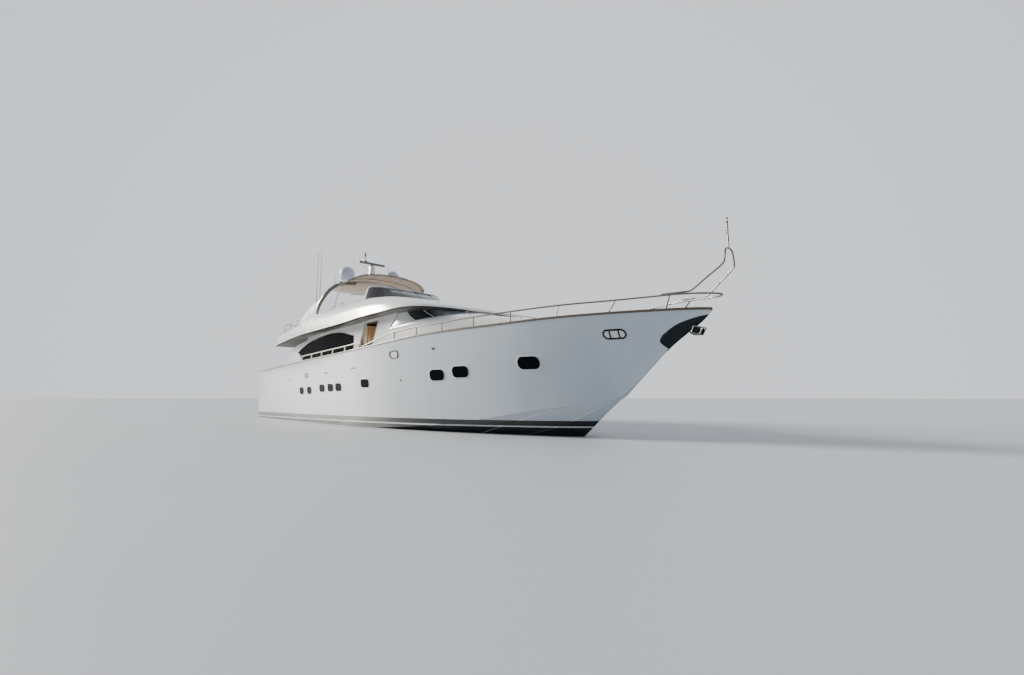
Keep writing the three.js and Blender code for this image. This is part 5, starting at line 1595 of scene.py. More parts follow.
@dataclass
class House:
    """Saloon sides, doors and glass. The plates of the solids stay and get seals, mullions, frames, beads and
    pulls.
    """

    head: tuple[Point, ...] = ((-8.42, 3.02), (-7.9, 3.38), (-7.0, 3.73), (-5.68, 4.02), (-3.61, 4.19),
                               (-2.17, 4.15), (-0.74, 3.89))
    door: tuple[Point, ...] = ((-0.78, 2.17), (0.4, 2.17), (1.47, 4.32), (0.31, 4.32))
    mullions: tuple[float, ...] = (-5.45, -3.05)
    leaf_y: float = 2.419
    shift: float = 1.15

    def dress(self, nodes: dict[str, Piece]) -> None:
        """Gives the solids' plates and panes their finishes.

        Args:
            nodes: the objects of the CAD nodes by name.
        """
        refinish(nodes["aft_bulkhead"], MOULDED)
        for name, finish in (("house_side", WHITE), ("side_window", DARK_GLASS), ("aft_window", SMOKE_GLASS),
                             ("side_door", DOOR_WOOD), ("saloon_door", SMOKE_GLASS)):
            for side in Side:
                refinish(nodes[f"{name}_{side.tag}"], finish)

    def build(self) -> None:
        """Makes the seals, the mullions, the door frames and the handles."""
        top = [tuple(p) for p in curve(self.head, 8, 0.5)]
        for side in Side:
            s = side.value
            ring = [(-0.74, 3.02)] + top[::-1]
            seal = Form().bars(ring + ring[:1], s * 2.501, 0.013, 6)
            bars, frames = Form(), Form()
            for x in self.mullions:
                z = float(np.interp(x, [p[0] for p in top], [p[1] for p in top]))
                low, high = side.span(2.405, 2.445)
                bars.block((x - 0.02, low, 3.02), (x + 0.02, high, z))
            frames.bars(self.door + self.door[:1], s * 2.502, 0.016, 10)
            frames.tube(curve([(0.55, s * 2.515, 2.95), (0.62, s * 2.56, 3.0), (0.78, s * 2.56, 3.32),
                               (0.8, s * 2.515, 3.38)], 6), 0.012, 10)
            seal.put("dark_steel", f"window_seal_{side.tag}", RUBBER, sharp=60)
            bars.put("dark_steel", f"window_mullions_{side.tag}", RUBBER, bevel=0.003)
            frames.put("steel", f"door_frame_{side.tag}", STAINLESS, sharp=60)
            self.build_leaf(side)

    def build_leaf(self, side: Side) -> None:
        """Makes the panels and the pull of the sliding side door, which move with it.

        Args:
            side: which side.
        """
        y, body = side.value * self.leaf_y, f"side_door_{side.tag}"
        corners = [(x + self.shift, z + up) for (x, z), up in zip(self.door, (0.005, 0.005, 0.03, 0.03))]
        centre = np.mean(corners, axis=0)
        beads = Form()
        for share in (0.86, 0.8):
            loop = [centre + (np.array(c) - centre) * share for c in corners]
            beads.bars(loop + loop[:1], y, 0.008, 6)
        pull = [(corners[0][0] + 0.13 + 0.07 * i, y, 3.0 + 0.15 * i) for i in range(3)]
        beads.put("joinery", f"door_beads_{side.tag}", DARK_WOOD, body=body, sharp=60)
        handle = Form().tube(curve(pull, 5), 0.008, 8)
        handle.put("steel", f"door_pull_{side.tag}", STAINLESS, body=body, sharp=60)


def refinish(node: Piece, finish: Finish) -> None:
    """Gives a CAD node's object a better material in each of its slots.

    Args:
        node: the object.
        finish: the finish.
    """
    if not node.material_slots:
        node.data.materials.append(finish.material())
    for slot in node.material_slots:
        slot.material = finish.material()


@dataclass
class Coachroof:
    """Trunk ahead of the wheelhouse, with the wheelhouse's well and the sunpad's recess."""

    hull: Hull
    steps: int = 6
    inset: float = 0.11
    well_x: float = 2.5
    well: Pair = (3.65, 2.47)

    def __post_init__(self) -> None:
        """Reads the trunk's lines."""
        self.lines = Lines("x base top zs zc", [
            (2500, 2500, 2500, 3960, 4060), (3600, 2500, 2450, 4010, 4110), (4500, 2430, 2300, 4060, 4160),
            (5200, 2320, 2110, 4080, 4190), (6000, 2150, 1850, 4060, 4215), (7000, 1850, 1570, 3930, 4065),
            (8000, 1560, 1330, 3760, 3890), (9000, 1240, 1040, 3560, 3680), (9900, 900, 700, 3290, 3380),
            (10500, 560, 380, 3000, 3060), (10700, 380, 260, 2860, 2890)])

    def crown(self, x: float) -> float:
        """Height of the flat of the crown."""
        return mix(self.lines.at("zs", x), self.lines.at("zc", x), 0.7)

    def section(self, x: float) -> list[Point]:
        """Closed section of the trunk.

        Args:
            x: place along the boat.

        Returns:
            Its points.
        """
        r = self.lines.row(x)
        foot = self.hull.deck(x) + 0.0003
        flat = mix(r["zs"], r["zc"], 0.7)
        base, top, shoulder = r["base"], r["top"], r["zs"]
        guide = [(base, foot), (mix(base, top, 0.35), mix(foot, shoulder, 0.8)), (top, shoulder),
                 (top * 0.6, flat), (0.0, flat + 0.004), (-top * 0.6, flat)]
        half = curve(guide, self.steps)[:self.steps * 4 + 1]
        starboard = [(x, -y, max(z, foot)) for y, z in half]
        return starboard + [(x, y, max(z, foot)) for y, z in half[:-1]][::-1]

    def build(self) -> None:
        """Makes the trunk."""
        xs = spaced([2.5003, 6.0], 0.25) + spaced([6.0, 9.0, 10.7], 0.12)[1:]
        rings = [self.section(x) for x in xs]
        trunk = Form().loft(rings).piece("coachroof_moulding", WHITE, MOULDED)
        a, b = (half - self.inset for half in self.well)
        aft = self.well_x
        outline = [(2.3, -b), (aft, -b)]
        outline += [(aft + a * math.sin(t), -b * math.cos(t)) for t in np.linspace(0.02, 1.38, 30)]
        outline += [(x, -y) for x, y in outline[::-1]]
        pad = []
        for x, y in ((6.488, 1.242), (8.112, 0.952)):
            z = self.crown(x)
            pad.append([(x, -y, z - 0.09), (x, y, z - 0.09), (x, y, z + 0.3), (x, -y, z + 0.3)])
        carve(trunk, Form().prism(outline, 2.45, 4.7, "z"), Form().loft(pad))
        paint_faces(trunk, lambda at, n: int(at.z < 2.6 or (n.z > 0.9 and at.z < self.crown(at.x) - 0.05)))
        smooth(trunk, 28)
        place(trunk, "gelcoat", "yacht", "coachroof")
        self.build_rails()

    def build_rails(self) -> None:
        """Makes the grab rails on the trunk's shoulders and the vents ahead of the sunpad."""
        rails, vents = Form(), Form()
        for side in Side:
            def shoulder(x: float, up: float) -> Point:
                """Point over the trunk's shoulder."""
                return x, side.value * self.lines.at("top", x) * 0.9, self.crown(x) + up

            line = [shoulder(x, 0.07) for x in spaced([6.3, 9.6], 0.3)]
            line = [(6.22, line[0][1], self.crown(6.22) - 0.01), *line,
                    (9.68, line[-1][1], self.crown(9.68) - 0.03)]
            rails.tube(curve(line, 3), 0.013, 12)
            for x in (7.3, 8.5):
                rails.rod(shoulder(x, -0.02), shoulder(x, 0.07), 0.01, 10)
            vents.lathe([(0, -0.02), (0.09, -0.02), (0.09, 0.015), (0.07, 0.035), (0.05, 0.04), (0, 0.042)],
                        (9.2, side.value * 0.33, self.crown(9.2)), 28)
        rails.put("steel", "trunk_grab_rails", STAINLESS, sharp=60)
        vents.put("steel", "trunk_vents", STAINLESS, sharp=50)


@dataclass
class Windscreens:
    """Wheelhouse windscreen under the brow, and the raked screen round the upper helm."""

    shell: FlyShell
    thick: float = 0.024
    count: int = 96
    upper_thick: float = 0.014
    edge_foot: float = math.radians(64)
    edge_head: float = math.radians(77)

    def lower(self, a: float, t: float, off: float = 0.0) -> np.ndarray:
        """Point of the windscreen at angle a, from the sill at t 0 to the brow at t 1.

        Args:
            a: angle from the bow.
            t: share of the height.
            off: distance off the face.

        Returns:
            The point.
        """
        sill = np.array([2.503 + (3.65 + off) * math.cos(a), (2.47 + off) * math.sin(a),
                         4.222 - 0.24 * math.sin(a) ** 2 - 0.025])
        head = np.array([2.95 + (2.35 + off) * math.cos(a), (2.4 + off) * math.sin(a), 4.455])
        return sill + (head - sill) * t

    def skewed(self, a: float, t: float, off: float = 0.0) -> np.ndarray:
        """Point of the windscreen on lines that lean as the glass's end does; that end is at edge_head.

        Args:
            a: angle from the bow.
            t: share of the height.
            off: distance off the face.

        Returns:
            The point.
        """
        edge, size, end = mix(self.edge_foot, self.edge_head, t), abs(a), math.pi / 2
        if size <= self.edge_head:
            turned = size * edge / self.edge_head
        else:
            turned = mix(edge, end, (size - self.edge_head) / (end - self.edge_head))
        return self.lower(math.copysign(turned, a), t, off)

    def upper(self, a: float, t: float, off: float = 0.0) -> np.ndarray:
        """Point of the raked screen at angle a, from its foot at t 0 to its top at t 1.

        Args:
            a: angle from the bow.
            t: share of the height.
            off: distance off the face.

        Returns:
            The point.
        """
        low = np.array([-0.5 + (2.1 + off) * math.cos(a), (2.3 + off) * math.sin(a), 5.06])
        high = np.array([-0.89 + (1.0 + off) * math.cos(a), (1.8 + off) * math.sin(a),
                         mix(6.11, 6.215, math.sin(a) ** 2)])
        return low + (high - low) * t

    def band(self, form: Form, where: Callable[[float, float, float], np.ndarray], span: Pair,
             high: Pair, thick: Pair, count: int = 0) -> None:
        """Adds a closed strip of a screen.

        Args:
            form: the form that it is added to.
            where: the screen's surface.
            span: first and last angle.
            high: lowest and highest t.
            thick: distances of its inner and outer face off the surface.
            count: steps round it.
        """
        count = count or max(2, int(self.count * (span[1] - span[0]) / math.pi))
        rings = []
        for a in np.linspace(*span, count + 1):
            inner, outer = ([where(a, t, off) for t in np.linspace(*high, 4)] for off in thick)
            rings.append(inner + outer[::-1])
        form.loft(rings)

    def build(self) -> None:
        """Makes both screens with their pillars, seals and wipers."""
        self.build_lower()
        self.build_upper()

    def build_lower(self) -> None:
        """Makes the wheelhouse glass, its white end pillars, its mullions and its wipers."""
        glass, pillars, seals, wipers = Form(), Form(), Form(), Form()
        end, edge, bar = math.pi / 2, self.edge_head, (-self.thick, 0.005)
        self.band(glass, self.skewed, (-edge, edge), (0.03, 1.0), (-self.thick, 0.0))
        for side in (Side.STBD, Side.PORT):
            self.band(pillars, self.skewed, side.span(edge, end), (0.0, 1.0), (-self.thick, 0.004))
            self.band(seals, self.skewed, side.span(edge, edge - 0.012), (0.02, 1.0), bar, count=2)
        for a in (-1.02, -0.5, 0.0, 0.5, 1.02):
            self.band(pillars, self.skewed, (a - 0.014, a + 0.014), (0.02, 1.0), bar, count=2)
        self.band(seals, self.skewed, (-edge, edge), (0.0, 0.06), (-self.thick, 0.004))
        for a, lean in ((-0.92, 0.22), (-0.42, 0.24), (0.1, 0.24), (0.62, 0.22)):
            base = self.lower(a, 0.08, 0.03)
            wipers.rod(base, self.lower(a + lean, 0.86, 0.028), 0.008, 8)
            blade = [self.lower(a + lean * reach, t, 0.016) for reach, t in ((0.55, 0.4), (1.25, 0.97))]
            wipers.rod(*blade, 0.007, 6)
            wipers.lathe([(0, -0.03), (0.028, -0.03), (0.028, 0.02), (0, 0.03)], base, 14)
        glass.put("tinted_glass", "windscreen_glass", SCREEN_GLASS, nodes=["windscreen"], sharp=40)
        pillars.put("gelcoat", "windscreen_pillars", WHITE, sharp=40)
        seals.put("dark_steel", "windscreen_seals", RUBBER, sharp=40)
        wipers.put("dark_steel", "windscreen_wipers", RUBBER, sharp=50)

    def build_upper(self) -> None:
        """Makes the raked screen, its white top rail, its end posts and its joints."""
        glass, rim, joints = Form(), Form(), Form()
        end = math.pi / 2
        self.band(glass, self.upper, (-end, end), (0.0, 0.97), (-self.upper_thick, 0.0))
        rings = []
        turn = np.linspace(0, 2 * math.pi, 10, endpoint=False)
        for a in np.linspace(-end, end, self.count + 1):
            middle = self.upper(a, 0.985)
            out, up = self.upper(a, 0.985, 1.0) - middle, self.upper(a, 1.0) - self.upper(a, 0.0)
            out, up = out / np.linalg.norm(out), up / np.linalg.norm(up)
            rings.append([middle - 0.006 * out + 0.017 * math.cos(k) * out + 0.021 * math.sin(k) * up
                          for k in turn])
        rim.loft(rings)
        for side in (Side.STBD, Side.PORT):
            post = side.span(end + 0.1, end - 0.012)
            self.band(rim, self.upper, post, (0.0, 0.99), (-0.028, 0.012), count=4)
        for a in (-0.95, -0.45, 0.0, 0.45, 0.95):
            self.band(joints, self.upper, (a - 0.006, a + 0.006), (0.02, 0.97), (-0.02, 0.006), count=2)
        self.band(joints, self.upper, (-end, end), (0.13, 0.16), (-0.02, 0.008))
        glass.put("tinted_glass", "upper_screen_glass", SMOKE_GLASS, nodes=["wind_deflector"], sharp=40)
        rim.put("gelcoat", "upper_screen_rim", WHITE, sharp=50)
        joints.put("dark_steel", "upper_screen_joints", RUBBER, sharp=40)


@dataclass
class RadarArch:
    """Raked hoop over the flybridge with the mast, the domes, the scanner and the aerials."""

    dome_x: float = -4.4
    dome_radius: float = 0.385
    scanner_z: Pair = (8.235, 8.335)
    mast_x: float = -4.25
    dome_y: float = 1.3
    bolt_ring: float = 0.148
    lamp_x: float = -5.1

    def __post_init__(self) -> None:
        """Reads the hoop's edges: fore point, aft point, outward direction and half thicknesses."""
        rows = [(-4460, 2752, 5100, -6640, 2868, 4850, 1000, 0, 42, 36),
                (-4280, 2720, 5600, -5750, 2750, 5600, 1000, 0, 85, 40),
                (-4020, 2640, 6000, -4850, 2660, 5970, 970, 240, 95, 40),
                (-3900, 2500, 6300, -4550, 2520, 6250, 860, 510, 95, 40),
                (-3860, 2250, 6600, -4600, 2280, 6500, 650, 760, 95, 40),
                (-3840, 1850, 6870, -4900, 1880, 6680, 300, 950, 95, 40),
                (-3800, 1200, 7000, -5300, 1200, 6750, 100, 990, 95, 40),
                (-3750, 0, 7060, -5500, 0, 6800, 0, 1000, 95, 40)]
        port = np.array(rows, dtype=float) * MM
        flip = port[-2::-1] * np.array([1, -1, 1, 1, -1, 1, -1, 1, 1, 1])
        self.guide = curve(np.vstack([port, flip]), 7)

    def ring(self, row: np.ndarray) -> list[np.ndarray]:
        """Wing-like section with a round fore edge.

        Args:
            row: one row of the guide.

        Returns:
            Its points.
        """
        fore, aft, out = row[0:3], row[3:6], np.array([0.0, row[6], row[7]])
        out /= np.linalg.norm(out)
        shares = (0.0, 0.008, 0.03, 0.08, 0.2, 0.45, 0.75, 0.97, 1.0)
        fullness = (0.0, 0.45, 0.75, 0.95, 1.0, 1.0, 1.0, 0.9, 0.0)
        upper, lower = [], []
        for t, f in zip(shares, fullness):
            half = f * mix(row[8], row[9], t)
            upper.append(fore + (aft - fore) * t + out * half)
            lower.append(fore + (aft - fore) * t - out * half)
        return upper + lower[1:-1][::-1]

    def build(self, studs: Repeater) -> None:
        """Makes every piece of the arch.

        Args:
            studs: sets out the bolts.
        """
        hoop = Form().loft([self.ring(row) for row in self.guide])
        mast = []
        for t in np.linspace(0, 1, 9):
            ease = t ** 0.7
            a, b = mix(0.33, 0.15, ease), mix(0.23, 0.15, ease)
            w = mix(0.16, 0.145, t)
            outline = [(u * (a if u < 0 else b), v * w) for u, v in
                       ((math.cos(k) * abs(math.cos(k)) ** -0.35, math.sin(k) * abs(math.sin(k)) ** -0.35)
                        for k in np.linspace(0.02, 2 * math.pi + 0.02, 28, endpoint=False))]
            mast.append([(self.mast_x + x, y, mix(6.93, 8.15, t)) for x, y in outline])
        hoop.loft(mast)
        top = (self.lamp_x, 0, 0)
        hoop.lathe([(0, 8.86), (0.075, 8.86), (0.078, 8.88), (0.078, 8.925), (0.07, 8.94), (0, 8.94)],
                   top, 32)
        hoop.lathe([(0, 8.94), (0.04, 8.94), (0.045, 8.96), (0.045, 9.07), (0.03, 9.105), (0, 9.11)], top, 24)
        staff = curve([(-4.9, 0, 6.86), (-4.97, 0, 7.4), (-5.06, 0, 8.0), (self.lamp_x, 0, 8.3),
                       (self.lamp_x, 0, 9.0)], 6)
        hoop.tube(staff, 0.03, 16)
        hoop = hoop.piece("arch_hoop", WHITE, ARCH_FORE_SHADE, sharp=38)
        # forward-facing faces of the legs get the painted shade
        paint_faces(hoop, lambda at, n: int(n.x > 0.25 and abs(at.y) > 1.0))
        place(hoop, "gelcoat", "yacht", "radar_arch")
        self.build_domes()
        self.build_scanner()
        self.build_aerials(studs)

    def build_domes(self) -> None:
        """Makes both satellite domes on their pedestals, with the parting bead."""
        r = self.dome_radius
        for side, z in ((Side.PORT, 7.75), (Side.STBD, 7.55)):
            y = self.dome_y * side.value
            cap = [(r * math.cos(a), r * math.sin(a)) for a in np.linspace(0, math.pi / 2, 14)]
            skirt = [(0, -0.45), (0.2, -0.45), (r * 0.74, -0.43), (r * 0.83, -0.38), (r * 0.93, -0.24),
                     (r * 0.985, -0.1), (r + 0.002, -0.03), (r + 0.004, -0.015), (r + 0.004, 0.0),
                     (r, 0.008)]
            dome = Form().lathe(skirt + cap[1:], (self.dome_x, y, z), 56)
            dome.put("dome", f"dome_shell_{side.tag}", DOME_SKIN, nodes=[f"dome_{side.tag}"], sharp=50)
            foot = [(0, 6.86 - z), (0.17, 6.86 - z), (0.155, 6.93 - z), (0.14, 7.0 - z), (0.14, -0.5),
                    (0.2, -0.47), (0.21, -0.44), (0, -0.44)]
            pedestal = Form().lathe(foot, (self.dome_x, y, z), 40)
            pedestal.put("gelcoat", f"dome_pedestal_{side.tag}", WHITE, sharp=40)

    def build_scanner(self) -> None:
        """Makes the open-array scanner on its gearbox."""
        z0, z1 = self.scanner_z
        rings = []
        for u in (-1.0, -0.985, -0.93, -0.8, -0.4, 0, 0.4, 0.8, 0.93, 0.985, 1.0):
            c = 0.075 * (0.55 if abs(u) > 0.99 else 0.85 if abs(u) > 0.95 else 1.0)
            outline = rounded(2 * c, (z1 - z0 + 0.012) * (c / 0.075), 0.032 * c / 0.075, 4)
            rings.append([(self.mast_x + x, 0.74 * u, (z0 + z1) / 2 + v) for x, v in outline])
        array = Form().loft(rings)
        array.lathe([(0, 8.152), (0.075, 8.152), (0.085, 8.17), (0.088, 8.235), (0, 8.24)],
                    (self.mast_x, 0, 0), 36)
        array.put("gelcoat", "scanner_array", GREY_TRIM, body="scanner", nodes=["scanner"], sharp=40)
        box = Form().block((self.mast_x - 0.16, -0.13, 8.02), (self.mast_x + 0.14, 0.13, 8.148))
        box.put("gelcoat", "scanner_gearbox", WHITE, bevel=0.03, segments=4)

    def build_aerials(self, studs: Repeater) -> None:
        """Makes whips, short rods, the horn, the lamps and their brackets.

        Args:
            studs: sets out the bolts.
        """
        rods, white, lamps = Form(), Form(), Form()
        for x, y in ((-4.69, -2.72), (-4.32, -2.7)):
            foot = np.array([x, y, 5.94])
            white.tube([foot + (0.02, 0.03, -0.1), foot, foot + (0, 0, 0.12)], 0.026, 14)
            white.tube([foot + (0, 0, 0.1), foot + (0, 0, 0.9), foot + (0, 0, 2.6)], 0.022, 10, taper=0.5)
            rods.rod(foot + (0, 0.05, 0.02), foot + (0, 0, 0.02), 0.022, 10)
        for x, y, z, high in ((-4.55, 0.52, 6.93, 0.95), (-4.0, -0.52, 7.02, 0.9), (-4.62, -0.86, 6.9, 1.5),
                              (-4.3, 0.98, 6.95, 1.45), (-4.05, -2.05, 6.75, 0.55),
                              (-4.05, 2.05, 6.75, 0.55)):
            white.rod((x, y, z - 0.03), (x, y, z + 0.09), 0.022, 12)
            white.tube([(x, y, z + 0.08), (x, y, z + high * 0.5), (x, y, z + high)], 0.017, 8, taper=0.6)
        for y in (0.34, -0.36):
            rods.rod((-4.5, y, 6.9), (-4.5, y, 7.55), 0.016, 12)
            white.lathe([(0, 7.55), (0.05, 7.55), (0.06, 7.58), (0.055, 7.63), (0.03, 7.66), (0, 7.66)],
                        (-4.5, y, 0), 20)
        rods.tube(curve([(-3.83, -1.7, 6.98), (-3.72, -1.7, 7.0), (-3.62, -1.7, 7.0)], 4), 0.02, 12)
        horn = [(0, 0), (0.022, 0), (0.024, 0.12), (0.035, 0.2), (0.07, 0.27), (0.075, 0.28), (0.06, 0.282),
                (0, 0.25)]
        rods.lathe(horn, (-3.82, -2.0, 6.83), 24, "x")
        ahead = (-3.78, 1.9, 6.87)
        rods.lathe([(0, 0), (0.055, 0), (0.06, 0.03), (0.06, 0.12), (0.05, 0.15), (0, 0.15)], ahead, 24, "x")
        rods.lathe([(0, 8.86), (0.05, 8.86), (0.085, 8.89), (0.085, 8.93), (0.05, 8.96), (0.05, 9.07),
                    (0.03, 9.11), (0, 9.12)], (self.lamp_x, 0, 0), 24)
        lamps.lathe([(0, 0.15), (0.05, 0.15), (0.045, 0.162), (0, 0.168)], ahead, 24, "x")
        rods.lathe([(0, 8.5), (0.07, 8.5), (0.1, 8.53), (0.1, 8.6), (0.06, 8.64), (0, 8.65)],
                   (-5.02, 0, 0), 24)
        lamps.lathe([(0, 8.3), (0.05, 8.3), (0.055, 8.32), (0.055, 8.38), (0, 8.4)], (-5.24, 0, 0), 24)
        rods.rod((self.lamp_x, 0, 8.34), (-5.24, 0, 8.32), 0.014, 10)
        rods.put("steel", "arch_fittings", STAINLESS, sharp=50)
        white.put("gelcoat", "aerials", AERIAL, sharp=50)
        lamps.put("gelcoat", "arch_lamps", CLEAR_LENS, sharp=50)
        places = []
        for side in Side:
            for a in np.linspace(0, 2 * math.pi, 8, endpoint=False):
                u, v = math.cos(a), math.sin(a)
                x, y = self.dome_x + self.bolt_ring * u, self.dome_y + self.bolt_ring * v
                places.append(((x, y * side.value, 6.955), (u, v * side.value, 0.5)))
        place(studs.set_out("dome_bolts", places, 0.009, 0.012, STAINLESS), "steel")


@dataclass
class Canopy:
    """Stretched canvas over the upper helm, on two bows, two stays and short struts."""

    rows: tuple[Point, ...] = ((-3.7, 2.05, 7.12), (-2.6, 2.1, 7.175), (-2.3, 2.06, 7.19),
                               (-2.1, 1.75, 7.2), (-1.95, 1.2, 7.2), (-1.86, 0.5, 7.2))
    thick: float = 0.004
    back: float = -3.62
    turn: float = -2.6
    front: float = -1.86
    seams: tuple[float, ...] = (-0.7, 0.7)
    tube: float = 0.015

    def __post_init__(self) -> None:
        """Reads the plan line."""
        self.lines = Lines("x w z", np.array(self.rows) / MM)

    def half(self, x: float) -> float:
        """Half breadth at x.

        Args:
            x: place along the boat.

        Returns:
            The half breadth.
        """
        x = min(x, self.front)
        if x <= self.turn:
            return self.lines.at("w", x)
        t = (x - self.turn) / (self.front - self.turn)
        if t < 0.97:
            return 2.1 * (1 - t ** 3.4) ** 0.42
        return mix(2.1 * (1 - 0.97 ** 3.4) ** 0.42, 0.5, (t - 0.97) / 0.03)

    def level(self, x: float, y: float) -> float:
        """Height of the cloth's crown before it sags."""
        return self.lines.at("z", x) - 0.055 * y * y - 0.0025 * y ** 6

    def height(self, x: float, y: float) -> float:
        """Height of the canvas, with the sag between its bows."""
        along = min(max((x - self.back) / 1.5, 0), 1)
        return self.level(x, y) - 0.016 * math.sin(math.pi * along) * (1 - min(abs(y) / 2.2, 1) ** 2)

    def build(self, stitches: Repeater) -> None:
        """Makes the canvas, its piping and its stitches, and the frame.

        Args:
            stitches: sets out the stitches.
        """
        xs = spaced([-3.7, -2.6, -2.1, -1.862], 0.09)
        lanes = np.linspace(-1, 1, 41)
        points = np.array([[(x, y, self.height(x, y)) for y in self.half(x) * lanes] for x in xs])
        canvas = Form().grid(points).piece("canopy_canvas", CANVAS, sharp=60)
        layer = canvas.data.uv_layers.new(name="cut")
        for loop in canvas.data.loops:
            v = canvas.data.vertices[loop.vertex_index].co
            layer.data[loop.index].uv = (v.x, v.y * 1.03)
        hem = canvas.modifiers.new("cloth", "SOLIDIFY")
        hem.thickness, hem.offset = self.thick, -1.0
        settle(canvas)
        smooth(canvas, 60)
        outline = np.concatenate([points[:, 0], points[-1, 1:], points[::-1, -1]])
        piping = Form().tube(outline + (0, 0, -0.006), 0.012, 10).tube(points[0] + (0, 0, -0.006), 0.01, 10)
        for y in self.seams:
            line = [(x, y, self.height(x, y) - 0.006) for x in xs if abs(y) < self.half(x)]
            piping.tube(line, 0.007, 8)
        hem_piece = piping.put("canopy_fabric", "canopy_piping", RUBBER, sharp=60)
        dots = []
        for y in (*(s + d for s in self.seams for d in (-0.016, 0.016)), -1.95, 1.95):
            dots += [((x, y, self.height(x, y) - 0.0045), (0.2, 0, -1)) for x in np.arange(-3.66, -2.1, 0.014)
                     if abs(y) < self.half(x) - 0.02]
        thread = place(stitches.set_out("canopy_stitches", dots, 0.0022, 0.003, SAND_CLOTH), "canopy_fabric")
        place(canvas, "canopy_fabric", "yacht", "bimini")
        self.build_frame()

    def build_frame(self) -> None:
        """Makes the bows, the side rails, the stays and the struts."""
        frame_bars = Form()
        under = self.tube + 0.012

        def at(x: float, y: float, drop: float = 0.0) -> Triple:
            """Point under the canvas."""
            return (x, y, self.level(x, y) - under - drop)

        ys = np.linspace(-2.02, 2.02, 25)
        frame_bars.tube([at(self.back, y) for y in ys], self.tube, 14)
        half = [(-2.41, 2.03), (-2.23, 1.74), (-2.06, 1.2), (-1.97, 0.5)]
        bow = [at(x, y, 0.014) for x, y in half] + [at(x, -y, 0.014) for x, y in half[::-1]]
        frame_bars.tube(curve(bow, 7), self.tube, 14)
        frame_bars.tube([at(-2.9, y, 0.006) for y in np.linspace(-2.04, 2.04, 21)], 0.012, 12)
        for side in Side:
            s = side.value
            edge = [at(self.back, s * 2.02), at(-3.0, s * 2.03), at(-2.41, s * 2.03, 0.014)]
            frame_bars.tube(edge, self.tube, 14)
            stay = [(-2.4, 2.045, 6.74), (-2.64, 2.29, 6.5), (-2.78, 2.42, 6.15), (-2.7, 2.53, 5.85),
                    (-2.56, 2.65, 5.5), (-2.54, 2.719, 5.24)]
            stay.insert(0, at(-2.41, 2.03))
            frame_bars.tube(curve([(x, y * s, z) for x, y, z in stay], 7), 0.018, 14)
            frame_bars.lathe([(0, 0), (0.045, 0), (0.045, 0.01), (0.024, 0.02), (0, 0.02)],
                             (-2.54, s * 2.719, 5.235), 24)
            for y, z in ((1.0, 7.005), (1.75, 6.885)):
                frame_bars.rod(at(self.back, s * y), (-3.86, s * y, z), self.tube, 12)
        frame_bars.put("steel", "canopy_frame", STAINLESS, nodes=["bimini_frame"], sharp=60)


# ---- rails


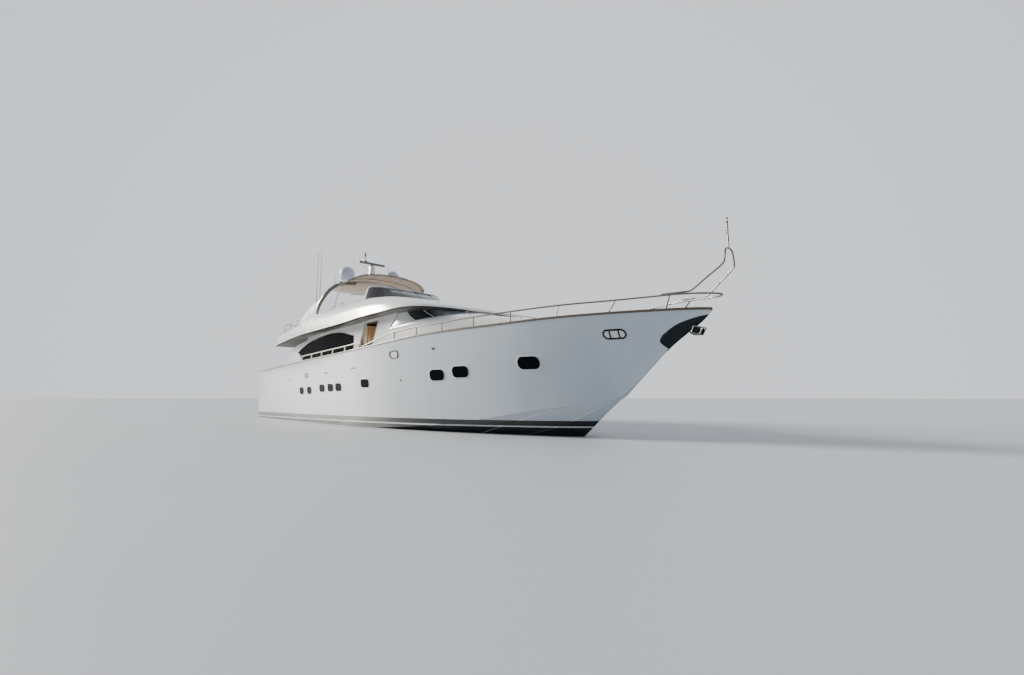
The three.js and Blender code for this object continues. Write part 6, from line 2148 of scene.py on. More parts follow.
@dataclass
class Rails:
    """Pulpit, side rails, hawser rails aft, the bow staff and the flybridge rail."""

    hull: Hull
    shell: FlyShell
    studs: Repeater
    inset: float = 0.045
    tube: float = 0.025
    post: float = 0.02
    fly_post: float = 0.022
    fly_x: float = -8.7

    def base(self, x: float, side: Side) -> np.ndarray:
        """Foot of a rail on the caprail."""
        y = self.hull.lines.at("sheer_y", x) - self.inset
        return np.array([x, side.value * y, self.hull.lines.at("sheer_z", x) + 0.024])

    def top_line(self) -> np.ndarray:
        """Centre line of the bow rail, from the port side round the pulpit.

        Returns:
            Its points.
        """
        rise = ((1.5, 0.06), (2.5, 0.19), (3.6, 0.32), (6.3, 0.31), (8.6, 0.34), (10.6, 0.34), (12.0, 0.34))
        pulpit = ((13.0, 0.66, 3.855), (13.8, 0.5, 3.835), (14.3, 0.37, 3.8), (14.59, 0.17, 3.78))
        lines = []
        for side in Side:
            line = [self.base(x, side) + (0, 0, up) for x, up in rise]
            lines.append(line + [np.array([x, side.value * y, z]) for x, y, z in pulpit])
        return curve(lines[0] + [np.array([14.66, 0, 3.775])] + lines[1][::-1], 8)

    def build(self) -> None:
        """Makes every rail."""
        self.build_bow()
        self.build_aft()
        self.build_staff()
        self.build_fly()

    def build_bow(self) -> None:
        """Makes the bow rail with raked posts and their foot plates."""
        line = self.top_line()
        port = line[line[:, 1] > 0]
        form = Form().tube(line, self.tube, 14)
        feet: list[Ends] = []
        posts = ((3.71, 0.0), (4.96, 0.0), (6.23, 0.0), (7.6, 0.0), (8.99, 0.0), (10.45, 0.1),
                 (11.92, 0.21), (13.34, 0.2))
        for side in Side:
            s = side.value
            start = self.base(1.5, side)
            turn = [start + (-0.03, 0, -0.01), start + (-0.02, 0, 0.03), start + (0, 0, 0.06)]
            form.tube(curve(turn, 4), self.tube, 14)
            feet.append((start, (0, 0, 1)))
            for x, lean in posts:
                foot = self.base(x, side)
                y, z = (float(np.interp(x + lean, port[:, 0], port[:, k])) for k in (1, 2))
                form.rod(foot, (x + lean, s * y, z), self.post, 12)
                feet.append((foot, (0, 0, 1)))
        form.put("steel", "bow_rail_tubes", STAINLESS, nodes=["bow_rail"], sharp=60)
        place(self.studs.set_out("bow_rail_feet", feet, 0.034, 0.024, STAINLESS, 0.55), "steel")

    def build_aft(self) -> None:
        """Makes the cream rail on short posts over the side bulwark, and the faired fore end of the wing."""
        hump = [(-7.15, 2.86), (-6.76, 3.04), (-6.3, 3.23), (-5.9, 3.345), (-5.56, 3.395), (-5.25, 3.345),
                (-4.9, 3.13), (-4.6, 2.93)]
        for side in Side:
            bar, section = [], rounded(0.055, 0.045, 0.016, 4)
            for x in spaced([-4.8, -3.0, 0.0, 1.25], 0.3):
                _, y, z = self.base(x, side)
                bar.append([(x, y + u, z + 0.2445 + v) for u, v in section])
            form = Form().loft(bar)
            for i in range(6):
                x, y, z = self.base(mix(-4.76, 1.21, i / 5), side)
                outline = [(x + u, y + v) for u, v in rounded(0.075, 0.036, 0.012, 3)]
                form.prism(outline, z - 0.005, z + 0.235, "z")
            end = self.base(1.25, side)
            tail = [end + (x, 0, up) for x, up in ((-0.02, 0.24), (0.06, 0.22), (0.13, 0.12), (0.15, 0.0))]
            form.tube(curve(tail, 5), 0.024, 12)
            form.put("trim", f"bulwark_bar_{side.tag}", CREAM, nodes=[f"bulwark_rail_{side.tag}"], sharp=50)
            foot_line = [(x, self.hull.lines.at("sheer_z", x) + 0.02) for x in (-4.6, -5.4, -6.3, -7.15)]
            middle = abs(self.base(-5.5, side)[1])
            fairing = Form().prism([*curve(hump, 6), *foot_line], *side.span(middle - 0.042, middle + 0.042))
            fairing.put("gelcoat", f"wing_fairing_{side.tag}", WHITE, bevel=0.016, segments=3, sharp=40)

    def build_staff(self) -> None:
        """Makes the bow staff with its two lamps."""
        form, lamps, lenses = Form(), Form(), Form()
        for side in Side:
            leg = [(13.3, 0.56, 3.89), (13.75, 0.52, 3.88), (13.99, 0.475, 3.875), (14.07, 0.458, 3.885),
                   (14.16, 0.44, 3.94), (14.5, 0.375, 4.195), (14.81, 0.315, 4.42), (14.875, 0.298, 4.49),
                   (14.892, 0.275, 4.57), (14.895, 0.225, 4.76), (14.895, 0.185, 4.84), (14.893, 0.1, 4.893),
                   (14.893, 0.0, 4.905)]
            form.tube(curve([(x, y * side.value, z) for x, y, z in leg], 5), 0.023, 14)
        form.rod((14.893, 0, 4.89), (14.88, 0, 5.7), 0.022, 12)
        lamps.lathe([(0, 5.56), (0.03, 5.56), (0.034, 5.575), (0.034, 5.6), (0, 5.6)], (14.875, 0, 0), 24)
        lenses.lathe([(0, 5.6), (0.028, 5.6), (0.028, 5.66), (0, 5.66)], (14.877, 0, 0), 24)
        lamps.lathe([(0, 5.66), (0.034, 5.66), (0.034, 5.68), (0.02, 5.705), (0, 5.71)], (14.879, 0, 0), 24)
        lamps.lathe([(0, 5.28), (0.022, 5.28), (0.026, 5.3), (0.026, 5.36), (0.015, 5.38), (0, 5.38)],
                    (14.86, 0, 0), 20)
        form.put("steel", "bow_staff_tubes", STAINLESS, nodes=["bow_staff"], sharp=60)
        lamps.put("dark_steel", "bow_staff_lamps", GREY_TRIM, sharp=50)
        lenses.put("gelcoat", "bow_staff_lens", CLEAR_LENS, sharp=50)

    def build_fly(self) -> None:
        """Makes the rail round the after end of the flybridge."""
        posts = ((-6.72, 0.372), (-7.7, 0.455), (-8.66, 0.52))
        form = Form()
        feet: list[Ends] = []

        def foot(x: float, side: Side) -> np.ndarray:
            """Foot of a post on the coaming."""
            return np.array([x, side.value * (self.shell.half_top(x) - 0.045), self.shell.top(x) - 0.01])

        for part, radius, (x, y, z) in ((1.0, 0.026, (-6.06, 2.8, 5.298)),
                                        (0.5, 0.014, (-6.29, 2.818, 5.11))):
            sides = []
            for side in Side:
                s = side.value
                line = [np.array([x + 0.25 * part, s * y, z + 0.05]), np.array([x, s * y, z])]
                line += [foot(at, side) + (0, 0, up * part) for at, up in posts]
                sides.append(line[:-1] + [line[-1] + (0.06, 0, 0), line[-1] + (-0.03, -s * 0.06, 0)])
            form.tube(sides[0] + sides[1][::-1], radius, 12)
        for x, up in posts:
            for side in Side:
                form.rod(foot(x, side), foot(x, side) + (0, 0, up), self.fly_post, 12)
                feet.append((foot(x, side) + (0, 0, 0.008), (0, 0, 1)))
        z_top = foot(-8.66, Side.PORT)[2] + 0.52
        for y in (-0.9, 0.9):
            form.rod((self.fly_x, y, 4.51), (self.fly_x, y, z_top), 0.016, 12)
            feet.append(((self.fly_x, y, 4.52), (0, 0, 1)))
        form.put("steel", "fly_rail_tubes", CREAM, nodes=["fly_rail"], sharp=60)
        place(self.studs.set_out("fly_rail_feet", feet, 0.036, 0.02, STAINLESS, 0.6), "steel")


# ---- furniture and deck gear


@dataclass
class Upholstery:
    """Stuffed cushions: blocks swelled by cloth under pressure, with a welt sewn round each."""

    voxel: float = 0.028
    frames: int = 14
    pressure: float = 4.0
    cap: float = 0.014
    shrink: float = 0.012
    welt: float = 0.006

    def block(self, form: Form, low: Point, high: Point, slope: float = 0.0) -> None:
        """Adds one cushion's block.

        Args:
            form: the form that it is added to.
            low: its lowest corner.
            high: its highest corner.
            slope: rise of its far end along X.
        """
        s = self.shrink
        x0, y0, z0 = low[0] + s, low[1] + s, low[2]
        x1, y1, z1 = high[0] - s, high[1] - s, high[2] - s
        form.loft([[(x, y0, z0 + up), (x, y1, z0 + up), (x, y1, z1 + up), (x, y0, z1 + up)]
                   for x, up in ((x0, 0.0), (x1, slope))])

    def swell(self, obj: Piece) -> None:
        """Remeshes the blocks and swells them, holding each point near where it began.

        Args:
            obj: the cushions.
        """
        even = obj.modifiers.new("even", "REMESH")
        even.mode, even.voxel_size = "VOXEL", self.voxel
        settle(obj)
        rest = np.array([v.co[:] for v in obj.data.vertices])
        cloth = obj.modifiers.new("cloth", "CLOTH")
        settings = cloth.settings
        settings.use_pressure, settings.uniform_pressure_force = True, self.pressure
        settings.quality, settings.mass = 4, 0.3
        settings.effector_weights.gravity = 0.0
        cloth.point_cache.frame_start, cloth.point_cache.frame_end = 1, self.frames
        for number in range(1, self.frames + 1):
            bpy.context.scene.frame_set(number)
        settle(obj)
        bpy.context.scene.frame_set(1)
        now = np.array([v.co[:] for v in obj.data.vertices])
        move = now - rest
        reach = np.linalg.norm(move, axis=1)
        move *= np.minimum(1.0, self.cap / np.maximum(reach, 1e-9))[:, None]
        under = rest[:, 2] < rest[:, 2].min() + self.voxel
        move[under, 2] = np.maximum(move[under, 2], 0.0)
        obj.data.vertices.foreach_set("co", (rest + move).ravel())
        obj.data.update()
        fine = obj.modifiers.new("fine", "SUBSURF")
        fine.levels = fine.render_levels = 1
        settle(obj)
        smooth(obj, 180)

    def make(self, name: str, blocks: Sequence[tuple], finish: Finish, fill: float, *nodes: str) -> Piece:
        """Makes a set of cushions.

        Args:
            name: the piece's name.
            blocks: arguments of block for each cushion.
            finish: the cloth.
            fill: not used.
            nodes: CAD nodes that they stand for.

        Returns:
            The piece.
        """
        form = Form()
        for one in blocks:
            self.block(form, *one)
        obj = form.piece(name, finish, bevel=0.03, segments=3)
        self.swell(obj)
        obj.data.materials.clear()
        obj.data.materials.append(finish.material())
        place(obj, "cushion", "yacht", *nodes)
        self.sew(obj, name, blocks, finish)
        return obj

    def sew(self, obj: Piece, name: str, blocks: Sequence[tuple], finish: Finish) -> None:
        """Lays a welt on the cushions round the upper edge of each block.

        Args:
            obj: the cushions.
            name: their name.
            blocks: arguments of block for each.
            finish: the cloth.
        """
        welts = Form()
        for low, high, *rest in blocks:
            wide, deep = high[0] - low[0] - 0.05, high[1] - low[1] - 0.05
            outline = rounded(wide, deep, 0.06, 5)
            line = []
            for u, v in outline + outline[:1]:
                rise = sum(rest) * (u / wide + 0.5)
                guess = Vector(((low[0] + high[0]) / 2 + u, (low[1] + high[1]) / 2 + v,
                                high[2] - 0.012 + rise))
                found, at, n, _ = obj.closest_point_on_mesh(guess)
                line.append(at + n * 0.001 if found else guess)
            welts.tube(line, self.welt, 6)
        welts.put("cushion", f"{name}_welts", finish, sharp=80)


def in_row(low: Point, high: Point, step: Point, count: int) -> list[Ends]:
    """Corners of equal blocks, the first of which is given, that follow each other by a step."""
    return [tuple(tuple(c + d * i for c, d in zip(corner, step)) for corner in (low, high))
            for i in range(count)]


def add_wheel(form: Form, hub: np.ndarray, radius: float, steps: int, rim: float, spokes: int,
              shaft: Pair) -> None:
    """Adds a steering wheel that stands across the boat.

    Args:
        form: the form that it is added to.
        hub: its middle.
        radius: its radius.
        steps: points round its rim.
        rim: radius of the rim's bar.
        spokes: how many spokes it has, 3 or 5.
        shaft: length and radius of its shaft.
    """
    def at(a: float) -> np.ndarray:
        """Point of the rim's centre line."""
        return hub + (0, radius * math.cos(a), radius * math.sin(a))

    form.tube([at(a) for a in np.linspace(0, 2 * math.pi, steps)], rim, 12)
    for k in range(spokes):
        form.rod(hub, at(math.pi / 2 + 2 * math.pi * k / spokes), 0.009, 10)
    form.rod(hub, hub + (shaft[0], 0, 0), shaft[1], 14)


@dataclass
class Furniture:
    """Seats, tables, consoles and the galley on every deck."""

    pads: Upholstery
    roof: Coachroof
    fly_floor: float = 4.5203
    deck: float = 2.1503
    helm_floor: float = 2.4503

    def build(self) -> None:
        """Makes all of it."""
        self.build_fly()
        self.build_saloon()
        self.build_wheelhouse()
        self.build_cockpit()
        self.build_sunpad()

    def table(self, name: str, node: str, low: Point, high: Point, legs: Sequence[Point],
              foot_z: float) -> None:
        """Makes a teak table with a fiddled edge on steel legs.

        Args:
            name: its name.
            node: the CAD node that it stands for.
            low: lowest corner of its top.
            high: highest corner of its top.
            legs: where its legs stand.
            foot_z: height of the deck.
        """
        top = Form().prism(rounded(high[0] - low[0], high[1] - low[1], 0.12, 6), low[2], high[2], "z")
        cx, cy = (low[0] + high[0]) / 2, (low[1] + high[1]) / 2
        top.verts = [(x + cx, y + cy, z) for x, y, z in top.verts]
        top.put("teak", name, TABLE_TEAK, nodes=[node], bevel=0.01, segments=3)
        stand = Form()
        z = low[2] - foot_z
        for x, y in legs:
            stand.lathe([(0, 0), (0.16, 0), (0.16, 0.012), (0.07, 0.03), (0.045, 0.06), (0.045, z - 0.05),
                         (0.1, z - 0.01), (0.1, z), (0, z)], (x, y, foot_z), 36)
        stand.put("steel", f"{name}_legs", STAINLESS, sharp=45)

    def build_fly(self) -> None:
        """Makes the flybridge's furniture."""
        z = self.fly_floor
        plinth = Form().block((-3.88, 1.79, z), (-1.12, 2.54, z + 0.3))
        plinth.block((-3.88, 0.42, z), (-3.17, 1.8, z + 0.3))
        plinth.put("gelcoat", "dinette_plinth", MOULDED, bevel=0.02, segments=3)
        seats = in_row((-3.14, 1.76, z + 0.302), (-2.49, 2.54, z + 0.43), (0.67, 0, 0), 3)
        seats += in_row((-3.88, 0.42, z + 0.302), (-3.17, 1.08, z + 0.43), (0, 0.68, 0), 3)
        self.pads.make("dinette_cushions", seats, SAND_CLOTH, 0.7, "fly_dinette")
        self.table("upper_table", "fly_table", (-2.9, 0.55, z + 0.68), (-1.4, 1.45, z + 0.72),
                   [(-2.15, 1.0)], z)
        seats = in_row((-1.6, -1.84, z + 0.425), (-1.01, -1.26, z + 0.55), (0, 0.6, 0), 2)
        seats += in_row((-1.67, -1.84, z + 0.56), (-1.53, -1.26, z + 0.99), (0, 0.6, 0), 2)
        self.pads.make("upper_helm_cushions", seats, SAND_CLOTH, 0.75, "fly_helm_seat")
        base = Form().block((-1.45, -1.7, z), (-1.1, -0.8, z + 0.4))
        base.block((-1.6, -1.82, z + 0.39), (-1.02, -0.68, z + 0.425))
        base.put("gelcoat", "upper_helm_plinth", MOULDED, bevel=0.02, segments=3)
        galley = Form().block((-3.9, -2.54, z), (-2.0, -1.86, z + 0.81))
        galley.put("gelcoat", "galley_front", MOULDED, nodes=["fly_galley"], bevel=0.025, segments=4)
        top = Form().block((-3.92, -2.55, z + 0.812), (-1.98, -1.84, z + 0.85))
        top.put("teak", "galley_top", TABLE_TEAK, bevel=0.008, segments=3)
        bowl = [(0, 0), (0.16, 0), (0.175, 0.004), (0.18, 0.01), (0.165, 0.012), (0.15, 0.003), (0, 0.002)]
        sink = Form().lathe(bowl, (-2.5, -2.2, z + 0.85), 40)
        spout = [(-2.5, y, z + up) for y, up in ((-2.42, 0.85), (-2.42, 1.05), (-2.33, 1.1), (-2.27, 1.05))]
        sink.tube(curve(spout, 6), 0.012, 12)
        sink.put("steel", "galley_basin", STAINLESS, sharp=45)
        doors = Form()
        for corners in in_row((-3.8, -1.862, z + 0.08), (-3.25, -1.848, z + 0.74), (0.6, 0, 0), 3):
            doors.block(*corners)
        doors.put("gelcoat", "galley_doors", WHITE, bevel=0.006, segments=2)
        self.build_console()

    def build_console(self) -> None:
        """Makes the upper helm console with its screens, wheel and levers."""
        z = self.fly_floor
        outline = [(-0.26, z), (0.285, z), (0.285, 5.42), (0.02, 5.478), (-0.18, 5.3)]
        body = Form().prism(outline, -1.9, -0.6)
        body.put("gelcoat", "upper_console", WHITE, nodes=["fly_console"], bevel=0.03, segments=4)
        screens, trim = Form(), Form()
        slope = np.array([0.2, 0.0, 0.178]) / np.linalg.norm([0.2, 0.178])
        out = np.array([-slope[2], 0, slope[0]])
        for y0, y1 in ((-1.75, -1.35), (-1.28, -0.88)):
            base = np.array([-0.15, 0, 5.327])
            ring = []
            for off in (0.0, 0.014):
                a, b = base + out * off, base + slope * 0.2 + out * off
                ring.append([(a[0], y0, a[2]), (b[0], y0, b[2]), (b[0], y1, b[2]), (a[0], y1, a[2])])
            screens.loft(ring)
        add_wheel(trim, np.array([-0.36, -1.25, 5.12]), 0.2, 37, 0.014, 3, (0.13, 0.022))
        for y in (-0.8, -0.74):
            trim.rod((-0.19, y, 5.3), (-0.24, y, 5.42), 0.008, 10)
        screens.put("dark_steel", "upper_screens", SCREEN_BLACK, bevel=0.004)
        trim.put("steel", "upper_wheel", STAINLESS, sharp=60)

    def build_saloon(self) -> None:
        """Makes the saloon's furniture, and the lockers beside the side doors."""
        z = self.deck
        base = Form().block((-5.58, 1.52, z), (-2.62, 2.31, z + 0.28))
        base.block((-5.58, 2.2, z + 0.28), (-2.62, 2.31, z + 0.78))
        base.put("joinery", "saloon_plinth", DARK_WOOD, bevel=0.012)
        seats = in_row((-5.58, 1.51, z + 0.282), (-4.61, 2.08, z + 0.43), (0.99, 0, 0), 3)
        seats += in_row((-5.58, 2.07, z + 0.3), (-4.61, 2.21, z + 0.8), (0.99, 0, 0), 3)
        self.pads.make("saloon_cushions", seats, SAND_CLOTH, 0.65, "saloon_sofa")
        locker = Form().block((-5.6, -2.33, z), (-2.3, -1.76, z + 0.86))
        locker.put("joinery", "saloon_locker", DARK_WOOD, nodes=["saloon_cabinet"], bevel=0.012, segments=3)
        fronts, knobs = Form(), Form()
        for low, high in in_row((-5.55, -1.765, z + 0.1), (-4.95, -1.745, z + 0.8), (0.65, 0, 0), 5):
            fronts.block(low, high)
            knobs.rod((low[0] + 0.3, -1.745, z + 0.72), (low[0] + 0.3, -1.72, z + 0.72), 0.012, 12)
        fronts.block((-5.62, -2.34, z + 0.862), (-2.28, -1.74, z + 0.9))
        fronts.put("joinery", "saloon_fronts", DARK_WOOD, bevel=0.006)
        knobs.put("steel", "saloon_knobs", STAINLESS, sharp=50)
        lockers, strips = Form(), Form()
        for side in (Side.STBD, Side.PORT):
            for form, x0, x1, inner, outer, up, top in (
                    (lockers, -0.7, -0.12, 1.72, 2.38, 0, 4.3),
                    (lockers, -0.125, -0.098, 1.735, 1.94, 0.08, 4.24),
                    (lockers, -0.125, -0.098, 1.955, 2.16, 0.08, 4.24),
                    (strips, -0.125, -0.085, 2.18, 2.37, 0.02, 4.28)):
                low, high = side.span(inner, outer)
                form.block((x0, low, z + up), (x1, high, top))
        lockers.put("joinery", "side_lockers", CASING_WOOD, bevel=0.006)
        strips.put("trim", "side_locker_strips", CREAM, bevel=0.008, segments=2)

    def build_wheelhouse(self) -> None:
        """Makes the wheelhouse's console, wheel and seats."""
        z = self.helm_floor
        console = Form().prism([(4.2, z), (5.05, z), (5.05, 3.95), (4.7, 4.05), (4.25, 3.8)], -1.15, 1.15)
        console.put("joinery", "wheelhouse_console", DARK_WOOD, nodes=["helm_console"], bevel=0.02,
                    segments=3)
        glass, wheel = Form(), Form()
        for y in (-0.75, -0.25, 0.25, 0.75):
            ends = np.array([(4.33, y, 3.855), (4.62, y, 4.02), (4.62, y, 4.02), (4.33, y, 3.855)])
            ends += [(0, d, 0) for d in (-0.2, -0.2, 0.2, 0.2)]
            glass.loft([ends, ends + np.array([-0.5, 0, 0.87]) * 0.012])
        glass.put("dark_steel", "wheelhouse_screens", SCREEN_BLACK, bevel=0.004)
        add_wheel(wheel, np.array([4.12, 0.0, 3.45]), 0.24, 41, 0.015, 5, (0.12, 0.025))
        wheel.put("steel", "wheelhouse_wheel", STAINLESS, sharp=60)
        base = Form().block((3.14, -0.88, z), (3.62, 0.88, z + 0.62))
        base.put("joinery", "wheelhouse_plinth", DARK_WOOD, bevel=0.02, segments=3)
        seats = in_row((3.1, -0.88, z + 0.622), (3.64, -0.3, z + 0.8), (0, 0.6, 0), 3)
        seats += in_row((2.99, -0.88, z + 0.82), (3.16, -0.3, z + 1.44), (0, 0.6, 0), 3)
        self.pads.make("wheelhouse_cushions", seats, SAND_CLOTH, 0.8, "helm_seats")

    def build_cockpit(self) -> None:
        """Makes the cockpit's sofa and table."""
        z = self.deck
        base = Form().block((-12.19, -1.68, z), (-11.52, 1.68, z + 0.27))
        base.block((-12.19, -1.68, z + 0.27), (-12.1, 1.68, z + 0.5))
        base.put("gelcoat", "cockpit_plinth", MOULDED, bevel=0.02, segments=3)
        seats = in_row((-12.0, -1.68, z + 0.272), (-11.51, -0.86, z + 0.42), (0, 0.84, 0), 4)
        seats += in_row((-12.1, -1.68, z + 0.3), (-11.96, -0.86, z + 0.52), (0, 0.84, 0), 4)
        self.pads.make("cockpit_cushions", seats, SAND_CLOTH, 0.7, "cockpit_sofa")
        self.table("aft_table", "cockpit_table", (-10.9, -0.9, z + 0.7), (-9.9, 0.9, z + 0.745),
                   [(-10.4, -0.5), (-10.4, 0.5)], z)

    def build_sunpad(self) -> None:
        """Makes the three mattresses of the foredeck sunpad."""
        low, high = self.roof.crown(6.5), self.roof.crown(8.1)
        pads = [((6.52, a, low - 0.082), (8.08, b, low + 0.018), high - low)
                for a, b in ((-0.93, -0.32), (-0.305, 0.305), (0.32, 0.93))]
        self.pads.make("sunpad_mattresses", pads, SUN_CLOTH, 0.8, "foredeck_sunpad")


@dataclass
class Stern:
    """Swim platform, stair treads' nosings, handrails, cleats and sockets aft."""

    hull: Hull
    studs: Repeater

    def build(self) -> None:
        """Makes all of it."""
        x0, x1, y, c = -13.45, -12.4303, 2.76, 0.35
        corner = curve([(x1, y), (x0 + c * 1.6, y - 0.01), (x0 + c, y - 0.05), (x0 + c * 0.3, y - c * 0.5),
                        (x0 + 0.02, y - c * 1.2), (x0, y - c * 1.8)], 6)
        outline = np.concatenate([corner, corner[::-1] * (1, -1)])
        slab = Form().prism(outline, 0.26, 0.372, "z")
        slab.put("gelcoat", "platform_moulding", WHITE, nodes=["swim_platform"], bevel=0.022, segments=4)
        inner = [(mix(px, -12.95, 0.07), py * 0.965) for px, py in outline]
        teak = Form().prism(inner, 0.368, 0.38, "z")
        teak.put("teak", "platform_teak", DECK, bevel=0.003)
        rails, nosing, cleats = Form(), Form(), Form()
        feet: list[Ends] = []
        for side in Side:
            rail = [(-12.4, 2.4), (-12.4, 3.02), (-12.36, 3.1), (-12.1, 3.14), (-11.75, 3.14),
                    (-11.69, 3.06), (-11.68, 2.16)]
            rails.tube(curve([(x, side.value * 1.9, z) for x, z in rail], 6), 0.016, 12)
            low, high = side.span(1.953, 2.647)
            for i in range(1, self.hull.treads + 1):
                x = self.hull.transom_x + self.hull.stair_run * (i - 1)
                z = self.hull.stair_foot + self.hull.stair_rise * i
                nosing.block((x - 0.012 if i > 1 else x, low, z), (x + 0.03, high, z + 0.012))
            feet += [((x, side.value * 2.55, 0.38), (0, 0, 1)) for x in (-13.1, -12.75)]
            for x in (-12.15, -7.9):
                row = self.hull.lines.row(x)
                add_cleat(cleats, (x, side.value * (row["sheer_y"] - 0.16), row["sheer_z"] + 0.002), 0.32)
        rails.put("steel", "stern_rails", STAINLESS, sharp=60)
        nosing.put("steel", "stair_nosings", STAINLESS, bevel=0.003)
        cleats.put("steel", "stern_cleats", STAINLESS, sharp=50)
        place(self.studs.set_out("platform_sockets", feet, 0.035, 0.008, STAINLESS, 0.8), "steel")


def add_cleat(form: Form, at: Point, length: float) -> None:
    """Adds a mooring cleat with two legs and two horns.

    Args:
        form: the form that it is added to.
        at: the middle of its foot.
        length: from horn to horn along X.
    """
    x, y, z = at
    horn = [(-0.5, 0.058), (-0.34, 0.066), (-0.15, 0.058), (0.15, 0.058), (0.34, 0.066), (0.5, 0.058)]
    form.tube(curve([(x + u * length, y, z + v) for u, v in horn], 4), 0.013, 12)
    for u in (-0.16, 0.16):
        form.rod((x + u * length * 1.15, y, z - 0.002), (x + u * length, y, z + 0.058), 0.016, 12)
    form.lathe([(0, -0.002), (0.045, -0.002), (0.045, 0.006), (0.03, 0.012), (0, 0.012)], (x, y, z), 20)


@dataclass
class Foredeck:
    """Windlass, locker hatch and cleats forward."""

    hull: Hull
    deck_z: float = 2.7503

    def build(self, nodes: dict[str, Piece]) -> None:
        """Makes the deck gear and dresses the hatch and the roller.

        Args:
            nodes: the objects of the CAD nodes by name.
        """
        refinish(nodes["foredeck_hatch"], WHITE)
        refinish(nodes["bow_roller"], PLATE_STEEL)
        z = self.deck_z
        gear, lids, knobs, cleats = Form(), Form(), Form(), Form()
        for form, x, size, low, high in (
                (gear, 12.33, (0.48, 0.3, 0.07, 5), 0, 0.05),
                (gear, 12.33, (0.4, 0.24, 0.06, 5), 0.05, 0.09),
                (lids, 11.5, (0.5, 0.5, 0.05, 5), 0.0395, 0.046),
                (knobs, 11.76, (0.05, 0.12, 0.02, 4), 0.0395, 0.052)):
            form.prism([(x + u, v) for u, v in rounded(*size)], z + low, z + high, "z")
        drum = [(0, 0.06), (0.11, 0.06), (0.112, 0.1), (0.1, 0.13), (0.075, 0.16), (0.07, 0.19),
                (0.075, 0.235), (0.1, 0.27), (0.118, 0.285), (0.12, 0.3), (0.1, 0.318),
                (0.04, 0.328), (0, 0.33)]
        gear.lathe(drum, (12.35, 0, z), 40)
        gear.put("steel", "windlass_drum", STAINLESS, nodes=["windlass"], bevel=0.003, sharp=40)
        lids.put("tinted_glass", "hatch_panel", DARK_GLASS, body="foredeck_hatch", bevel=0.002)
        for y in (-0.2, 0.2):
            knobs.rod((11.215, y - 0.04, z + 0.045), (11.215, y + 0.04, z + 0.045), 0.012, 12)
        knobs.put("steel", "hatch_hardware", STAINLESS, body="foredeck_hatch", sharp=50)
        for side in Side:
            for x, inset, length in ((12.55, 0.16, 0.34), (9.9, 0.16, 0.34), (4.4, 0.1, 0.3)):
                y = side.value * (self.hull.inner(x)[0] - inset)
                add_cleat(cleats, (x, y, self.hull.deck(x)), length)
        cleats.put("steel", "foredeck_cleats", STAINLESS, sharp=50)


@dataclass
class RunningGear:
    """Screws, rudders and brackets, which keep the solids' shapes, and the parts that only need a finish."""

    def dress(self, nodes: dict[str, Piece]) -> None:
        """Gives each of them its finish.

        Args:
            nodes: the objects of the CAD nodes by name.
        """
        for side in Side:
            for name in ("propeller", "shaft_bracket", "rudder"):
                refinish(nodes[f"{name}_{side.tag}"], BRONZE)
        refinish(nodes["garage_door"], WHITE)
        refinish(nodes["passerelle"], STAINLESS)
        refinish(nodes["fly_ladder"], TABLE_TEAK)


# ---- the studio


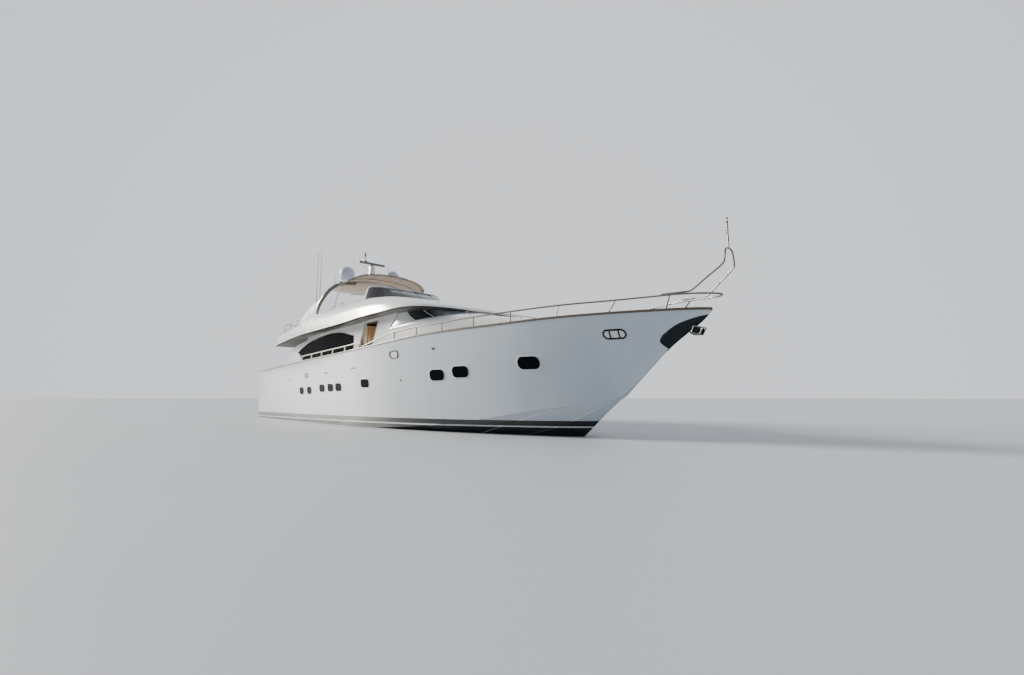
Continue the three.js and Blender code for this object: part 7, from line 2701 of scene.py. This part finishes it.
@dataclass
class Studio:
    """Pale floor at the waterline, soft light and the camera."""

    lens: float = 17.57
    camera_at: Triple = (20.178, -12.197, 1.235)
    yaw: float = 2.39922602
    pitch: float = 0.116484879
    half: float = 260.0
    sky_near: tuple[float, float, float, float] = (0.22, 0.265, 0.33, 1.0)
    sky_far: tuple[float, float, float, float] = (0.8, 0.82, 0.85, 1.0)

    def build(self) -> None:
        """Makes the floor, the lights and the camera."""
        self.build_floor()
        self.build_lights()
        self.build_camera()

    def build_floor(self) -> None:
        """Makes the floor."""
        nodes = Nodes("studio_floor")
        cloud = nodes.noise(0.05, 3.0)
        nodes.set(colour=nodes.blend(cloud, (0.42, 0.445, 0.475), (0.46, 0.48, 0.505)),
                  rough=nodes.ramp(nodes.noise(0.4, 4.0), 0.3, 0.7, 0.5, 0.62))
        h = self.half
        floor = Form().add([(-h, -h, 0), (h, -h, 0), (h, h, 0), (-h, h, 0)], [(0, 1, 2, 3)]).piece("floor")
        floor.data.materials.append(nodes.material)
        if floor.data.polygons[0].normal.z < 0:
            floor.data.flip_normals()

    def build_lights(self) -> None:
        """Makes the sky, the key light from astern and the fill."""
        world = bpy.data.worlds.new("studio_sky")
        world.use_nodes = True
        tree = world.node_tree
        sky = tree.nodes["Background"]
        where = tree.nodes.new("ShaderNodeTexCoord")
        along = tree.nodes.new("ShaderNodeVectorMath")
        along.operation = "DOT_PRODUCT"
        along.inputs[1].default_value = (-0.74, 0.67, 0.0)
        share = tree.nodes.new("ShaderNodeMapRange")
        for slot, value in (("From Min", -0.7), ("From Max", 0.95), ("To Min", 0.0), ("To Max", 1.0)):
            share.inputs[slot].default_value = value
        tone = tree.nodes.new("ShaderNodeValToRGB")
        tone.color_ramp.interpolation = "EASE"
        tone.color_ramp.elements[0].color = self.sky_near
        tone.color_ramp.elements[1].color = self.sky_far
        tree.links.new(where.outputs["Generated"], along.inputs[0])
        tree.links.new(along.outputs["Value"], share.inputs["Value"])
        tree.links.new(share.outputs["Result"], tone.inputs["Fac"])
        tree.links.new(tone.outputs["Color"], sky.inputs["Color"])
        sky.inputs["Strength"].default_value = 1.25
        bpy.context.scene.world = world
        for name, power, spread, colour, aim in (("key", 7.0, 0.3, (1.0, 0.94, 0.85), (-0.82, -0.45, 0.36)),
                                                 ("fill", 0.25, 1.2, (0.85, 0.92, 1.0), (-0.2, 0.5, 0.8))):
            lamp = bpy.data.lights.new(name, "SUN")
            lamp.energy, lamp.angle, lamp.color = power, spread, colour
            obj = bpy.data.objects.new(name, lamp)
            obj.rotation_euler = Vector(aim).to_track_quat("Z", "Y").to_euler()
            bpy.context.scene.collection.objects.link(obj)
        for side in Side:
            lamp = bpy.data.lights.new(f"cabin_lamp_{side.tag}", "POINT")
            lamp.energy, lamp.shadow_soft_size, lamp.color = 20.0, 0.25, (1.0, 0.82, 0.62)
            obj = bpy.data.objects.new(lamp.name, lamp)
            obj.location = (1.05, 1.7 * side.value, 3.9)
            bpy.context.scene.collection.objects.link(obj)

    def build_camera(self) -> None:
        """Makes the camera low over the water on the starboard bow."""
        data = bpy.data.cameras.new("camera")
        data.lens, data.sensor_width, data.clip_end = self.lens, 36.0, 900.0
        obj = bpy.data.objects.new("camera", data)
        obj.location = self.camera_at
        obj.rotation_euler = (math.pi / 2 + self.pitch, 0.0, self.yaw - math.pi / 2)
        bpy.context.scene.collection.objects.link(obj)
        bpy.context.scene.camera = obj


def main() -> None:
    """Builds the yacht class by class."""
    logging.basicConfig(level=logging.INFO, format="%(name)s: %(message)s")
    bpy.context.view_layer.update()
    nodes = frame["nodes"]
    Studio().build()
    studs, stitches = Repeater("turned_heads"), Repeater("stitches", 5)
    hull, shell = Hull(), FlyShell()
    hull.build()
    Caprail(hull).build()
    Topsides(hull, studs).build()
    AnchorPlate(hull).build()
    shell.build()
    house, roof = House(), Coachroof(hull)
    house.dress(nodes)
    house.build()
    roof.build()
    Windscreens(shell).build()
    RadarArch().build(studs)
    Canopy().build(stitches)
    Rails(hull, shell, studs).build()
    Furniture(Upholstery(), roof).build()
    Stern(hull, studs).build()
    Foredeck(hull).build(nodes)
    RunningGear().dress(nodes)


if __name__ == "__main__":
    main()
